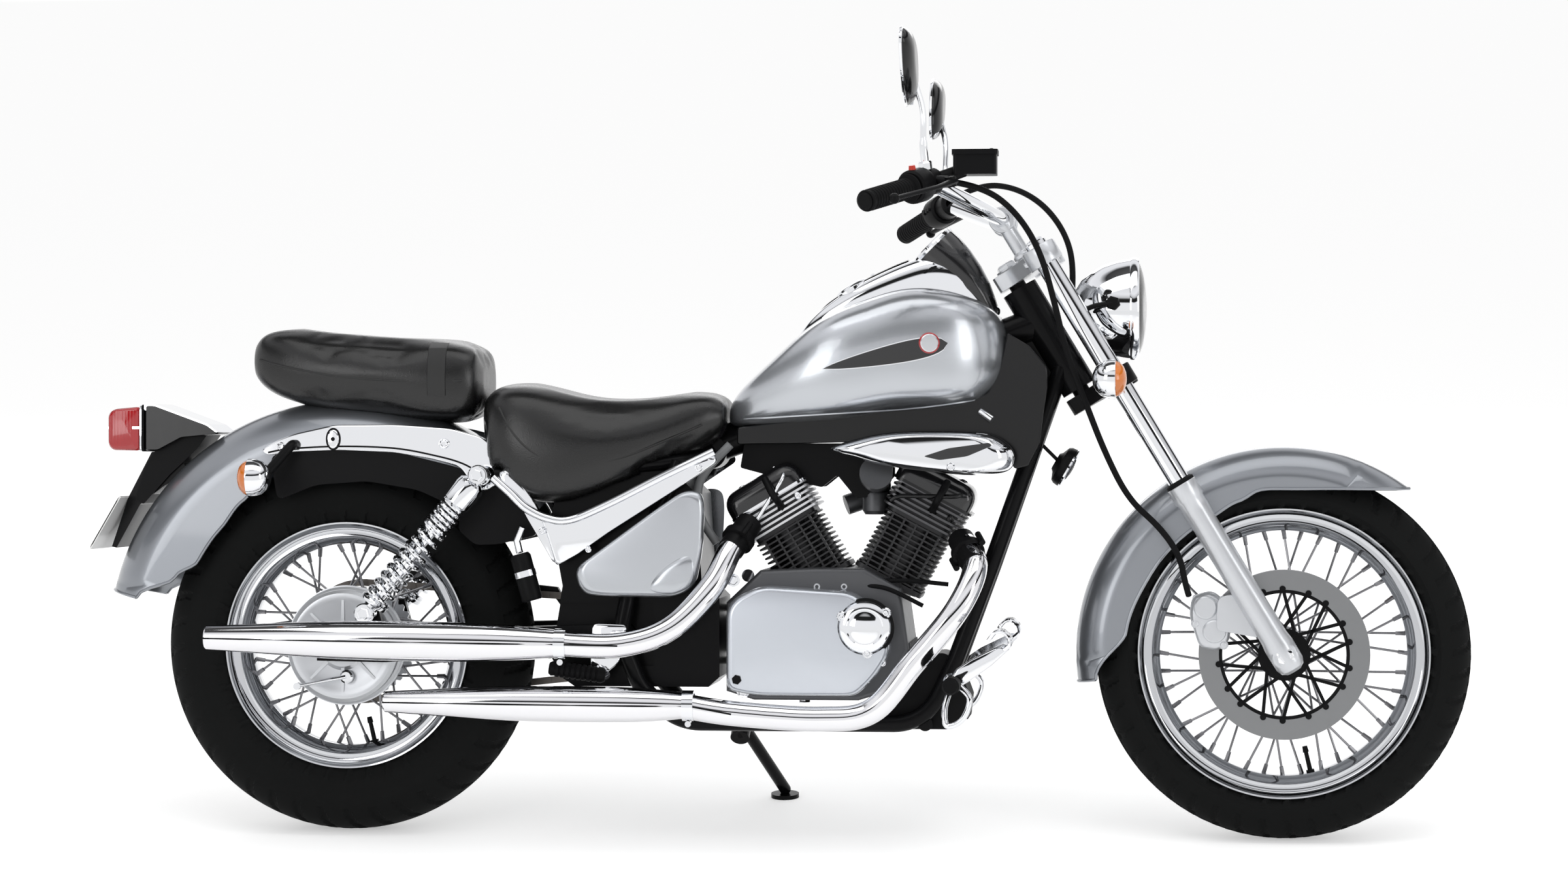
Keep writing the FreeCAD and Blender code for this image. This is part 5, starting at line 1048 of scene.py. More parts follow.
@dataclass
class BrakeDisc:
    """Front disc ring on a black spoked carrier."""

    centre: Vector
    outer: float = 137.0
    inner: float = 101.0
    place: float = 65.0
    thick: float = 5.0
    arms: int = 9

    def build(self) -> None:
        """Make ring, carrier and bolts."""
        back, front = -self.place + self.thick / 2, -self.place - self.thick / 2
        ring = turned([(self.inner, front + 0.5), (self.inner + 0.8, front),
                       (self.outer - 0.8, front), (self.outer, front + 0.5),
                       (self.outer, back - 0.5), (self.outer - 0.8, back),
                       (self.inner + 0.8, back), (self.inner, back - 0.5)],
                      self.centre, LEFT, 120, closed=True).mesh("brake_disc", Paint.DISC)
        arms = REPEAT.ring(self.arm(front, back), self.arms, self.centre, LEFT,
                           Paint.BLACK.material())
        hub = turned([(10, front - 1), (30, front - 1), (42, front + 1), (42, back - 1),
                      (30, back + 8), (24, -50.2), (10, -50.2)],
                     self.centre, LEFT, 60, closed=True)
        hub.add(turned(band(self.inner - 2, self.inner + 3.5, front - 0.4, back), self.centre,
                       LEFT, 96, closed=True))
        hub = hub.mesh("disc_hub", Paint.BLACK)
        publish(join([ring, arms, hub], "brake_disc"), "brake_disc", Body.FRONT_WHEEL,
                Paint.DISC, ["brake_disc"])

    def arm(self, front: float, back: float) -> Shape:
        """One crossed pair of carrier spokes with their rivets."""
        def at(reach: float, across: float) -> Vector:
            return self.centre + AHEAD * reach + UP * across + LEFT * front

        depth = LEFT * (back - front)
        blades = Shape()
        for side in (-1, 1):
            foot, tip = side * 11, -side * 21
            blades.add(slab([at(36, foot - 3), at(36, foot + 3), at(self.inner + 4, tip + 3),
                             at(self.inner + 4, tip - 3)], depth + LEFT * side * 0.4))
            rivet = at(self.inner + 3, tip)
            blades.add(turned(band(0, 5, -2.5, 2), rivet, LEFT, 20))
        return blades


# Fork, front fender and brake


@dataclass
class Fork:
    """Telescopic fork with its clamps, legs and caliper."""

    half: float = 98.0
    offset: float = STEER.offset
    tube_radius: float = 18.0
    leg_radius: float = 22.5
    leg_top: float = 320.0
    leg_foot: float = -26.0
    tube_top: float = 775.0
    clamps: tuple[float, float] = (517.0, 750.0)
    clamp_half: float = 16.0
    fender_bolts: tuple[float, float] = (255, 300)

    def stanchions(self) -> Shape:
        """Chrome tubes with their top caps."""
        shape = Shape()
        for side in (-1, 1):
            foot = STEER.at(200, self.offset, side * self.half)
            profile = button(self.tube_radius, 0, self.tube_top - 202, self.tube_radius - 2,
                             self.tube_top - 200)
            shape.add(turned(profile, foot, STEER.up, 40))
            cap = STEER.at(self.tube_top - 0.5, self.offset, side * self.half)
            shape.add(turned(button(15, 0, 3, 12, 5), cap, STEER.up, 6))
        return shape

    def clamp(self, place: float, wide: bool) -> Shape:
        """One clamp: rings round both tubes, a waisted bridge and pinch bolts."""
        shape = Shape()
        low = place - self.clamp_half
        for side in (-1, 1):
            foot = STEER.at(low, self.offset, side * self.half)
            deep = 2 * self.clamp_half
            shape.add(turned([(self.tube_radius, 0), (28, 0), (29, 2), (29, deep - 2), (28, deep),
                              (self.tube_radius, deep)], foot, STEER.up, 40, closed=True))
            shape.add(dome_screw(STEER.at(place, self.offset - 27, side * (self.half - 10)),
                                 -STEER.ahead, 6, 7))
        reach = self.offset
        half = [(-30, 0), (-26, 26), (0, 34), (reach - 34, self.half - 22), (reach - 20, self.half),
                (reach + 14, self.half), (reach + 22, self.half - 26), (reach + 10, 40),
                (reach + 6, 0)]
        line = [STEER.at(low + 3, ahead, left) for ahead, left in half]
        line += [STEER.at(low + 3, ahead, -left) for ahead, left in reversed(half[1:-1])]
        shape.add(slab(smooth_path(line, 3, closed=True), STEER.up * (2 * self.clamp_half - 6)))
        if wide:
            top = STEER.at(place + self.clamp_half - 1, 0)
            shape.add(turned(button(17, 0, 8, 14, 11), top, STEER.up, 6),
                      turned(band(14, 20, 0, 3), top, STEER.up, 40, closed=True))
        return shape

    def legs(self) -> Shape:
        """Cast lower legs with collars, axle lugs and drain screws."""
        shape = Shape()
        length = self.leg_top - self.leg_foot
        for side in (-1, 1):
            foot = STEER.at(self.leg_foot, self.offset, side * self.half)
            profile = [(0, -3), (12, -3), (20, 2), (24, 12), (24.5, 44), (22.5, 60),
                       (21.5, length - 70), (22.5, length - 50), (22.5, length - 30),
                       (25, length - 26), (25, length), (19, length), (19, length - 40),
                       (0, length - 40)]
            shape.add(turned(profile, foot, STEER.up, 44))
            centre = FRONT_AXLE + LEFT * side * self.half
            lug = [(0, -20), (19, -20), (22, -17), (22, 17), (19, 20), (0, 20)]
            shape.add(turned(lug, centre, LEFT, 36))
            shape.add(rod(STEER.at(6, 46, side * self.half), STEER.at(6, 78, side * self.half), 9))
        shape.add(sheet([(1430, 342), (1500, 330), (1502, 372), (1478, 396), (1450, 400),
                         (1432, 392)], 8, 4 - self.half, 11))
        for side in (-1, 1):
            face = self.half - self.leg_radius - 4
            for along in self.fender_bolts:
                inner = STEER.at(along, self.offset, side * face)
                shape.add(rod(inner, inner + LEFT * side * 10, 8))
        return shape

    def axle(self) -> Shape:
        """Front axle with its nut and head."""
        reach = self.half + self.leg_radius
        shape = rod(FRONT_AXLE - LEFT * (reach + 1), FRONT_AXLE + LEFT * (reach + 1), 9)
        shape.add(turned(button(15, 0, 3, 13, 4), FRONT_AXLE - LEFT * (self.half + 19), -LEFT, 6))
        shape.add(turned(band(0, 13, 0, 4), FRONT_AXLE + LEFT * (self.half + 19), LEFT, 6))
        return shape

    def caliper(self) -> Shape:
        """Two-piston caliper body with its bridge, cylinders and bolts."""
        x, z, place = FRONT_AXLE.x, FRONT_AXLE.z, -65.0
        line = bent([(x - 152, z + 62), (x - 147, z + 94), (x - 114, z + 103), (x - 88, z + 80),
                     (x - 86, z + 24), (x - 104, z + 5), (x - 136, z + 11)], 12)
        outer = pillow(side_view(line, place - 8), LEFT * -14, 0.22)
        inner = slab(side_view(line, place + 8), LEFT * 12)
        bridge = sheet([(x - 151, z + 62), (x - 146, z + 95), (x - 138, z + 96),
                        (x - 141, z + 60)], 3, place - 10, 20)
        shape = Shape().add(outer, inner, bridge)
        for dx, dz in ((-126, 76), (-112, 38)):
            shape.add(turned(button(19, 0, 3, 16, 5), (x + dx, place - 20, z + dz), -LEFT, 32))
        for dx, dz in ((-98, 88), (-97, 16), (-142, 50)):
            shape.add(bolt((x + dx, place - 19, z + dz), -LEFT, 5.5))
        return shape

    def build(self) -> None:
        """Make the fork's pieces."""
        publish(self.stanchions(), "fork_tubes", Body.STEERING, Paint.CHROME)
        upper = self.clamp(self.clamps[1], True)
        lower = self.clamp(self.clamps[0], False)
        stem = rod(STEER.at(self.clamps[0], 0), STEER.at(self.clamps[1], 0), 14)
        arm = rod(STEER.at(self.clamps[0] + 8, self.offset + 8), (1253, 0, 788), 9)
        publish(upper, "upper_clamp", Body.STEERING, Paint.ALLOY, ["fork_upper"], bevel=1.0)
        publish(Shape().add(lower, stem, arm), "lower_clamp", Body.STEERING, Paint.BLACK, bevel=1.0)
        publish(self.legs(), "fork_legs", Body.STEERING, Paint.ALLOY, ["fork_lowers"], bevel=0.8)
        publish(self.axle(), "front_axle", Body.STEERING, Paint.CHROME, bevel=0.5)
        seals = Shape().add(*[turned([(18.3, 0), (24, 0), (24, 5), (20, 8), (18.3, 8)],
                                     STEER.at(self.leg_top, self.offset, side * self.half),
                                     STEER.up, 40, closed=True) for side in (-1, 1)])
        publish(seals, "fork_seals", Body.STEERING, Paint.RUBBER)
        publish(self.caliper(), "caliper_body", Body.STEERING, Paint.ALLOY, ["brake_caliper"],
                bevel=1.2)


@dataclass
class Fender:
    """Fender shell swept round an axle, its hem's radius set by a function of the turn.

    Turns are degrees from straight ahead; the shell runs from the first to the last.
    """

    name: str
    body: Body
    centre: Vector
    finish: Finish
    crown: float
    half: float
    wall: float
    round_off: float
    first: float
    last: float
    hem: Callable[[float], float]
    steps: int = 72
    bead: float = 2.6
    squareness: float = 1.15

    def section(self, turn: float) -> list[tuple[float, float]]:
        """Outer skin then inner skin at a turn, as (radius, left)."""
        hem = self.hem(turn)
        outer = self._skin(self.crown, self.half, hem, self.round_off)
        inner = self._skin(self.crown - self.wall, self.half - self.wall, hem,
                           self.round_off - self.wall)
        return outer + list(reversed(inner))

    def _skin(self, crown: float, half: float, hem: float,
              bend: float) -> list[tuple[float, float]]:
        """One skin from its right hem over the crown to its left hem."""
        shoulder = crown - bend
        rise = max(0.0, min(0.98, (hem - shoulder) / bend))
        start = math.asin(rise ** (1 / self.squareness))
        low = min(hem, shoulder)
        walls = 6 if hem < shoulder else 0
        line = [(low + (shoulder - low) * k / 6, -half) for k in range(walls)]
        for step in range(17 - walls):
            angle = start + (math.pi / 2 - start) * step / (16 - walls)
            line.append((crown - bend * (1 - math.sin(angle) ** self.squareness),
                         -half + bend * (1 - math.cos(angle) ** self.squareness)))
        return line + [(crown, 0.0)] + [(r, -y) for r, y in reversed(line)]

    def build(self, replaces: Sequence[str]) -> None:
        """Make the shell with a rolled bead along its hem and ends."""
        rings = []
        for step in range(self.steps + 1):
            turn = math.radians(self.first + (self.last - self.first) * step / self.steps)
            out = outward(turn)
            rings.append([self.centre + out * r + LEFT * y
                          for r, y in self.section(math.degrees(turn))])
        shell = skin(rings)
        width = len(rings[0]) // 2
        for place in (0, width - 1):
            shell.add(tube([ring[place] for ring in rings], self.bead, 8))
        for ring in (rings[0], rings[-1]):
            shell.add(tube(ring[:width], self.bead, 8))
        publish(shell, self.name, self.body, self.finish, replaces)


def blend_steps(table: Pairs) -> Callable[[float], float]:
    """Smooth function through (turn, value) pairs, in rising turns."""
    def value(turn: float) -> float:
        """Value at a turn, eased between the table's neighbours."""
        if turn <= table[0][0]:
            return table[0][1]
        for (low, start), (high, end) in zip(table, table[1:]):
            if turn <= high:
                t = (turn - low) / (high - low)
                return start + (end - start) * t * t * (3 - 2 * t)
        return table[-1][1]
    return value


class FrontFender:
    """Deep front fender with its screws."""

    def build(self) -> None:
        """Make the shell, whose skirts are high ahead of the fork and deep behind it."""
        flat = [(turn, 267 / math.sin(math.radians(turn))) for turn in range(53, 96, 2)]
        hem = blend_steps(flat + [(98, 268), (106, 258), (118, 250), (150, 250), (172, 256),
                                  (188, 305)])
        Fender("front_fender_shell", Body.STEERING, FRONT_AXLE, Paint.FENDER, 335, 71, 3, 50,
               53, 188, hem).build(["front_fender"])
        screws = Shape()
        for side in (-1, 1):
            for along in Fork.fender_bolts:
                place = STEER.at(along, STEER.offset, side * 64)
                screws.add(dome_screw(place, -LEFT * side, 7, 4))
        publish(screws, "fender_screws", Body.STEERING, Paint.CHROME)


# Lamps and signals


@dataclass
class Headlamp:
    """Round headlamp with a chrome bowl, rim, reflector and fluted glass."""

    centre: Vector = Vector((1298, 0, 862))
    radius: float = 84.0
    depth: float = 100.0

    def build(self) -> None:
        """Make bowl, rim, reflector, bulb cap, glass and brackets."""
        r, d = self.radius, self.depth
        bowl = [(0, -d + 1), (r * 0.2, -d * 0.985), (r * 0.38, -d * 0.94), (r * 0.56, -d * 0.85),
                (r * 0.72, -d * 0.70), (r * 0.85, -d * 0.50), (r * 0.93, -d * 0.28),
                (r * 0.965, -d * 0.1), (r * 0.97, -2), (r * 0.91, -2), (r * 0.86, -d * 0.2),
                (r * 0.6, -d * 0.55), (0, -d * 0.7)]
        rim = [(r * 0.93, -5), (r * 0.985, -6), (r, -3), (r, 4), (r * 0.975, 8), (r * 0.93, 9),
               (r * 0.915, 6), (r * 0.915, -2)]
        mirror = [(0, -d * 0.5), (r * 0.16, -d * 0.5), (r * 0.4, -d * 0.42), (r * 0.62, -d * 0.3),
                  (r * 0.8, -d * 0.14), (r * 0.91, 2), (r * 0.92, 3), (r * 0.8, -d * 0.17),
                  (r * 0.6, -d * 0.34), (r * 0.38, -d * 0.46), (0, -d * 0.54)]
        bulb = turned([(0, -d * 0.5), (13, -d * 0.5), (13, -d * 0.3), (11, -d * 0.26),
                       (0, -d * 0.24)], self.centre, AHEAD, 32)
        glass = [(0, 21), (r * 0.25, 20.4), (r * 0.5, 18), (r * 0.7, 14.6), (r * 0.86, 10),
                 (r * 0.91, 7.5), (r * 0.91, 4.5), (r * 0.85, 7), (r * 0.7, 11), (r * 0.5, 14.4),
                 (r * 0.25, 16.8), (0, 17.4)]
        lens = turned(glass, self.centre, AHEAD, 96)
        publish_all(
            Body.STEERING,
            (turned(bowl, self.centre, AHEAD, 72), "lamp_bowl", Paint.CHROME, "headlight_shell"),
            (turned(rim, self.centre, AHEAD, 96, closed=True), "lamp_rim", Paint.CHROME),
            (turned(mirror, self.centre, AHEAD, 72), "lamp_reflector", Paint.BOWL),
            (bulb, "lamp_bulb", Paint.CHROME),
            (lens, "lamp_lens", Paint.GLASS, "headlight_lens"))
        ears = Shape()
        for side in (-1, 1):
            root = STEER.at(640, STEER.offset, side * 78)
            tip = self.centre + Vector((-34, side * 79, 6))
            ears.add(tube(bent_path([root, root + STEER.ahead * 26, tip + LEFT * side * 2,
                                     tip - LEFT * side * 3], 14, 5), 6, 12, flat=0.7))
            ears.add(turned(button(12, -3, 3, 9, 6), tip, LEFT * side, 6))
        publish(ears, "lamp_ears", Body.STEERING, Paint.BLACK, bevel=0.6)


@dataclass
class Signals:
    """Pair of bullet turn signals."""

    name: str
    body: Body
    centre: Vector
    facing: Vector
    root: Vector
    node: str
    radius: float = 31.0

    def build(self) -> None:
        """Make bodies, lenses and stalks on both sides."""
        r = self.radius
        bowl = [(0, -23), (r * 0.3, -22), (r * 0.62, -17), (r * 0.86, -9), (r * 0.97, 1), (r, 8),
                (r, 13), (r * 0.94, 14), (r * 0.9, 12), (0, 10)]
        lens = [(0, 11), (r * 0.9, 11), (r * 0.93, 14), (r * 0.86, 20), (r * 0.66, 26.5),
                (r * 0.35, 30.5), (0, 32)]
        axis = self.facing
        body = turned(bowl, self.centre, axis, 48).both_sides()
        publish(body, self.name, self.body, Paint.CHROME, [self.node])
        glass = turned(lens, self.centre, axis, 48).both_sides()
        publish(glass, self.name + "_lenses", self.body, Paint.AMBER)
        start = self.centre - LEFT * (r * 0.9)
        way = bent_path([self.root, self.root + LEFT * 16, start - LEFT * 14, start + LEFT * 5],
                        14, 5)
        stalk = Shape().add(tube(way, 8, 20), tube(way[-3:], 10.5, 20))
        publish(stalk.both_sides(), self.name + "_stalks", self.body, Paint.BLACK)


# Handlebar


@dataclass
class Handlebar:
    """Chrome handlebar with risers, grips, controls and mirrors."""

    height: float = 836.0
    lead: float = 34.0
    half: float = 445.0
    radius: float = 12.5
    grip: float = 128.0
    riser_foot: float = 766.4

    def points(self) -> list[Vector]:
        """Centre line from the middle to the left end."""
        middle = STEER.at(self.height, self.lead)
        return [middle + Vector(offset) for offset in
                ((0, 0, 0), (0, 78, 0), (-22, 160, 9), (-104, self.half - 160, 46),
                 (-192, self.half, 6))]

    def axes(self) -> tuple[Vector, Vector, Vector, Vector]:
        """Left end with its directions: inboard, ahead and up."""
        points = self.points()
        back = (points[-2] - points[-1]).normalized()
        ahead = UP.cross(back).normalized()
        return points[-1], back, ahead, back.cross(ahead).normalized()

    def bar(self) -> Shape:
        """Bent tube with open ends."""
        points = self.points()
        whole = [(p.x, -p.y, p.z) for p in reversed(points[1:])] + points[1:]
        return tube(bent_path(whole, 34, 8), self.radius, 28)

    def plugs(self) -> Shape:
        """Black caps in the bar's ends."""
        end, back, _, _ = self.axes()
        return turned([(0, 0.2), (12, 0.2), (14, -2), (11, -4), (0, -4)], end, back,
                      28).both_sides()

    def risers(self) -> Shape:
        """Two risers with split caps and their bolts."""
        shape = Shape()
        for left in (-50, 50):
            foot = STEER.at(self.riser_foot, self.lead, left)
            rise = self.height - self.riser_foot
            shape.add(turned([(0, 0), (17, 0), (17, 5), (13, 10), (13, rise - 20), (16, rise - 10),
                              (16, rise), (0, rise)], foot, STEER.up, 32))
            centre = STEER.at(self.height, self.lead, left)
            shape.add(turned([(self.radius, -13), (20, -13), (21.5, -11), (21.5, 11), (20, 13),
                              (self.radius, 13)], centre, LEFT, 40, closed=True))
            for ahead in (-14, 14):
                top = STEER.at(self.height + 14, self.lead + ahead, left)
                shape.add(dome_screw(top, STEER.up, 6, 6))
        return shape

    def grips(self, finish: Finish) -> bpy.types.Mesh:
        """Ribbed rubber grips with a flange at the inner end."""
        end, back, _, _ = self.axes()
        profile = [(self.radius + 0.3, 0), (15.5, 0), (17, 3), (16.2, 8), (16.2, self.grip - 6),
                   (22, self.grip - 4), (22, self.grip - 1), (self.radius + 0.3, self.grip - 1)]
        sleeve = turned(profile, end, back, 36, closed=True)
        rib = turned([(15.6, 0), (17.1, 0.7), (17.1, 3.0), (15.6, 3.7)], end + back * 12, back, 36,
                     closed=True)
        away = Vector((back.x, -back.y, back.z))
        return join([sleeve.both_sides().mesh("grip", finish),
                     REPEAT.row(rib, 14, back * 7.6, finish.material()),
                     REPEAT.row(rib.mirrored(), 14, away * 7.6, finish.material())], "grips")

    def lever(self) -> Shape:
        """Curved hand lever with a ball end."""
        end, back, ahead, _ = self.axes()
        pivot = end + back * (self.grip + 51) + ahead * 46
        path = smooth_path([pivot + back * 4, pivot - back * 24 + ahead * 6,
                            pivot - back * 60 + ahead * 9, pivot - back * 120 + ahead * 2,
                            pivot - back * 165 - ahead * 2], 6)
        count = len(path)
        radii = [9 - 3.2 * min(1, 2.2 * k / count) for k in range(count)]
        return tube(path, radii, 16, flat=0.62).add(ball(path[-1], 8.4))

    def switch_box(self, right: bool) -> Shape:
        """Two-piece switch box with buttons."""
        end, back, ahead, rise = self.axes()
        place = end + back * (self.grip + 3.3)
        profile = [(self.radius, 0), (23, 0), (26.5, 3), (27, 8), (27, 30), (26, 35), (22, 38),
                   (self.radius, 38)]
        box = turned(profile, place, back, 36, closed=True)
        box.add(turned([(self.radius, 38), (19, 38), (21, 43), (21, 66), (19, 68),
                        (self.radius, 68)], place, back, 32, closed=True))
        arm = tube([place + back * 52 + ahead * 10, place + back * 49 + ahead * 40], [11, 9], 20)
        box.add(arm, turned(band(0, 9, -8, 8), place + back * 48 + ahead * 44, rise, 24))
        for reach, size in ((10, 6), (22, 5), (30, 4)):
            box.add(rod(place + back * reach - ahead * 20, place + back * reach - ahead * 30, size,
                        size - 1, 14))
        if right:
            box.add(self.reservoir(), rod(place + back * 55, (1034, 268, 1070), 11))
        return box

    @staticmethod
    def reservoir() -> Shape:
        """Square brake reservoir with a screwed flat lid."""
        def corners(grow: float, height: float) -> list[Vector]:
            line = [(x, y, height) for x, y in
                    ((1018 - grow, 243 - grow), (1086 + grow, 243 - grow),
                     (1086 + grow, 293 + grow), (1018 - grow, 293 + grow))]
            return bent_path(line, 6, 4, closed=True)

        body = slab(corners(0, 1062), UP * 31).add(slab(corners(2, 1093), UP * 8))
        for x, y in ((1026, 252), (1078, 284)):
            body.add(dome_screw((x, y, 1101), UP, 3.5, 1.5))
        return body

    def mirrors(self) -> tuple[Shape, Shape, Shape, Shape]:
        """Stems, pointed shells, glass and rims of both mirrors."""
        end, back, _, rise = self.axes()
        foot = end + back * (self.grip + 53) + rise * 21.3
        head = Vector((954, 372, 1222))
        path = bent_path([foot, foot + rise * 40, head + Vector((20, -60, -62)),
                          head + Vector((3, -14, -4))], 26, 8)
        stem = tube(path, [6.5 if k < 6 else 5 for k in range(len(path))], 14)
        stem.add(turned(button(11, 0, 10, 8, 13), foot, rise, 6))
        outline = smooth_path(front_view([(-78, -32), (-60, -54), (-8, -46), (52, -12), (84, 30),
                                          (66, 52), (14, 56), (-40, 40), (-72, 6)], 0), 6,
                              closed=True)
        base = [head + Vector((-7, 0, 0)) + point for point in outline]
        shell = pillow(base, AHEAD * 20, 0.55, 7)
        glass = slab([head + Vector((-8, 0, 0)) + point * 0.93 for point in outline], -AHEAD * 1.2)
        rim = tube(base + [base[0]], 2.6, 8)
        rim.add(rod(head + Vector((0, -66, -50)), head + Vector((4, -40, -26)), 4, 9))
        return stem, shell, glass, rim

    def build(self) -> None:
        """Make everything on the handlebar."""
        publish_all(
            Body.STEERING,
            (self.bar(), "handlebar_tube", Paint.CHROME, "handlebar"),
            (self.plugs(), "bar_plugs", Paint.BLACK))
        publish(self.risers(), "bar_risers", Body.STEERING, Paint.ALLOY, bevel=0.8)
        publish(self.grips(Paint.RUBBER), "grip_sleeves", Body.STEERING, Paint.RUBBER, ["grips"])
        boxes = Shape().add(self.switch_box(False), self.switch_box(True).mirrored())
        publish(boxes, "switch_boxes", Body.STEERING, Paint.BLACK, ["hand_controls"], bevel=0.8)
        publish(self.lever().both_sides(), "hand_levers", Body.STEERING, Paint.BLACK)
        end, back, _, rise = self.axes()
        stop = end + back * (self.grip + 14) + rise * 26
        publish(rod(stop, stop + rise * 7, 6, 5, 16).mirrored(), "stop_switch", Body.STEERING,
                Paint.NEEDLE)
        stem, shell, glass, rim = self.mirrors()
        publish_all(
            Body.STEERING,
            (shell.both_sides(), "mirror_shells", Paint.GLOSS_METAL, "mirrors"),
            (rim.both_sides(), "mirror_rims", Paint.CHROME),
            (stem.both_sides(), "mirror_stems", Paint.CHROME),
            (glass.both_sides(), "mirror_glass", Paint.BOWL))


# Tank, console and covers


def section(across: float, low: float, high: float, fullness: float, place: float,
            count: int) -> list[Vector]:
    """Closed rounded section across the machine, squarer the higher its fullness."""
    middle, tall = (low + high) / 2, (high - low) / 2
    ring = []
    for step in range(count):
        angle = 2 * math.pi * (step + 0.5) / count
        side, lift = math.cos(angle), math.sin(angle)
        ring.append(Vector((place, math.copysign(abs(side) ** (1 / fullness), side) * across,
                            middle + math.copysign(abs(lift) ** (1 / fullness), lift) * tall)))
    return ring


def hull(stations: Sequence[tuple[float, float, float, float, float]], per: int = 8,
         count: int = 40) -> Shape:
    """Smooth body through (place, half width, low, high, fullness) stations."""
    path = smooth_path([Vector((place, half, low)) for place, half, low, _, _ in stations], per)
    more = smooth_path([Vector((high, full, 0)) for _, _, _, high, full in stations], per)
    rings = [section(max(a.y, 1), a.z, b.x, max(b.y, 1), a.x, count) for a, b in zip(path, more)]
    return skin(rounded_off(rings))


def rounded_off(rings: list[list[Vector]], reach: float = 5.0) -> list[list[Vector]]:
    """Rings with three smaller ones at each end, so that the body closes softly."""
    ends = []
    for end, near in ((rings[0], rings[1]), (rings[-1], rings[-2])):
        middle = sum(end, Vector()) / len(end)
        away = (middle - sum(near, Vector()) / len(near)).normalized() * reach
        ends.append([[middle + (point - middle) * share + away * out for point in end]
                     for share, out in ((0.86, 0.5), (0.62, 0.85), (0.3, 1.0))])
    return list(reversed(ends[0])) + rings + ends[1]


class Surface:
    """Side of a CAD node that thin parts are laid on."""

    def __init__(self, node: str) -> None:
        """Build the search tree of the node's mesh."""
        mesh = frame["nodes"][node].data
        points = [TO_BIKE @ vertex.co for vertex in mesh.vertices]
        self.tree = BVHTree.FromPolygons(points, [tuple(p.vertices) for p in mesh.polygons])

    def at(self, ahead: float, height: float, lift: float, side: float = -1.0) -> Vector:
        """Point on one side of the node, lifted off it."""
        start = Vector((ahead, side * 400, height))
        hit, normal, _, _ = self.tree.ray_cast(start, LEFT * -side)
        if hit is None:
            return Vector((ahead, side * 100, height))
        if normal.dot(LEFT * side) < 0:
            normal = -normal
        return hit + normal * lift


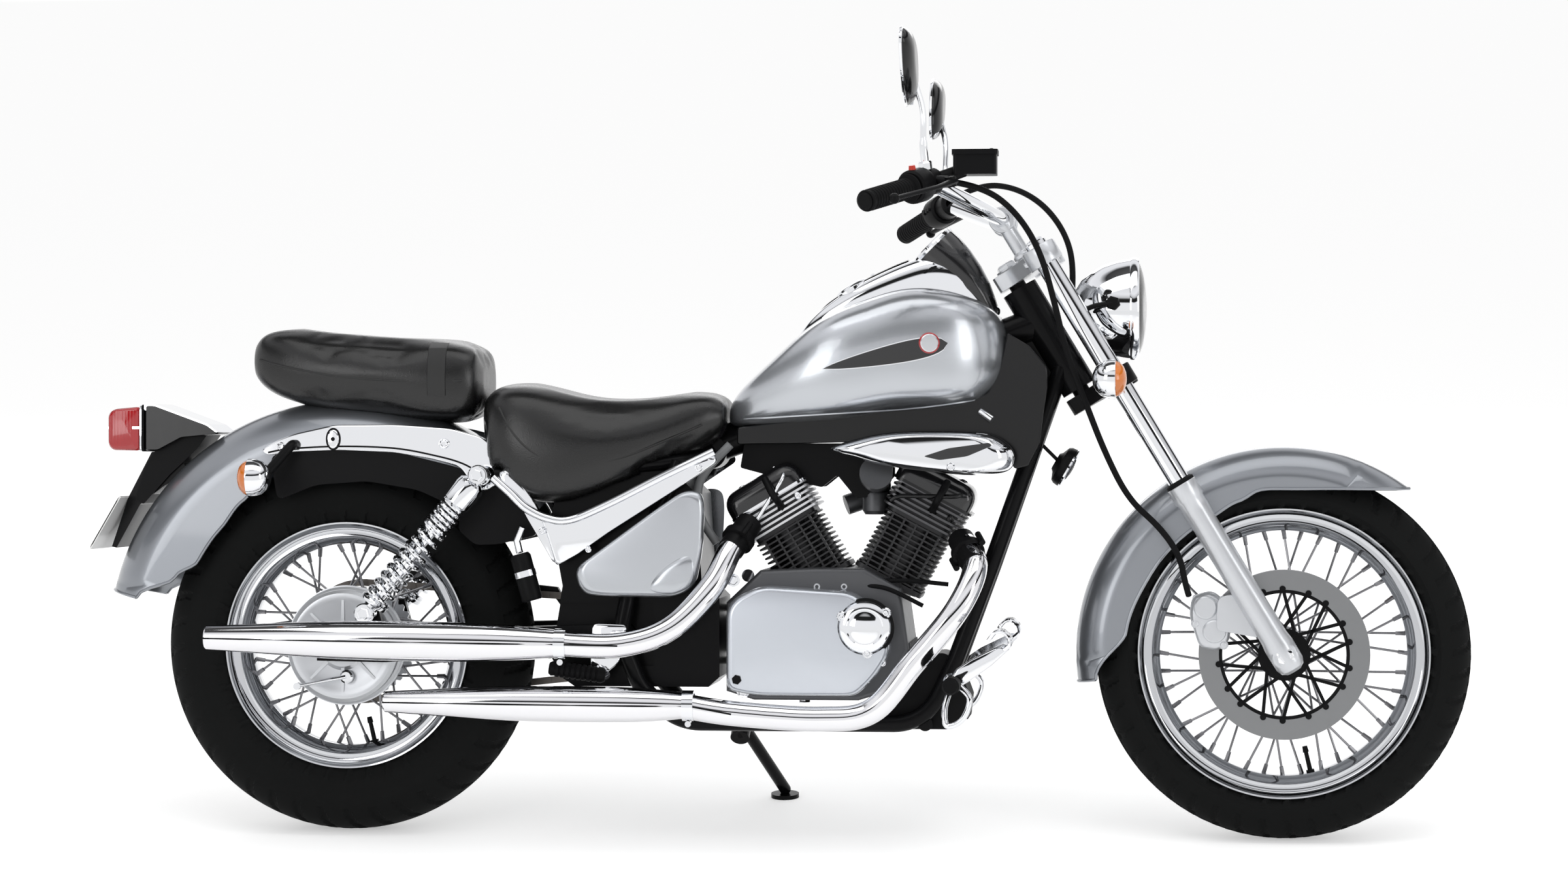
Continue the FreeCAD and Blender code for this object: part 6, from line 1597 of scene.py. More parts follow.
@dataclass
class Tank:
    """Fuel tank with its seam, badge, console and speedometer."""

    badge_tip: tuple[float, float] = (800, 762)
    badge_end: tuple[float, float] = (1000, 803)
    badge_tall: float = 24.0
    dial_radius: float = 43.0
    dial_centre: Vector = Vector((968, 0, 962))
    dial_axis: Vector = Vector((-1, 0, 1))
    dial_turn: float = 130.0
    dial_steps: int = 32

    def badge(self, surface: Surface, shrink: float, low: float, high: float,
              side: float) -> Shape:
        """Teardrop plate that follows the tank's side."""
        tip, end = Vector(self.badge_tip), Vector(self.badge_end)
        run = end - tip
        across = Vector((-run.y, run.x)).normalized()
        rows, columns = 25, 7
        grid = []
        for row in range(rows):
            t = row / (rows - 1)
            bulge = (t ** 0.6) * math.sqrt(max(0.0, 1 - t ** 5))
            half = max(self.badge_tall * bulge - shrink, 0.2)
            grid.append([tip + run * t + across * half * (2 * column / (columns - 1) - 1)
                         for column in range(columns)])
        outer = [[surface.at(p.x, p.y, high, side) for p in row] for row in grid]
        inner = [[surface.at(p.x, p.y, low, side) for p in row] for row in grid]
        return skin([face + list(reversed(back)) for face, back in zip(outer, inner)])

    def console(self) -> Shape:
        """Chrome strip down the middle of the tank top."""
        return hull([(752, 12, 806, 824, 1.6), (770, 22, 806, 846, 1.8), (800, 30, 810, 872, 1.9),
                     (850, 36, 824, 904, 2.0), (925, 41, 842, 938, 2.0), (975, 43, 852, 950, 2.0),
                     (1020, 38, 852, 936, 1.9), (1060, 24, 850, 880, 1.8),
                     (1076, 12, 852, 866, 1.6)])

    def inlay(self) -> Shape:
        """Black ribbed insert along the console."""
        path = smooth_path([(778, 8, 850), (800, 14, 872.5), (850, 17, 904.5), (900, 19, 929),
                            (930, 19, 941)], 6)
        rings = [[Vector((p.x, -p.y, p.z)), Vector((p.x, -p.y * 0.8, p.z + 2)),
                  Vector((p.x, p.y * 0.8, p.z + 2)), Vector((p.x, p.y, p.z)),
                  Vector((p.x, 0, p.z - 5))] for p in path]
        return skin(rings)

    def cap(self) -> Shape:
        """Fuel cap with a knurled edge, on the console's slope."""
        centre, axis = Vector((838, 0, 894)), Vector((-0.52, 0, 0.85))
        profile = [(0, -6), (30, -6), (30, 3), (28, 6), (24, 8), (8, 10), (0, 10)]
        shape = turned(profile, centre, axis, 48)
        hinge = centre + Vector((34, 0, 22))
        return shape.add(rod(hinge - LEFT * 9, hinge + LEFT * 9, 5))

    def nacelle(self) -> Shape:
        """Black teardrop body behind the dial."""
        rings = []
        spine = [(968, 962, 43, 45), (984, 948, 43, 44), (1006, 926, 41, 38), (1030, 901, 37, 30),
                 (1052, 877, 30, 22), (1068, 859, 20, 14), (1078, 850, 8, 8)]
        for x, z, half, tilt in spine:
            turn = math.radians(tilt)
            out = Vector((math.sin(turn), 0, math.cos(turn)))
            rings.append([Vector((x, 0, z)) + LEFT * half * math.cos(2 * math.pi * k / 40)
                          + out * half * math.sin(2 * math.pi * k / 40) for k in range(40)])
        return skin(rings)

    def dial(self) -> None:
        """Bezel, face, marks, needle and glass of the speedometer."""
        r, centre, axis = self.dial_radius, self.dial_centre, self.dial_axis.normalized()
        bezel = turned([(r - 5, -3), (r, -3), (r + 1.5, 1), (r + 0.5, 4), (r - 2, 5.5), (r - 5, 2)],
                       centre, axis, 72, closed=True)
        publish_all(
            Body.CHASSIS,
            (bezel, "dial_bezel", Paint.CHROME),
            (turned(band(0, r - 4, 0.4, -2), centre, axis, 60), "dial_face", Paint.DIAL))
        up = Vector((1, 0, 1)).normalized()
        marks = Shape()
        for step in range(self.dial_steps + 1):
            turn = math.radians(-self.dial_turn + 2 * self.dial_turn * step / self.dial_steps)
            out = up * math.cos(turn) + LEFT * -math.sin(turn)
            across = out.cross(axis)
            long = step % 4 == 0
            low, wide = (r - 13, 0.9) if long else (r - 9.5, 0.45)
            start, end = centre + axis * 0.5 + out * low, centre + axis * 0.5 + out * (r - 6)
            marks.add(slab([start - across * wide, end - across * wide, end + across * wide,
                            start + across * wide], axis * 0.3))
        box = centre + axis * 0.5 - up * 17
        marks.add(slab([box - LEFT * 10 - up * 3.5, box + LEFT * 10 - up * 3.5,
                        box + LEFT * 10 + up * 3.5, box - LEFT * 10 + up * 3.5], axis * 0.3))
        publish(marks, "dial_marks", Body.CHASSIS, Paint.MARKS)
        turn = math.radians(-self.dial_turn)
        out = up * math.cos(turn) + LEFT * -math.sin(turn)
        base = centre + axis * 1.6
        needle = rod(base - out * 8, base + out * (r - 11), 1.3, 0.5, 8)
        needle.add(turned([(0, 0), (4.5, 0), (4.5, 2.4), (0, 2.8)], base, axis, 20))
        publish(needle, "dial_needle", Body.CHASSIS, Paint.NEEDLE)
        glass = turned([(0, 4.4), (r - 5, 3.6), (r - 5, 2.8), (0, 3.6)], centre, axis, 60)
        publish(glass, "dial_glass", Body.CHASSIS, Paint.GLASS)

    def seam(self, surface: Surface) -> Shape:
        """Rolled weld seam along the tank's lower edge."""
        shape = Shape()
        for side in (-1, 1):
            line = [surface.at(664 + 376 * t, 681 + 22 * t + 9 * t ** 6, -0.5, side)
                    for t in (step / 24 for step in range(25))]
            shape.add(tube(smooth_path(line, 3), 2.2, 8))
        return shape

    def build(self) -> None:
        """Make what the tank carries."""
        surface = Surface("fuel_tank")
        for side, name in ((-1, "right"), (1, "left")):
            publish_all(
                Body.CHASSIS,
                (self.badge(surface, 0, 0.1, 1.2, side), "badge_rim_" + name, Paint.CHROME),
                (self.badge(surface, 1.6, 0.6, 1.9, side), "badge_" + name, Paint.GLOSS))
            for radius, lift, finish in ((17, 2.6, Paint.RED_LENS), (14.6, 3.6, Paint.BOSS)):
                centre = surface.at(971, 803, 0.8, side)
                normal = (surface.at(971, 803, 2, side) - surface.at(971, 803, 1, side))
                disc = turned([(0, 0), (radius, 0), (radius, lift - 1), (radius - 1.5, lift),
                               (0, lift + 0.4)], centre, normal, 40)
                publish(disc, "badge_%s_%s" % (finish.name, name), Body.CHASSIS, finish)
        publish_all(
            Body.CHASSIS,
            (self.seam(surface), "tank_seam", Paint.SILVER),
            (self.console(), "console_strip", Paint.CHROME, "tank_console"),
            (self.inlay(), "console_inlay", Paint.GLOSS),
            (self.cap(), "fuel_cap", Paint.CHROME),
            (self.nacelle(), "dial_nacelle", Paint.GLOSS, "speedometer"))
        self.dial()


@dataclass
class SideCovers:
    """Side covers, their chrome V trims, head-stock covers and what shows beside them."""

    base: float = 136.0
    face: float = 152.0

    def cover(self) -> Shape:
        """Domed cover with a raised bulge at its lower front."""
        body = puffed([(395, 438), (408, 399), (440, 394), (560, 393), (594, 410), (606, 470),
                       (609, 541), (604, 564), (576, 567), (530, 536), (480, 500)], 20,
                      self.base, self.face - self.base, 0.12, 6, 0.25)
        swell = smooth_path(side_view([(520, 404), (556, 396), (588, 412), (594, 446), (584, 462),
                                       (558, 452), (530, 428)], self.face - 3), 5, closed=True)
        return body.add(pillow(swell, LEFT * 7, 0.7, 6))

    def trim(self) -> Shape:
        """Chrome V trim: panel with a raised edge, from the shock mount to the seat nose."""
        return puffed([(340, 520), (352, 488), (366, 442), (402, 462), (452, 497), (501, 528),
                       (569, 571), (630, 612), (624, 625), (552, 590), (500, 563), (455, 541),
                       (390, 516), (362, 520)], 9, 134, 8, 0.06, 4, 0.3)

    def strip(self) -> Shape:
        """Upper chrome tube of the V, from the shock mount along the seat's edge."""
        way = smooth_path([(262, 134, 586), (290, 138, 562), (316, 142, 538), (350, 142, 521),
                           (390, 142, 518), (455, 141, 545), (540, 139, 588), (624, 137, 628)], 8)
        return tube(way, 7.5, 18)

    def left_arm(self) -> Shape:
        """Flat chrome arm from the shock's upper mount down to the cover."""
        return puffed([(268, 592), (292, 570), (318, 520), (348, 470), (362, 446), (374, 452),
                       (352, 506), (330, 548), (300, 588), (282, 602)], 8, 128, 10, 0.12, 4, 0.3)

    def canister(self) -> tuple[Shape, Shape]:
        """Black canister with its chrome bracket, ahead of the rear tyre."""
        top, foot = Vector((303, 118, 462)), Vector((324, 118, 386))
        body = turned([(0, 0), (15, 0), (17, 3), (17, 74), (14, 79), (0, 79)], foot, top - foot, 32)
        path = [top + UP * 2, top + Vector((-4, 4, 22)), top + Vector((6, 8, 44))]
        clasp = turned(band(17, 18.2, 40, 50), foot, top - foot, 32, closed=True)
        return body, tube(path, 6, 12).add(clasp)

    def head_cover(self) -> Shape:
        """Black cover beside the steering head, drawn back along the tank's lower edge."""
        return sheet([(1094, 822), (1130, 800), (1158, 766), (1160, 736), (1152, 690),
                      (1146, 640), (1128, 606), (1106, 600), (1082, 636), (1040, 646), (900, 646),
                      (760, 642), (652, 640), (652, 668), (757, 681), (894, 698), (1010, 706),
                      (1062, 724), (1082, 770)], 5, 36, 22)

    @staticmethod
    def gap_shade_sheet() -> Shape:
        """Black sheet between the tank and the cylinders: partly dark parts, partly painted shade.
        """
        return sheet([(662, 642), (905, 642), (905, 588), (874, 556), (846, 552), (815, 590),
                      (790, 570), (700, 590), (655, 602)], 4, 24, 12)

    @staticmethod
    def valve_lever() -> Shape:
        """Small chrome lever below the tank's nose."""
        return rod((1050, 58, 694), (1070, 66, 680), 6, 7)

    def build(self) -> None:
        """Make both sides of everything."""
        publish(self.cover().both_sides(), "side_cover_shells", Body.CHASSIS, Paint.SILVER,
                ["side_covers"])
        trims = Shape().add(self.trim(), self.strip(), self.left_arm())
        publish(trims.both_sides(), "v_trims", Body.CHASSIS, Paint.CHROME, ["seat_trims"])
        body, bracket = self.canister()
        publish_all(
            Body.CHASSIS,
            (body.mirrored(), "vapour_canister", Paint.BLACK, "canister"),
            (bracket.mirrored(), "canister_bracket", Paint.CHROME))
        publish(self.head_cover().both_sides(), "head_stock_covers", Body.CHASSIS,
                Paint.GLOSS_METAL, ["head_covers"], bevel=3.0)
        publish_all(
            Body.CHASSIS,
            # partly painted shade: black sheets fill the gap between the tank and the cylinders
            (self.gap_shade_sheet().both_sides(), "gap_shade_sheets", Paint.BLACK),
            (self.valve_lever().mirrored(), "fuel_valve_lever", Paint.CHROME))
        screws = dome_screws([(420, 470), (600, 602), (344, 500)], 142, LEFT, 6, 4)
        publish(screws.both_sides(), "trim_screws", Body.CHASSIS, Paint.CHROME)


# Seats


@dataclass
class Seats:
    """Padded saddle and passenger pad in black leather."""

    voxel: float = 0.006
    pressure: float = 3.0
    cap: float = 0.006
    cloth_quality: int = 4
    cloth_frames: int = 12
    smoothing: int = 3
    seam_radius: float = 1.8
    strap_edge: tuple = ((150, 0.4), (151, 2.4), (179, 2.4), (180, 0.4))

    def inflate(self, node: str, name: str) -> bpy.types.Mesh:
        """Padded mesh of a CAD seat: remeshed, swelled as cloth and capped in its swelling."""
        source = frame["nodes"][node]
        mesh = source.data.copy()
        work = bmesh.new()
        work.from_mesh(mesh)
        bmesh.ops.remove_doubles(work, verts=work.verts, dist=MERGE_GAP)
        work.to_mesh(mesh)
        work.free()
        pad = bpy.data.objects.new(name, mesh)
        bpy.context.scene.collection.objects.link(pad)
        remesh = pad.modifiers.new("Remesh", "REMESH")
        remesh.mode, remesh.voxel_size = "VOXEL", self.voxel
        self.apply(pad)
        rest = [vertex.co.copy() for vertex in pad.data.vertices]
        cloth = pad.modifiers.new("Cloth", "CLOTH")
        cloth.settings.quality = self.cloth_quality
        cloth.settings.use_pressure = True
        cloth.settings.uniform_pressure_force = self.pressure
        cloth.settings.effector_weights.gravity = 0
        for number in range(1, self.cloth_frames + 1):
            bpy.context.scene.frame_set(number)
        self.apply(pad)
        bpy.context.scene.frame_set(1)
        smooth = pad.modifiers.new("Smooth", "SMOOTH")
        smooth.iterations = self.smoothing
        self.apply(pad)
        for vertex, home in zip(pad.data.vertices, rest):
            move = vertex.co - home
            if move.length > self.cap:
                vertex.co = home + move.normalized() * self.cap
        result = pad.data
        bpy.data.objects.remove(pad)
        return result

    @staticmethod
    def apply(pad: bpy.types.Object) -> None:
        """Replace the pad's mesh by its evaluated one, without modifiers."""
        graph = bpy.context.evaluated_depsgraph_get()
        mesh = bpy.data.meshes.new_from_object(pad.evaluated_get(graph))
        pad.modifiers.clear()
        pad.data = mesh

    def seam(self, surface: Surface, points: Pairs, side: float) -> Shape:
        """Raised seam along the side of a seat."""
        path = smooth_path([surface.at(x, z, 1.0, side) for x, z in points], 6)
        return tube(path, self.seam_radius, 8)

    def build(self) -> None:
        """Make both seats with their seams."""
        for node, name in (("rider_seat", "saddle"), ("passenger_seat", "pillion_pad")):
            mesh = self.inflate(node, name)
            pad = publish(mesh, name, Body.CHASSIS, Paint.LEATHER, [node], smooth=math.radians(60))
        saddle, pillion = Surface("rider_seat"), Surface("passenger_seat")
        seams = Shape()
        for side in (-1, 1):
            seams.add(self.seam(saddle, [(272, 700), (300, 655), (340, 622), (400, 606),
                                         (470, 618), (540, 645), (600, 672)], side))
            seams.add(self.seam(pillion, [(-136, 780), (-90, 768), (0, 752), (110, 744),
                                          (205, 744)], side))
        publish(seams, "seat_seams", Body.CHASSIS, Paint.PIPING)
        self.strap(pillion)

    def strap(self, surface: Surface) -> None:
        """Passenger strap across the pad, near its front."""
        rings = []
        heights = (720, 750, 775, 796)
        for z in heights:
            rings.append([surface.at(x, z, lift, -1) for x, lift in self.strap_edge])
        for y in (-84, -50, 0, 50, 84):
            rings.append([self.top(surface, x, y, lift) for x, lift in self.strap_edge])
        for z in reversed(heights):
            rings.append([surface.at(x, z, lift, 1) for x, lift in self.strap_edge])
        publish(skin(rings), "seat_strap", Body.CHASSIS, Paint.PIPING)

    @staticmethod
    def top(surface: Surface, ahead: float, left: float, lift: float) -> Vector:
        """Point on the top of a seat, lifted off it."""
        hit, _, _, _ = surface.tree.ray_cast(Vector((ahead, left, 1200)), -UP)
        return (hit if hit else Vector((ahead, left, 808))) + UP * lift


# Engine


CRANK = Vector((845, 0, 318))


@dataclass
class Bank:
    """One air-cooled cylinder: finned barrel, finned head and its cover."""

    name: str
    node: str
    lean: float
    bright: bool

    @property
    def up(self) -> Vector:
        """Direction up the cylinder's axis."""
        return Vector((-math.sin(math.radians(self.lean)), 0, math.cos(math.radians(self.lean))))

    @property
    def front(self) -> Vector:
        """Direction across the axis, ahead."""
        return Vector((math.cos(math.radians(self.lean)), 0, math.sin(math.radians(self.lean))))

    def at(self, along: float, ahead: float, left: float) -> Vector:
        """Point up the cylinder, ahead of its axis and to the left."""
        return CRANK + self.up * along + self.front * ahead + LEFT * left

    def plate(self, along: float, half_long: float, half_wide: float, thick: float,
              corner: float = 16) -> Shape:
        """Rounded plate square to the cylinder's axis."""
        line = [self.at(along, a, b) for a, b in ((-half_long, -half_wide), (half_long, -half_wide),
                                                  (half_long, half_wide), (-half_long, half_wide))]
        return slab(bent_path(line, corner, 5, closed=True), self.up * thick)

    def fins(self) -> bpy.types.Mesh:
        """Black barrel fins below, wider head fins above."""
        lower = REPEAT.row(self.plate(122, 58, 62, 2.8), 12, self.up * 8.4,
                           Paint.BARREL.material())
        edge = Paint.FIN if self.bright else Paint.FIN_DARK
        upper = REPEAT.row(self.plate(225, 66, 70, 3.6), 6, self.up * 8.4, edge.material())
        return join([lower, upper], self.name + "_fins")

    def core(self) -> Shape:
        """Barrel and head inside the fins, with the ribs that stiffen the fins."""
        shape = turned(band(0, 51, 108, 226), CRANK, self.up, 40)
        shape.add(self.plate(112, 60, 60, 8), self.plate(218, 55, 58, 56))
        for side in (-1, 1):
            for ahead in (-42, -21, 0, 21, 42):
                foot = self.at(120, ahead - 1.6, side * 48)
                wide, tall = self.front * 3.2, self.up * 98
                line = [foot, foot + wide, foot + wide + tall, foot + tall]
                shape.add(slab(line, LEFT * side * 13.4))
        return shape

    def cover(self) -> Shape:
        """Arched head cover."""
        line = [self.at(271, a, b) for a, b in ((-70, -68), (66, -68), (66, 68), (-70, 68))]
        return pillow(bent_path(line, 22, 6, closed=True), self.up * 42, 0.34, 7, 0.35)

    def trim(self) -> Shape:
        """Bright band round the cover's foot, its screws and the oil pipe."""
        shape = self.plate(269, 71, 71, 4.5, 22)
        for ahead in (-38, 38):
            for left in (-38, 38):
                shape.add(dome_screw(self.at(310, ahead * 0.82, left * 0.82), self.up, 7, 5))
        for side in (-1, 1):
            way = bent_path([self.at(232, -56, side * 72), self.at(244, -50, side * 74),
                             self.at(290, 40, side * 70), self.at(302, 46, side * 52)], 14, 5)
            shape.add(tube(way, 3.6, 12))
            shape.add(dome_screw(self.at(252, 44, side * 69), LEFT * side, 6.5, 6))
        return shape

    def plug(self, side: float) -> Shape:
        """Spark plug cap on one side of the head."""
        foot = self.at(246, 12, side * 60)
        out = (LEFT * side * 0.8 + self.up * 0.6).normalized()
        shape = turned([(0, 0), (8, 0), (8, 10), (6, 14), (6, 26), (0, 26)], foot, out, 6)
        return shape.add(tube(bent_path([foot + out * 20, foot + out * 44,
                                         foot + out * 44 + self.up * 30 - LEFT * side * 24], 16, 5),
                              6, 14))

    def build(self) -> None:
        """Make the cylinder."""
        publish_all(
            Body.CHASSIS,
            (self.fins(), self.name + "_fins", Paint.FIN, self.node),
            (self.core(), self.name + "_core", Paint.BARREL),
            (self.cover(), self.name + "_cover", Paint.GLOSS),
            (self.trim(), self.name + "_trim", Paint.CHROME if self.bright else Paint.GLOSS_METAL),
            (self.plug(-1).add(self.plug(1)), self.name + "_plugs", Paint.BLACK))


@dataclass
class EngineCovers:
    """Clutch cover with its round cap on the right, sprocket cover on the left."""

    inner: float = 108.5
    face: float = 160.0

    def clutch(self) -> Shape:
        """Smooth stepped cover with its lower rear lug."""
        body = puffed([(645, 246), (645, 376), (660, 394), (700, 413), (848, 404), (898, 366),
                       (911, 307), (890, 272), (868, 248), (852, 236), (700, 236), (668, 240)],
                      16, -self.inner, 1 - (self.face - self.inner), 0.08, 6, 0.72)
        lug = turned(button(17, -4, 2, 14, 5), (663, 9 - self.face, 262), -LEFT, 32)
        return body.add(lug)

    def cap(self) -> tuple[Shape, Shape]:
        """Round chrome cap on a dark ring, with three screw ears."""
        centre = Vector((870, -self.face + 5, 347))
        ring = turned(button(47, -3, 2.5, 44, 4), centre, -LEFT, 64)
        cap = turned([(0, 2), (41, 2), (42, 5), (40, 9), (34, 12), (30, 12.4), (28, 11), (24, 11),
                      (20, 12.6), (0, 13.6)], centre, -LEFT, 72)
        for turn in (35, 155, 275):
            out = outward(math.radians(turn))
            place = centre + out * 41
            cap.add(turned(button(8.5, 2, 7, 7, 8.5), place, -LEFT, 24))
            cap.add(dome_screw(place - LEFT * 8.5, -LEFT, 5, 3))
        return ring, cap

    def screws(self) -> Shape:
        """Socket screws round the clutch cover's edge."""
        return dome_screws([(656, 300), (656, 350), (676, 392), (740, 400), (800, 398), (898, 290),
                            (872, 262), (820, 244), (750, 244), (700, 246)],
                           9 - self.face, -LEFT, 5.5, 3)

    def left_cover(self) -> Shape:
        """Alternator and sprocket cover on the left."""
        body = puffed([(655, 258), (655, 368), (715, 398), (848, 402), (909, 312), (879, 258),
                       (695, 248)], 22, self.inner, 30, 0.06, 5, 0.7)
        for x, z, r in ((852, 322, 50), (722, 318, 46)):
            body.add(turned([(0, 24), (r, 24), (r, 34), (r - 5, 38), (r - 14, 39), (r - 18, 36),
                             (0, 36)], (x, self.inner, z), LEFT, 64))
        return body

    def left_screws(self) -> Shape:
        """Socket screws on the left cover."""
        return dome_screws([(668, 280), (668, 352), (720, 386), (786, 392), (842, 390), (892, 316),
                            (868, 270), (786, 262), (704, 262)], self.inner + 28, LEFT, 5.5, 4)

    def build(self) -> None:
        """Make both sides' covers."""
        both = Shape().add(self.clutch(), self.left_cover())
        ring, cap = self.cap()
        publish_all(
            Body.CHASSIS,
            (both, "engine_cover_shells", Paint.COVER, "engine_covers"),
            (ring, "clutch_ring", Paint.BLACK),
            (cap, "clutch_cap", Paint.CHROME),
            (self.screws().add(self.left_screws()), "cover_screws", Paint.CHROME),
            (bolt((663, 4 - self.face, 262), -LEFT, 8, 6), "lug_bolt", Paint.BLACK))


class CaseDetails:
    """What is bolted to the crankcase: the block between the barrels, ribs, plugs and pipes."""

    def block(self) -> Shape:
        """Alloy oil block in the V, with its mounting feet."""
        body = sheet([(776, 398), (778, 420), (790, 430), (832, 428), (846, 410), (842, 394)], 6,
                     -106, 40)
        return body.add(dome_screws([(788, 410), (832, 410)], -106, -LEFT, 6, 4))

    def ribs(self) -> Shape:
        """Ribs across the crankcase's lower front."""
        shape = Shape()
        for left in range(-90, 91, 20):
            line = side_view([(896, 240), (930, 262), (941, 300), (938, 320), (930, 316),
                              (900, 250)], left - 2)
            shape.add(slab(line, LEFT * 4))
        return shape

    def fittings(self) -> Shape:
        """Drain plug, level plug and the engine's mounting bolts."""
        shape = bolt((760, -30, 224), -UP, 10, 7).add(bolt((820, 40, 224), -UP, 8, 6))
        for side in (-1, 1):
            for x, z in ((924, 246), (668, 240), (652, 420)):
                shape.add(bolt((x, side * 108, z), LEFT * side, 8, 7))
        return shape

    def pipes(self) -> tuple[Shape, Shape]:
        """Grey breather hose behind the rear head, and the black pipes beside the barrels."""
        breather = smooth_path(side_view([(646, 640), (612, 604), (594, 570), (598, 522),
                                          (624, 480)], -100), 8)
        black = Shape()
        for way in (((846, -96, 412), (900, -112, 408), (960, -110, 380)),
                    ((858, -92, 418), (930, -96, 420), (1000, -92, 414))):
            black.add(tube(smooth_path(way, 8), 3.6, 12))
        return tube(breather, 7, 16), black

    def build(self) -> None:
        """Make the fittings of the case."""
        breather, black = self.pipes()
        publish_all(
            Body.CHASSIS,
            (breather, "breather_hose", Paint.HOSE),
            (black, "oil_pipes", Paint.RUBBER))
        publish(self.block(), "oil_block", Body.CHASSIS, Paint.ALLOY, bevel=1.2)
        publish_all(
            Body.CHASSIS,
            (self.ribs(), "case_ribs", Paint.CAST),
            (self.fittings(), "case_bolts", Paint.CHROME))


class Intake:
    """Carburettor between the cylinders and the long chrome air cleaner outside it."""

    line: tuple = ((812, 633), (850, 648), (905, 659), (980, 662), (1062, 658), (1098, 640),
                   (1108, 618), (1096, 597), (1050, 590), (975, 596), (900, 606), (850, 620))

    def cleaner(self) -> Shape:
        """Long domed cover with a step round its foot."""
        around = smooth_path(side_view(self.line, -112), 6, closed=True)
        return pillow(around, LEFT * -58, 0.3, 10, 0.28)

    def back_plate(self) -> Shape:
        """Dark plate behind the cover."""
        around = smooth_path(side_view(self.line, -106), 6, closed=True)
        middle = sum(around, Vector()) / len(around)
        return slab([middle + (point - middle) * 0.97 for point in around], LEFT * -8)

    def slot(self) -> Shape:
        """Dark wedge-shaped slot on the cover's face."""
        return sheet([(964, 621), (1004, 634), (1070, 643), (1074, 638), (1034, 621), (990, 615)],
                     5, -169.2, -2)

    def carburettor(self) -> Shape:
        """Carburettor body, its float bowl, bellmouth and the manifold to both heads."""
        start, end = Vector((872, 30, 568)), Vector((884, -104, 600))
        run = end - start
        body = turned([(0, 0), (22, 0), (26, 8), (26, 20), (22, 24), (22, 92), (27, 96),
                       (27, 112), (0, 112)], start, run, 40)
        bowl = start + run.normalized() * 50
        body.add(turned([(0, 0), (19, 0), (21, 4), (21, 30), (17, 36), (0, 36)], bowl - UP * 18,
                        -UP, 32))
        for target in ((824, 30, 540), (924, 30, 545)):
            body.add(tube(smooth_path([start, start + Vector((0, 12, -10)), target], 8), 17, 20))
        return body

    def build(self) -> None:
        """Make the intake side."""
        publish_all(
            Body.CHASSIS,
            (self.cleaner(), "air_cleaner_shell", Paint.CHROME, "air_cleaner_cover"),
            (self.back_plate(), "air_cleaner_back", Paint.BLACK),
            (self.slot(), "air_cleaner_slot", Paint.GLOSS),
            (dome_screw((1008, -169.5, 604), -LEFT, 7, 4), "air_cleaner_screw", Paint.CHROME),
            (self.carburettor(), "carburettor", Paint.CAST, "intake"))


# Exhausts


@dataclass
class Exhaust:
    """One silencer with its header, painted dark reflection line, clamps and flange."""

    name: str
    node: str
    rear: Vector
    axis: Vector
    profile: tuple
    way: tuple
    header: float = 20.0

    def silencer(self) -> Shape:
        """Tapered silencer whose rear end is open."""
        outer = smooth_path([Vector((r, along, 0)) for r, along in self.profile], 4)
        first = outer[0].x
        inside = [(0, 70), (first - 4, 70), (first - 3.6, 3), (first - 1.8, 0)]
        line = inside + [(p.x, p.y + (2 if k == 0 else 0)) for k, p in enumerate(outer)]
        return turned(line + [(0, outer[-1].y)], self.rear, self.axis, 64)

    def pipe(self) -> Shape:
        """Header from the silencer to its port."""
        return tube(smooth_path(self.way, 12), self.header, 36)

    def seam(self) -> Shape:
        """Painted dark reflection along the outer side, from the tail to the first bend."""
        line = []
        radius_at = blend_steps([(along, radius) for radius, along in self.profile])
        for step in range(41):
            along = self.profile[-1][1] * step / 40
            line.append(self.rear + self.axis * along - LEFT * (radius_at(along) - 0.2))
        first = Vector(self.way[1]) - LEFT * (self.header - 0.2)
        line = [point for point in line if point.x < first.x - 20]
        return tube(line + [first], 1.5, 8)

    def bands(self) -> Shape:
        """Clamp at the silencer's front with its bolt."""
        joint_at = self.rear + self.axis * (self.profile[-1][1] - 14)
        r = self.header
        shape = turned(band(r, r + 4.5, 0, 18), joint_at, self.axis, 40, closed=True)
        shape.add(turned(band(0, 5, -9, 9), joint_at + self.axis * 9 - UP * (r + 9), LEFT, 12))
        return shape

    def flange(self) -> Shape:
        """Dark clamp where the header meets its port."""
        end, before = Vector(self.way[-1]), Vector(self.way[-2])
        back = (before - end).normalized()
        r = self.header
        shape = turned([(r - 1, 0), (r + 7, 0), (r + 7, 11), (r - 1, 13)],
                       end + back * 34, back, 40, closed=True)
        side = back.orthogonal().normalized()
        for way in (-1, 1):
            shape.add(rod(end + back * 22 + side * way * (r + 10),
                          end + back * 50 + side * way * (r + 10), 5))
        return shape

    def build(self) -> None:
        """Make the exhaust."""
        stub = tube(smooth_path(self.way[-2:], 4), self.header + 1.6, 32)
        publish_all(
            Body.CHASSIS,
            (self.silencer(), self.name + "_silencer", Paint.PIPE, self.node),
            (self.pipe(), self.name + "_header", Paint.PIPE),
            (self.bands(), self.name + "_clamp", Paint.CHROME),
            (self.flange().add(stub), self.name + "_flange", Paint.BLACK),
            # painted dark reflection: black line where the chrome reflects a dark band
            (self.seam(), self.name + "_seam", Paint.BLACK))


# Horn, regulator and foot controls


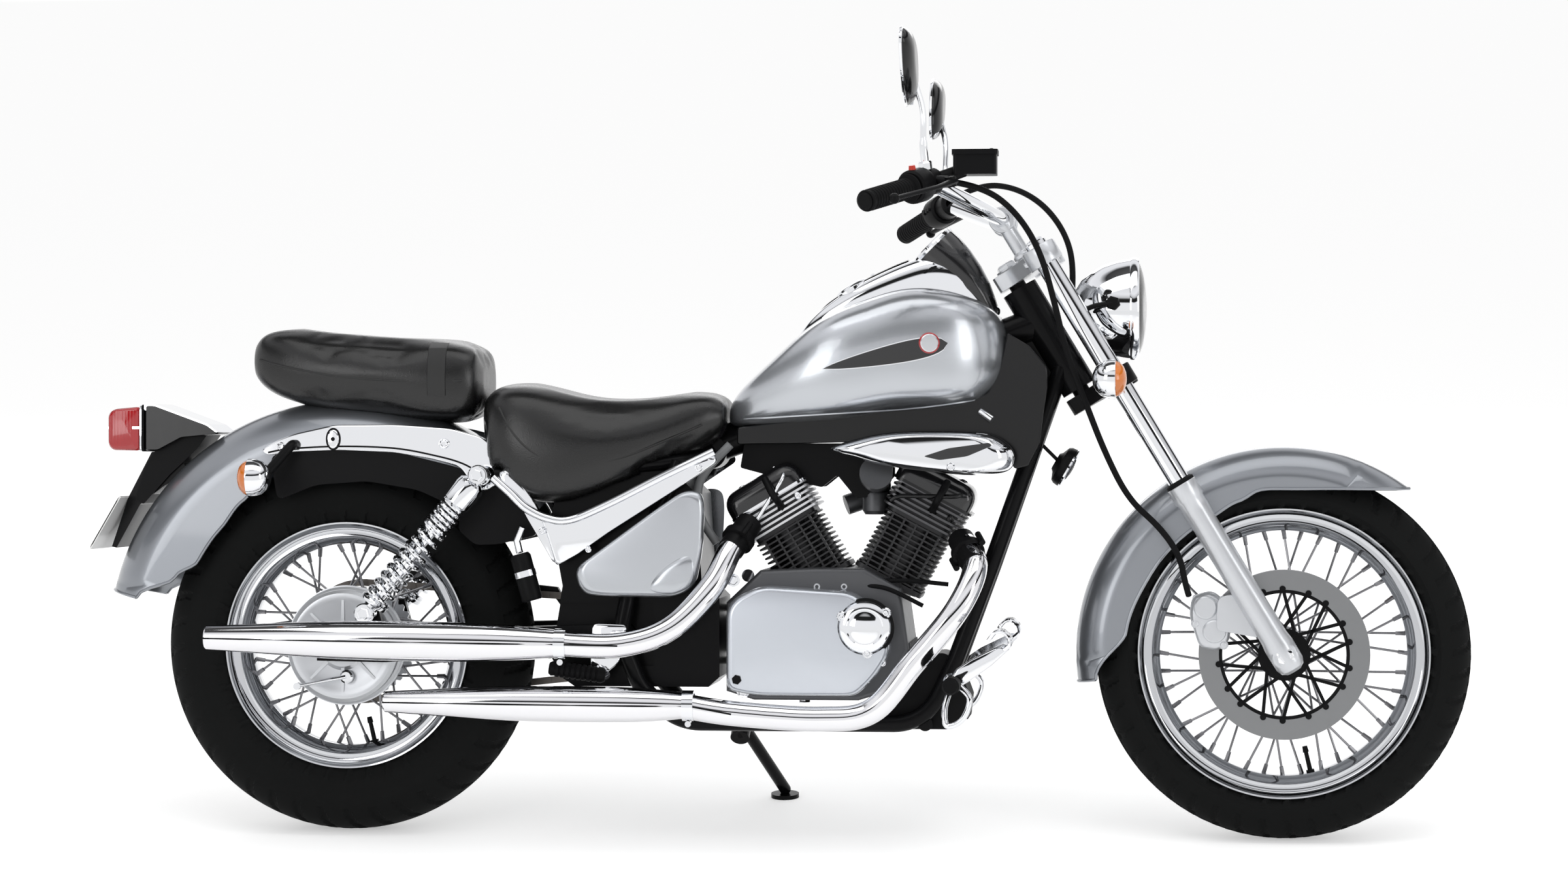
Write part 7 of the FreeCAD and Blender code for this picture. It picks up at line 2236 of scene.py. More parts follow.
class Horn:
    """Round horn on its stay, ahead of the downtubes."""

    def build(self) -> None:
        """Make the horn."""
        centre, axis = Vector((1186, 0, 604)), Vector((0.86, 0, -0.5)).normalized()
        body = turned([(0, -18), (14, -18), (18, -14), (30, -9), (33, -4), (34, 6), (30, 9),
                       (28, 6), (20, 7), (18, 11), (6, 13), (0, 13)], centre, axis, 48)
        back = centre - axis * 16
        stay = slab(bent_path([back + LEFT * 9, (1132, 9, 652), (1132, -9, 652), back - LEFT * 9],
                              4, 3, closed=True), Vector((3, 0, 5)))
        publish(body.add(stay), "horn_body", Body.CHASSIS, Paint.BLACK, ["horn"])
        rim = turned([(30, 6), (34.5, 5), (35, 8), (32, 10), (30, 9)], centre, axis, 48,
                     closed=True)
        publish(rim, "horn_rim", Body.CHASSIS, Paint.CHROME)


class Regulator:
    """Low black box with cooling ribs ahead of the engine."""

    def build(self) -> None:
        """Make the box and its ribs."""
        box = sheet([(920, 177), (899, 196), (901, 214), (915, 238), (937, 262), (957, 296),
                     (990, 302), (1008, 292), (1029, 230), (1025, 190), (1000, 177)], 7, -61, 122)
        publish(box, "regulator_box", Body.CHASSIS, Paint.BLACK, ["regulator"], bevel=2.0)
        rib = slab(side_view([(1006, 292), (1012, 290), (1034, 230), (1030, 194), (1022, 194)],
                             -60), LEFT * 3)
        ribs = REPEAT.row(rib, 15, LEFT * 8.35, Paint.BLACK.material())
        publish(ribs, "regulator_ribs", Body.CHASSIS, Paint.BLACK)


class FootControls:
    """Forward pegs, brake pedal and shift lever on their stays, and the passenger's pegs."""

    def stay(self) -> Shape:
        """Chrome stay, pedal arm with its curled pad, and the guard loop below."""
        way = smooth_path([(1004, 66, 264), (1006, 120, 262), (1010, 166, 260),
                           (1012, 190, 258)], 8)
        shape = tube(way, 9, 20)
        shape.add(puffed([(1004, 262), (1014, 280), (1040, 298), (1094, 324), (1104, 316),
                          (1074, 288), (1040, 264), (1020, 252)], 5, 168, 10, 0.2, 4, 0.3))
        hook = smooth_path(side_view([(1095, 315), (1104, 324), (1101, 337), (1091, 344),
                                      (1080, 342), (1070, 330)], 168), 6)
        for step in range(12):
            shape.add(tube([point + LEFT * step * 4.9 for point in hook], 3.4, 10))
        shape.add(turned([(0, -14), (12, -14), (14, -10), (14, 12), (11, 16), (0, 16)],
                         (1010, 160, 262), LEFT, 24))
        loop = smooth_path([(1008, 176, 252), (1000, 196, 222), (1004, 204, 194),
                            (1028, 206, 204), (1040, 204, 236), (1024, 196, 256)], 8)
        return shape.add(tube(loop, 5, 14))

    @staticmethod
    def ribs(count: int, first: float, pitch: float, rib: float, crest: float,
             groove: float) -> list[tuple[float, float]]:
        """Profile for turned(): ribs along a sleeve, with grooves between them."""
        return [(radius, first + step * pitch + along) for step in range(count)
                for radius, along in ((crest, 0), (crest, rib), (groove, rib + 1),
                                      (groove, pitch - 1))]

    def rubber(self) -> Shape:
        """Ribbed rubber on the peg."""
        start, end = Vector((1012, 188, 258)), Vector((1014, 300, 262))
        profile = [(0, 0), (10, 0), (13, 3), *self.ribs(13, 6, 7.6, 4.4, 14, 12.2),
                   (13, 106), (11, 109), (0, 109)]
        return turned(profile, start, end - start, 32)

    def peg_bracket(self) -> Shape:
        """Triangular bracket of the passenger's peg."""
        shape = puffed([(428, 352), (486, 350), (472, 288), (442, 264), (424, 270)], 10,
                       149, 7, 0.06, 3, 0.4)
        return shape.add(rod((440, 152, 278), (452, 172, 268), 8),
                         rod((470, 134, 330), (470, 156, 330), 13),
                         bolt((470, 157, 330), LEFT, 10, 6))

    def peg_rubber(self) -> Shape:
        """Rubber sleeve of the folded passenger's peg."""
        start, end = Vector((452, 171, 268)), Vector((360, 174, 280))
        profile = [(0, 0), (9, 0), (12, 4), *self.ribs(9, 7, 8.6, 5, 13, 11.2),
                   (12, 88), (9, 92), (0, 92)]
        return turned(profile, start, end - start, 28)

    def build(self) -> None:
        """Make everything for the feet."""
        publish_all(
            Body.CHASSIS,
            (self.stay().both_sides(), "peg_stays", Paint.CHROME, "foot_controls"),
            (self.rubber().both_sides(), "peg_rubbers", Paint.RUBBER),
            (self.peg_bracket().both_sides(), "pillion_brackets", Paint.CHROME, "passenger_pegs"),
            (self.peg_rubber().both_sides(), "pillion_rubbers", Paint.RUBBER))


# Rear fender, struts and lamps


class RearFender:
    """Bobbed rear fender, with painted shade in black below its struts and ahead of the tyre."""

    def build(self) -> None:
        """Make the shell in paint, and in black the painted shade below the struts."""
        hem = blend_steps([(37, 300), (52, 296), (70, 322), (84, 330), (100, 326), (112, 314),
                           (124, 290), (136, 279), (150, 277), (158, 300), (167, 352)])
        Fender("rear_fender_shell", Body.CHASSIS, REAR_AXLE, Paint.FENDER, 405, 95, 4, 60,
               37, 167, hem).build(["rear_fender"])
        # painted shade: black sheet over the fender's lower side below the struts
        shade_sheet = sheet([(-116, 622), (-82, 629), (0, 632), (92, 628), (160, 612), (206, 600),
                       (240, 570), (262, 520), (232, 506), (196, 536), (130, 566), (46, 580),
                       (-40, 574), (-104, 548)], 14, 89, 10.5)
        publish(shade_sheet.both_sides(), "fender_shade_sheets", Body.CHASSIS, Paint.BLACK)
        # painted shade: black sheet over the fender's lower front, ahead of the tyre
        front_shade_sheet = sheet([(198, 500), (226, 476), (263, 477), (328, 492), (318, 530), (296, 560),
                      (262, 572), (226, 560), (204, 548)], 9, 84, 16)
        publish(front_shade_sheet.both_sides(), "fender_front_shade", Body.CHASSIS, Paint.BLACK)


class Struts:
    """Chrome struts along the fender with their bosses and bolts."""

    outline: tuple = ((-131, 631), (-106, 646), (-73, 658), (-9, 672), (92, 673), (183, 667),
                      (238, 652), (268, 630), (270, 578), (240, 562), (214, 586), (202, 604),
                      (156, 616), (92, 627), (0, 631), (-82, 628), (-120, 622))

    def plate(self) -> Shape:
        """Strut plate."""
        return sheet(self.outline, 12, 95.4, 10)

    def boss(self) -> tuple[Shape, Shape]:
        """Oval boss with its tapped hole, and the dark line round it."""
        def oval(long: float, tall: float, left: float) -> list[Vector]:
            turns = [k * math.pi / 18 for k in range(36)]
            return side_view([(-9 + long * math.cos(turn), 649 + tall * math.sin(turn))
                              for turn in turns], left)

        chrome = pillow(oval(10, 16, 104), LEFT * 5, 0.25, 4, 0.4)
        return chrome, slab(oval(12.5, 18.5, 104.4), LEFT * 1.6)

    def groove(self) -> Shape:
        """Painted dark reflection: black line along the strut's lower edge."""
        way = smooth_path(side_view([(-118, 627), (-82, 633), (0, 637), (92, 634), (160, 622),
                                     (206, 609), (240, 590)], 105.2), 6)
        return tube(way, 1.6, 8)

    def build(self) -> None:
        """Make both struts."""
        publish(self.plate().both_sides(), "strut_plates", Body.CHASSIS, Paint.CHROME,
                ["fender_struts"], bevel=2.5)
        chrome, dark = self.boss()
        hollow = turned(band(0, 3.4, 0, 1.2), (-9, 109, 649), LEFT, 20)
        publish_all(
            Body.CHASSIS,
            (chrome.both_sides(), "strut_bosses", Paint.CHROME),
            # the black line along each strut's lower edge is a painted dark reflection
            (dark.add(self.groove(), hollow).both_sides(), "strut_lines", Paint.BLACK))
        bolts = Shape().add(dome_screw((176, 105, 641), LEFT, 9, 6),
                            dome_screw((-96, 105, 637), LEFT, 7, 4),
                            rod((240, 104, 590), (240, 158, 590), 8),
                            bolt((240, 157, 590), LEFT, 10, 8))
        publish(bolts.both_sides(), "strut_bolts", Body.CHASSIS, Paint.CHROME)


@dataclass
class Shocks:
    """Coil-over shocks with chrome springs."""

    foot: Vector = Vector((52, 140, 365))
    top: Vector = Vector((240, 140, 590))
    seat: float = 31.0
    close_coils: float = 112.0
    cap: float = 62.0

    def damper(self) -> Shape:
        """Damper body, shaft, eyes, spring seats and the top cap."""
        run = self.top - self.foot
        long, axis = run.length, run.normalized()
        shape = turned([(0, 8), (12, 8), (13, 16), (13, 110), (8, 112), (8, long - 40),
                        (0, long - 40)], self.foot, axis, 32)
        shape.add(turned([(10, 20), (23, 20), (24, 23), (24, 27), (20, self.seat),
                          (10, self.seat)], self.foot, axis, 40, closed=True))
        cap = [(8, long - self.cap), (21, long - self.cap), (24.5, long - 58), (24.5, long - 26),
               (22, long - 18), (14, long - 12), (8, long - 12)]
        shape.add(turned(cap, self.foot, axis, 40, closed=True))
        for end in (self.foot, self.top):
            shape.add(turned([(8.2, -13), (15, -13), (17, -10), (17, 10), (15, 13), (8.2, 13)], end,
                             LEFT, 36, closed=True))
        shape.add(bolt(self.foot + LEFT * 14, LEFT, 10, 7))
        return shape

    def springs(self) -> bpy.types.Mesh:
        """Open coils below, close coils above."""
        run = self.top - self.foot
        axis, long = run.normalized(), run.length
        finish = Paint.CHROME.material()
        meshes = []
        for side in (1, -1):
            start = self.foot + axis * self.seat
            near = self.foot + axis * (long - self.close_coils)
            stop = self.foot + axis * (long - self.cap)
            start, near, stop = (Vector((p.x, side * p.y, p.z)) for p in (start, near, stop))
            meshes += [REPEAT.coil(start, near, 20, 3.9, 9.5, finish),
                       REPEAT.coil(near, stop, 20, 3.6, 5.5, finish)]
        return join(meshes, "shock_springs")

    def build(self) -> None:
        """Make both shocks."""
        publish_all(
            Body.CHASSIS,
            (self.damper().both_sides(), "shock_dampers", Paint.CHROME, "rear_shocks"),
            (self.springs(), "shock_springs", Paint.CHROME))


class TailLamp:
    """Tail lamp: black housing with a chrome strip, and a red lens in a chrome frame."""

    @staticmethod
    def lofted(line: Pairs, middle: tuple[float, float], ends: Pairs) -> Shape:
        """Body across the machine whose outline shrinks at both ends.

        Args:
            line: Outline as (ahead, height) pairs.
            middle: Where it shrinks to.
            ends: Right half as (distance to the left, share of the outline) pairs.

        Returns:
            The body.
        """
        both = [*ends, *((-left, share) for left, share in reversed(ends))]
        return skin([side_view([(middle[0] + (x - middle[0]) * share,
                                 middle[1] + (z - middle[1]) * share) for x, z in line], left)
                     for left, share in both])

    def housing(self) -> Shape:
        """Wedge-shaped housing on the fender's tail."""
        line = bent([(-212, 658), (-231, 672), (-324, 706), (-338, 706), (-338, 630), (-318, 630),
                     (-276, 652)], 4)
        return self.lofted(line, (-285, 668), ((-61.5, 0.9), (-61.5, 0.95), (-58, 1.0)))

    def strip(self) -> Shape:
        """Chrome strip along the housing's top."""
        return sheet([(-214, 660), (-231, 674), (-324, 708), (-339, 708), (-339, 697),
                      (-323, 697), (-236, 665)], 3, -61, 122)

    def lens(self) -> Shape:
        """Red lens block with soft edges."""
        line = bent([(-348, 703), (-392, 699), (-402, 690), (-402, 640), (-394, 631),
                     (-348, 630)], 6)
        return self.lofted(line, (-372, 667), ((-58.5, 0.86), (-57.5, 0.94), (-54, 1.0)))

    def frame(self) -> Shape:
        """Chrome frame behind the lens and the strip across its face."""
        line = front_view([(-60, 630), (60, 630), (60, 705), (-60, 705)], -344)
        shape = slab(bent_path(line, 8, 4, closed=True), AHEAD * -3)
        strip = [Vector((x, y, 668)) for x, y in ((-348, -59.2), (-404, -56), (-404, 56),
                                                  (-348, 59.2))]
        return shape.add(skin([[point + UP * rise for point in strip] for rise in (-2, 2)]))

    def gasket(self) -> Shape:
        """Black gasket between the frame and the housing."""
        line = front_view([(-61, 628.5), (61, 628.5), (61, 706.5), (-61, 706.5)], -340)
        return slab(bent_path(line, 9, 4, closed=True), AHEAD * -4)

    def build(self) -> None:
        """Make the lamp."""
        publish_all(
            Body.CHASSIS,
            (self.housing(), "tail_housing", Paint.GLOSS_METAL, "tail_lamp"),
            (self.strip(), "tail_strip", Paint.CHROME),
            (self.lens(), "tail_lens", Paint.RED_LENS, "tail_lamp_lens"),
            (self.frame(), "tail_frame", Paint.CHROME),
            (self.gasket(), "tail_gasket", Paint.RUBBER))
        under = sheet([(-318, 640), (-231, 664), (-252, 634), (-300, 590), (-345, 540),
                       (-358, 552), (-340, 606)], 5, -46, 92)
        publish(under, "tail_foot", Body.CHASSIS, Paint.BLACK)


@dataclass
class Plate:
    """What is on the blank number plate: a thin black border and two screws."""

    top: Vector = Vector((-371, 0, 553))
    tilt: float = math.radians(30.4)

    def build(self) -> None:
        """Make the border and the screws."""
        down = Vector((-math.sin(self.tilt), 0, -math.cos(self.tilt)))
        out = Vector((-math.cos(self.tilt), 0, math.sin(self.tilt)))
        corners = [self.top + LEFT * side * 88 + down * drop
                   for side, drop in ((-1, 1), (1, 1), (1, 99), (-1, 99))]
        line = bent_path(corners, 8, 5, closed=True)
        border = tube([point + out * 2.2 for point in line] + [line[0] + out * 2.2], 1.3, 8)
        publish(border, "plate_border", Body.CHASSIS, Paint.BLACK)
        screws = Shape()
        for side in (-1, 1):
            screws.add(dome_screw(self.top + LEFT * side * 44 + down * 12 + out * 2, out, 5, 3))
        publish(screws, "plate_screws", Body.CHASSIS, Paint.CHROME)


# Rear brake, drive and stand


class RearBrake:
    """Fixed brake panel with its arm."""

    def panel(self) -> Shape:
        """Cast panel with a raised ring and ribs."""
        inner, outer = 65, 77
        profile = [(10.4, inner), (92, inner), (92, outer - 6), (87, outer - 1), (80, outer),
                   (72, outer - 3), (40, outer - 4), (34, outer), (10.4, outer)]
        shape = turned(profile, REAR_AXLE, -LEFT, 72, closed=True)
        for turn in range(0, 360, 45):
            out = outward(math.radians(turn))
            across = LEFT.cross(out)
            foot = REAR_AXLE - LEFT * (outer - 4.5) + out * 36
            line = [foot - across * 3, foot + out * 40 - across * 2, foot + out * 40 + across * 2,
                    foot + across * 3]
            shape.add(slab(line, LEFT * -3.5))
        return shape

    def arm(self) -> Shape:
        """Brake arm with its pivot and the pin at its tip."""
        pivot = Vector((8, -76, 258))
        tip = Vector((-74, -84, 242))
        shape = turned(button(11, 0, 9, 8, 12), pivot, -LEFT, 24)
        shape.add(tube([pivot - LEFT * 8, tip], [8, 5], 16, flat=0.5))
        shape.add(turned(band(0, 6, -6, 6), tip, LEFT, 16))
        return shape

    def build(self) -> None:
        """Make the brake."""
        publish_all(
            Body.CHASSIS,
            (self.panel(), "brake_panel", Paint.ALLOY, "rear_brake_panel"),
            (self.arm(), "brake_arm", Paint.CHROME))


@dataclass
class Swingarm:
    """What is fitted to the swingarm: axle nuts, chain adjusters and pivot caps."""

    place: float = 104.0

    def build(self) -> None:
        """Make the fittings."""
        shape = Shape()
        for side in (-1, 1):
            out = LEFT * side
            nut = REAR_AXLE + out * (self.place + 12)
            shape.add(turned(band(0, 19, 0, 3), nut, out, 32))
            shape.add(turned(button(14.5, 3, 15, 12.5, 17), nut, out, 6))
            back = Vector((-34, side * self.place, 308))
            shape.add(rod(back + AHEAD * 4, back - AHEAD * 20, 4, sides=12))
            shape.add(turned(band(0, 9, 6, 12), back, -AHEAD, 6))
            cap = [(0, 0), (15, 0), (15, 4), (10, 6), (10, 12), (0, 12)]
            shape.add(turned(cap, (470, side * 134, 330), out, 24))
        publish(shape, "swingarm_fittings", Body.CHASSIS, Paint.CHROME)


@dataclass
class DriveChain:
    """Roller chain in links along the CAD node's band."""

    left: float = 80.0
    rear_radius: float = 99.0
    front_radius: float = 42.3
    front: Vector = Vector((655, 0, 324))
    pitch: float = 15.875

    def line(self) -> tuple[Vector, Vector, Vector, Vector, float, float]:
        """Ends of both straight runs and the turns they leave at."""
        run = self.front - REAR_AXLE
        angle = math.atan2(run.z, run.x)
        tilt = math.acos((self.rear_radius - self.front_radius) / run.length)
        ends = []
        for turn in (angle + tilt, angle - tilt):
            out = outward(turn)
            ends += [REAR_AXLE + out * self.rear_radius, self.front + out * self.front_radius]
        return ends[0], ends[1], ends[2], ends[3], angle + tilt, angle - tilt

    def link(self, centre: Vector, along: Vector, wide: bool) -> Shape:
        """One link: two plates and the rollers at its ends."""
        half = self.pitch / 2
        across = LEFT.cross(along)
        shape = Shape()
        offset = 5.6 if wide else 3.9
        for side in (-1, 1):
            face = centre + LEFT * (self.left + side * offset)
            ring = []
            for sign in (-1, 1):
                for k in range(5):
                    turn = math.radians(-90 + 45 * k)
                    ring.append(face + along * sign * (half + 5.2 * math.cos(turn))
                                + across * sign * 5.6 * math.sin(turn))
            shape.add(slab(ring, LEFT * side * 1.5))
        reach, radius, sides = (7, 2.2, 8) if wide else (3.8, 4.4, 10)
        for sign in (-1, 1):
            joint_at = centre + along * half * sign
            shape.add(rod(joint_at + LEFT * (self.left - reach),
                          joint_at + LEFT * (self.left + reach), radius, sides=sides))
        return shape

    def build(self) -> None:
        """Make both runs and both bends."""
        upper, upper_end, lower, lower_end, high, low = self.line()
        finish = Paint.CHAIN.material()
        meshes = []
        for start, end in ((upper, upper_end), (lower, lower_end)):
            run = end - start
            along = run.normalized()
            count = int(run.length / self.pitch / 2)
            step = run / count
            for wide, shift in ((True, 0.25), (False, 0.75)):
                link = self.link(start + step * shift, along, wide)
                meshes.append(REPEAT.row(link, count, step, finish))
        for centre, radius, sweep in ((REAR_AXLE, self.rear_radius, 2 * math.pi - (high - low)),
                                      (self.front, self.front_radius, high - low)):
            count = max(2, round(sweep * radius / self.pitch / 2))
            first = high if centre is REAR_AXLE else low
            for wide, shift in ((True, 0.25), (False, 0.75)):
                turn = first + sweep / count * shift
                out = outward(turn)
                link = self.link(centre + out * radius, LEFT.cross(out), wide)
                meshes.append(REPEAT.ring(link, count, centre, -LEFT, finish, sweep))
        publish(join(meshes, "chain_links"), "chain_links", Body.CHASSIS, Paint.CHAIN, ["chain"])


class Stand:
    """Pivot bolt of the side stand."""

    def build(self) -> None:
        """Make the bolt."""
        entry = joint("stand_pivot")
        pivot = TO_BIKE @ Vector(entry["pos_m"])
        axis = (TO_BIKE.to_3x3() @ Vector(entry["axis"])).normalized()
        publish(bolt(pivot + axis * 12, axis, 10, 8), "stand_bolt", Body.STAND, Paint.CHROME)


# Cords


@dataclass
class Cord:
    """Hose or cable that lies along the points of its route."""

    name: str
    node: str
    body: Body
    finish: Finish
    diameter: float
    points: tuple
    stiffness: str = "medium"

    def build(self) -> None:
        route = [TO_ROW @ Vector(point) for point in self.points]
        curve = bpy.data.curves.new(self.name, "CURVE")
        curve.dimensions = "3D"
        spline = curve.splines.new("NURBS")
        spline.points.add(len(route) - 1)
        for place, point in zip(spline.points, route):
            place.co = (*point, 1)
        spline.order_u = 3
        spline.use_endpoint_u = True
        spline.resolution_u = 12
        cord = bpy.data.objects.new(self.name, curve)
        bpy.context.scene.collection.objects.link(cord)
        graph = bpy.context.evaluated_depsgraph_get()
        line = bpy.data.meshes.new_from_object(cord.evaluated_get(graph))
        curve.bevel_depth = self.diameter / 2000
        curve.bevel_resolution = 4
        curve.use_fill_caps = True
        curve.materials.append(self.finish.material())
        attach(cord, self.body.value)
        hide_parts(self.node)


BRAKE_HOSE = ((1016, -262, 1052), (1062, -236, 1046), (1112, -205, 1010), (1150, -178, 950),
              (1172, -158, 870), (1190, -142, 790), (1222, -136, 706), (1252, -134, 628),
              (1290, -130, 552), (1340, -128, 508), (1372, -124, 462), (1380, -112, 418),
              (1386, -99, 398))
BAR_CABLES = ((1000, 225, 1064), (1040, 190, 1080), (1096, 140, 1072), (1148, 92, 1040),
              (1186, 56, 988), (1200, 34, 930), (1196, 24, 880))


# What is built

NODE_FINISH: dict[Finish, str] = {
    Paint.FRAME: "frame swingarm plate_bracket battery_box stand_leg",
    Paint.CHROME: ("rear_shocks fender_struts tail_lamp rear_indicators tank_console seat_trims "
                   "air_cleaner_cover foot_controls passenger_pegs headlight_shell handlebar "
                   "mirrors front_indicators"),
    Paint.FENDER: "rear_fender front_fender",
    Paint.RED_LENS: "tail_lamp_lens",
    Paint.PLATE: "number_plate",
    Paint.LEATHER: "rider_seat passenger_seat",
    Paint.SILVER: "fuel_tank side_covers",
    Paint.GLOSS: "speedometer",
    Paint.CAST: "crankcase brake_caliper",
    Paint.COVER: "engine_covers",
    Paint.BARREL: "rear_cylinder front_cylinder",
    Paint.ALLOY: "intake rear_brake_panel fork_upper fork_lowers",
    Paint.PIPE: "exhaust_upper exhaust_lower",
    Paint.BLACK: "horn hand_controls canister regulator",
    Paint.CHAIN: "chain",
    Paint.GLASS: "headlight_lens",
    Paint.RUBBER: "grips brake_hose control_cables",
    Paint.TYRE: "front_tyre rear_tyre",
    Paint.RIM: "front_rim rear_rim",
    Paint.DISC: "brake_disc",
    Paint.GLOSS_METAL: "head_covers",
}

ASSEMBLIES: list = [
    Tyre("front_tyre", Body.FRONT_WHEEL, FRONT_AXLE, 302, 55, 236, 43, 44),
    Tyre("rear_tyre", Body.REAR_WHEEL, REAR_AXLE, 308, 65, 205, 50, 40),
    WireWheel("front_rim", Body.FRONT_WHEEL, FRONT_AXLE, 236, 43, 27, 50, 42, 33, 9.3),
    DrumWheel("rear_rim", Body.REAR_WHEEL, REAR_AXLE, 205, 50, 36, 60, 60, 36, 10.3),
    BrakeDisc(FRONT_AXLE),
    Fork(),
    FrontFender(),
    Headlamp(),
    Signals("front_signals", Body.STEERING, Vector((1256, 180, 744)), AHEAD,
            Vector((1252, 128, 741)), "front_indicators"),
    Handlebar(),
    Tank(),
    SideCovers(),
    Seats(),
    Bank("rear_bank", "rear_cylinder", 31, True),
    Bank("front_bank", "front_cylinder", -28, False),
    EngineCovers(),
    CaseDetails(),
    Intake(),
    Exhaust("upper_exhaust", "exhaust_upper", Vector((-194, -215, 328)),
            Vector((1, 0, -0.012)).normalized(),
            ((19.2, 0), (22.9, 70), (31, 230), (31, 450), (21.7, 585)),
            ((380, -215, 321), (480, -211, 319), (560, -196, 345), (622, -164, 410),
             (650, -128, 470), (676, -84, 512))),
    Exhaust("lower_exhaust", "exhaust_lower", Vector((94, -190, 225)),
            Vector((1, 0, -0.006)).normalized(),
            ((16.8, 0), (20.2, 60), (28, 210), (28, 400), (19.6, 500)),
            ((580, -190, 222), (660, -190, 210), (800, -190, 202), (884, -190, 216),
             (950, -190, 292), (1018, -186, 376), (1046, -150, 446), (1020, -84, 486))),
    Horn(),
    Regulator(),
    FootControls(),
    RearFender(),
    Struts(),
    Shocks(),
    TailLamp(),
    Plate(),
    Signals("rear_signals", Body.CHASSIS, Vector((-116, 190, 586)), -AHEAD,
            Vector((-74, 107, 640)), "rear_indicators"),
    RearBrake(),
    Swingarm(),
    DriveChain(),
    Stand(),
    Cord("brake_line", "brake_hose", Body.STEERING, Paint.RUBBER, 10, BRAKE_HOSE),
    Cord("bar_cables", "control_cables", Body.STEERING, Paint.RUBBER, 10, BAR_CABLES),
]


# Stage and camera


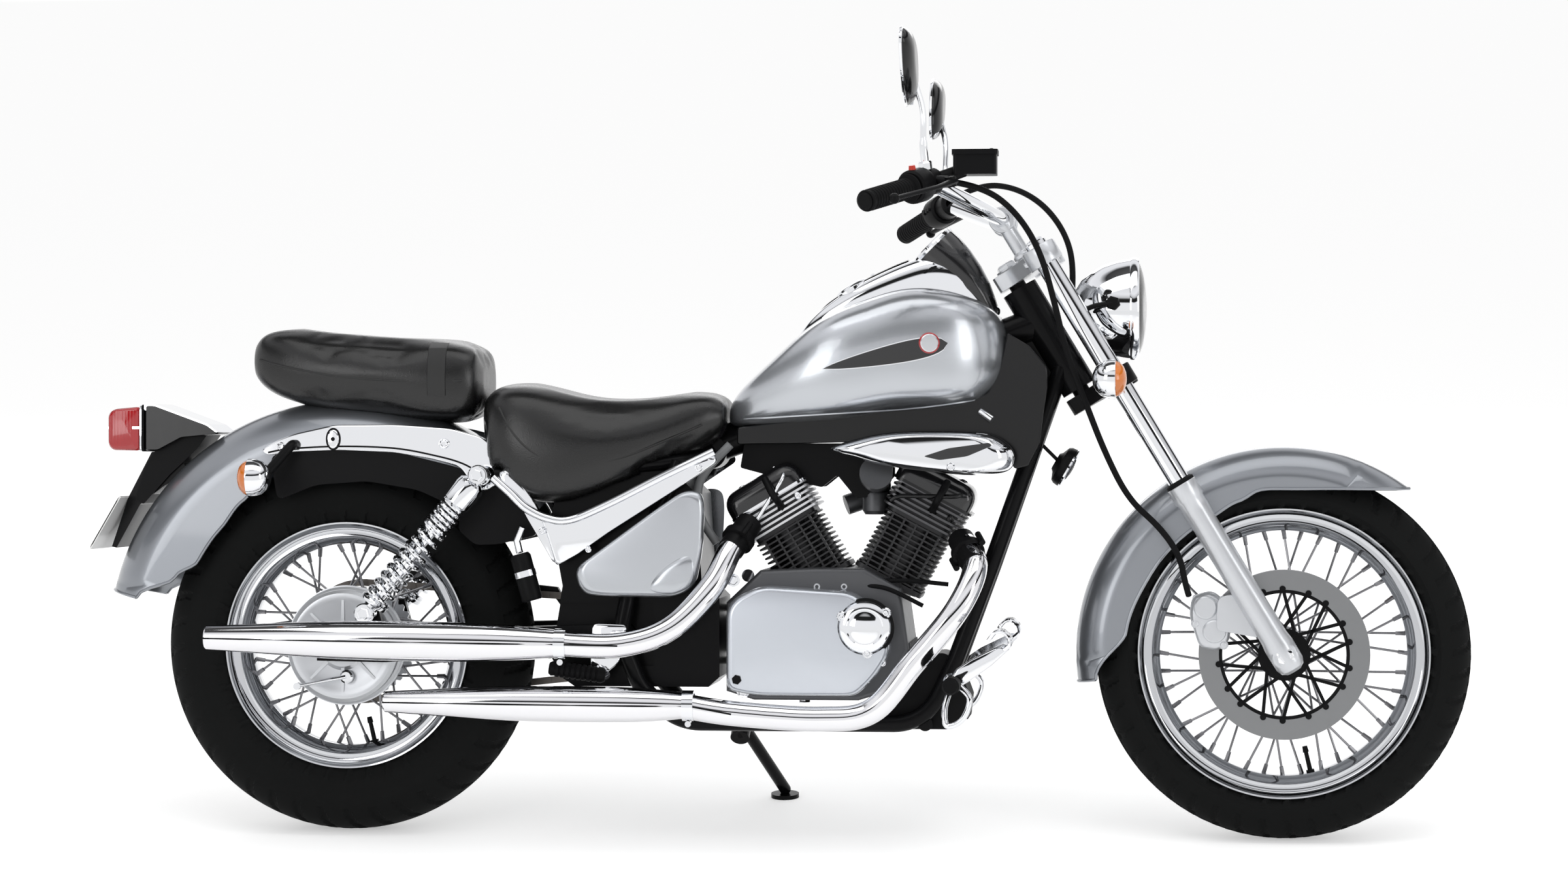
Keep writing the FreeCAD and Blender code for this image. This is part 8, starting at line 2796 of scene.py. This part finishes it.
class Studio:
    """Pale floor, soft lights and the camera at the photograph's angle."""

    focal_px: float = 5580.0
    frame_px: float = 2400.0
    sensor: float = 36.0
    heading: float = math.radians(5.78)
    eye: Vector = Vector((1329, -5981.5, 636))
    floor_lift: float = 0.42
    room_light: float = 0.62
    floor_shade: float = 0.88
    floor_radius: float = 400.0
    bands: tuple = ((0.31, 1.0), (0.34, 0.02), (0.45, 0.015), (0.52, 0.7), (0.62, 1.0), (0.78, 0.9),
                    (0.86, 0.05))

    def camera(self) -> None:
        """Camera that sees the machine as the photograph does."""
        data = bpy.data.cameras.new("photo_camera")
        data.sensor_width = self.sensor
        data.lens = self.focal_px * self.sensor / self.frame_px
        data.clip_end = 100
        right = Vector((math.cos(self.heading), math.sin(self.heading), 0))
        back = Vector((math.sin(self.heading), -math.cos(self.heading), 0))
        turn = TO_ROW.to_3x3().normalized() @ Matrix((right, UP, back)).transposed()
        camera = bpy.data.objects.new("photo_camera", data)
        camera.matrix_world = Matrix.Translation(TO_ROW @ self.eye) @ turn.to_4x4()
        bpy.context.scene.collection.objects.link(camera)
        bpy.context.scene.camera = camera

    @staticmethod
    def seen(tree: bpy.types.NodeTree) -> bpy.types.NodeSocket:
        """Socket that is 1 for what the camera, polished metal and glass see."""
        path = tree.nodes.new("ShaderNodeLightPath").outputs
        first = wired(tree, "ShaderNodeMath",
                      {0: path["Is Camera Ray"], 1: path["Is Glossy Ray"]}, operation="MAXIMUM")
        return wired(tree, "ShaderNodeMath",
                     {0: first.outputs[0], 1: path["Is Transmission Ray"]},
                     operation="MAXIMUM").outputs[0]

    def floor(self) -> None:
        """Wide white floor that keeps the machine's shadow."""
        material = bpy.data.materials.new("StudioFloor")
        material.use_nodes = True
        tree = material.node_tree
        shader = tree.nodes["Principled BSDF"]
        for label, value in (("Base Color", (*[self.floor_shade] * 3, 1)), ("Roughness", 0.9),
                             ("Specular IOR Level", 0.0), ("Emission Color", (1, 1, 1, 1))):
            shader.inputs[label].default_value = value
        lift = wired(tree, "ShaderNodeMath", {0: self.seen(tree), 1: self.floor_lift},
                     operation="MULTIPLY")
        tree.links.new(lift.outputs[0], shader.inputs["Emission Strength"])
        bpy.ops.mesh.primitive_circle_add(vertices=96, radius=self.floor_radius, fill_type="NGON")
        floor = bpy.context.object
        floor.name = "studio_floor"
        floor.data.materials.append(material)

    def world(self) -> None:
        """White backdrop with dark and bright bands above it, and plain light for the rest."""
        world = bpy.data.worlds.new("StudioWorld")
        bpy.context.scene.world = world
        world.use_nodes = True
        tree = world.node_tree
        place = tree.nodes.new("ShaderNodeTexCoord").outputs["Generated"]
        split = wired(tree, "ShaderNodeSeparateXYZ", {0: place})
        ramp = wired(tree, "ShaderNodeValToRGB", {"Fac": split.outputs["Z"]})
        levels = ramp.color_ramp.elements
        levels[0].position, levels[0].color = 0.0, (1, 1, 1, 1)
        levels[1].position, levels[1].color = 1.0, (0.10, 0.10, 0.10, 1)
        for height, shade in self.bands:
            levels.new(height).color = (shade, shade, shade * 1.02, 1)
        backdrop = tree.nodes["Background"]
        tree.links.new(ramp.outputs["Color"], backdrop.inputs["Color"])
        plain = wired(tree, "ShaderNodeBackground",
                      {"Color": (1, 1, 1, 1), "Strength": self.room_light})
        mix = wired(tree, "ShaderNodeMixShader", {0: self.seen(tree), 1: plain.outputs[0],
                                                  2: backdrop.outputs[0]})
        tree.links.new(mix.outputs[0], tree.nodes["World Output"].inputs["Surface"])

    def light(self, name: str, place: Vector, target: Vector, size: tuple[float, float],
              power: float) -> None:
        """One soft rectangular light that faces a target, in row frame metres."""
        data = bpy.data.lights.new(name, "AREA")
        data.shape = "RECTANGLE"
        data.size, data.size_y = size
        data.energy = power
        lamp = bpy.data.objects.new(name, data)
        lamp.location = place
        lamp.rotation_euler = (target - place).to_track_quat("-Z", "Y").to_euler()
        bpy.context.scene.collection.objects.link(lamp)

    def build(self) -> None:
        """Set the whole stage."""
        self.camera()
        self.floor()
        self.world()
        middle = Vector((0, 0, 0.5))
        self.light("overhead_softbox", Vector((0.2, -0.8, 3.6)), middle, (4.2, 2.0), 45)
        self.light("front_softbox", Vector((-2.6, -4.4, 2.2)), middle, (1.6, 2.4), 30)
        self.light("side_softbox", Vector((3.8, -2.6, 1.8)), middle, (1.0, 2.2), 20)
        self.light("back_softbox", Vector((0.0, 4.2, 2.4)), middle, (3.4, 1.6), 30)
        bpy.context.scene.view_settings.view_transform = "Standard"


def main() -> None:
    """Dress every sub-assembly, then set the stage."""
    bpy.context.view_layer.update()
    for finish, nodes in NODE_FINISH.items():
        for node in nodes.split():
            dress(node, finish)
    for assembly in ASSEMBLIES:
        LOG.info("building %s", type(assembly).__name__)
        assembly.build()
    Studio().build()


if __name__ == "__main__":
    main()
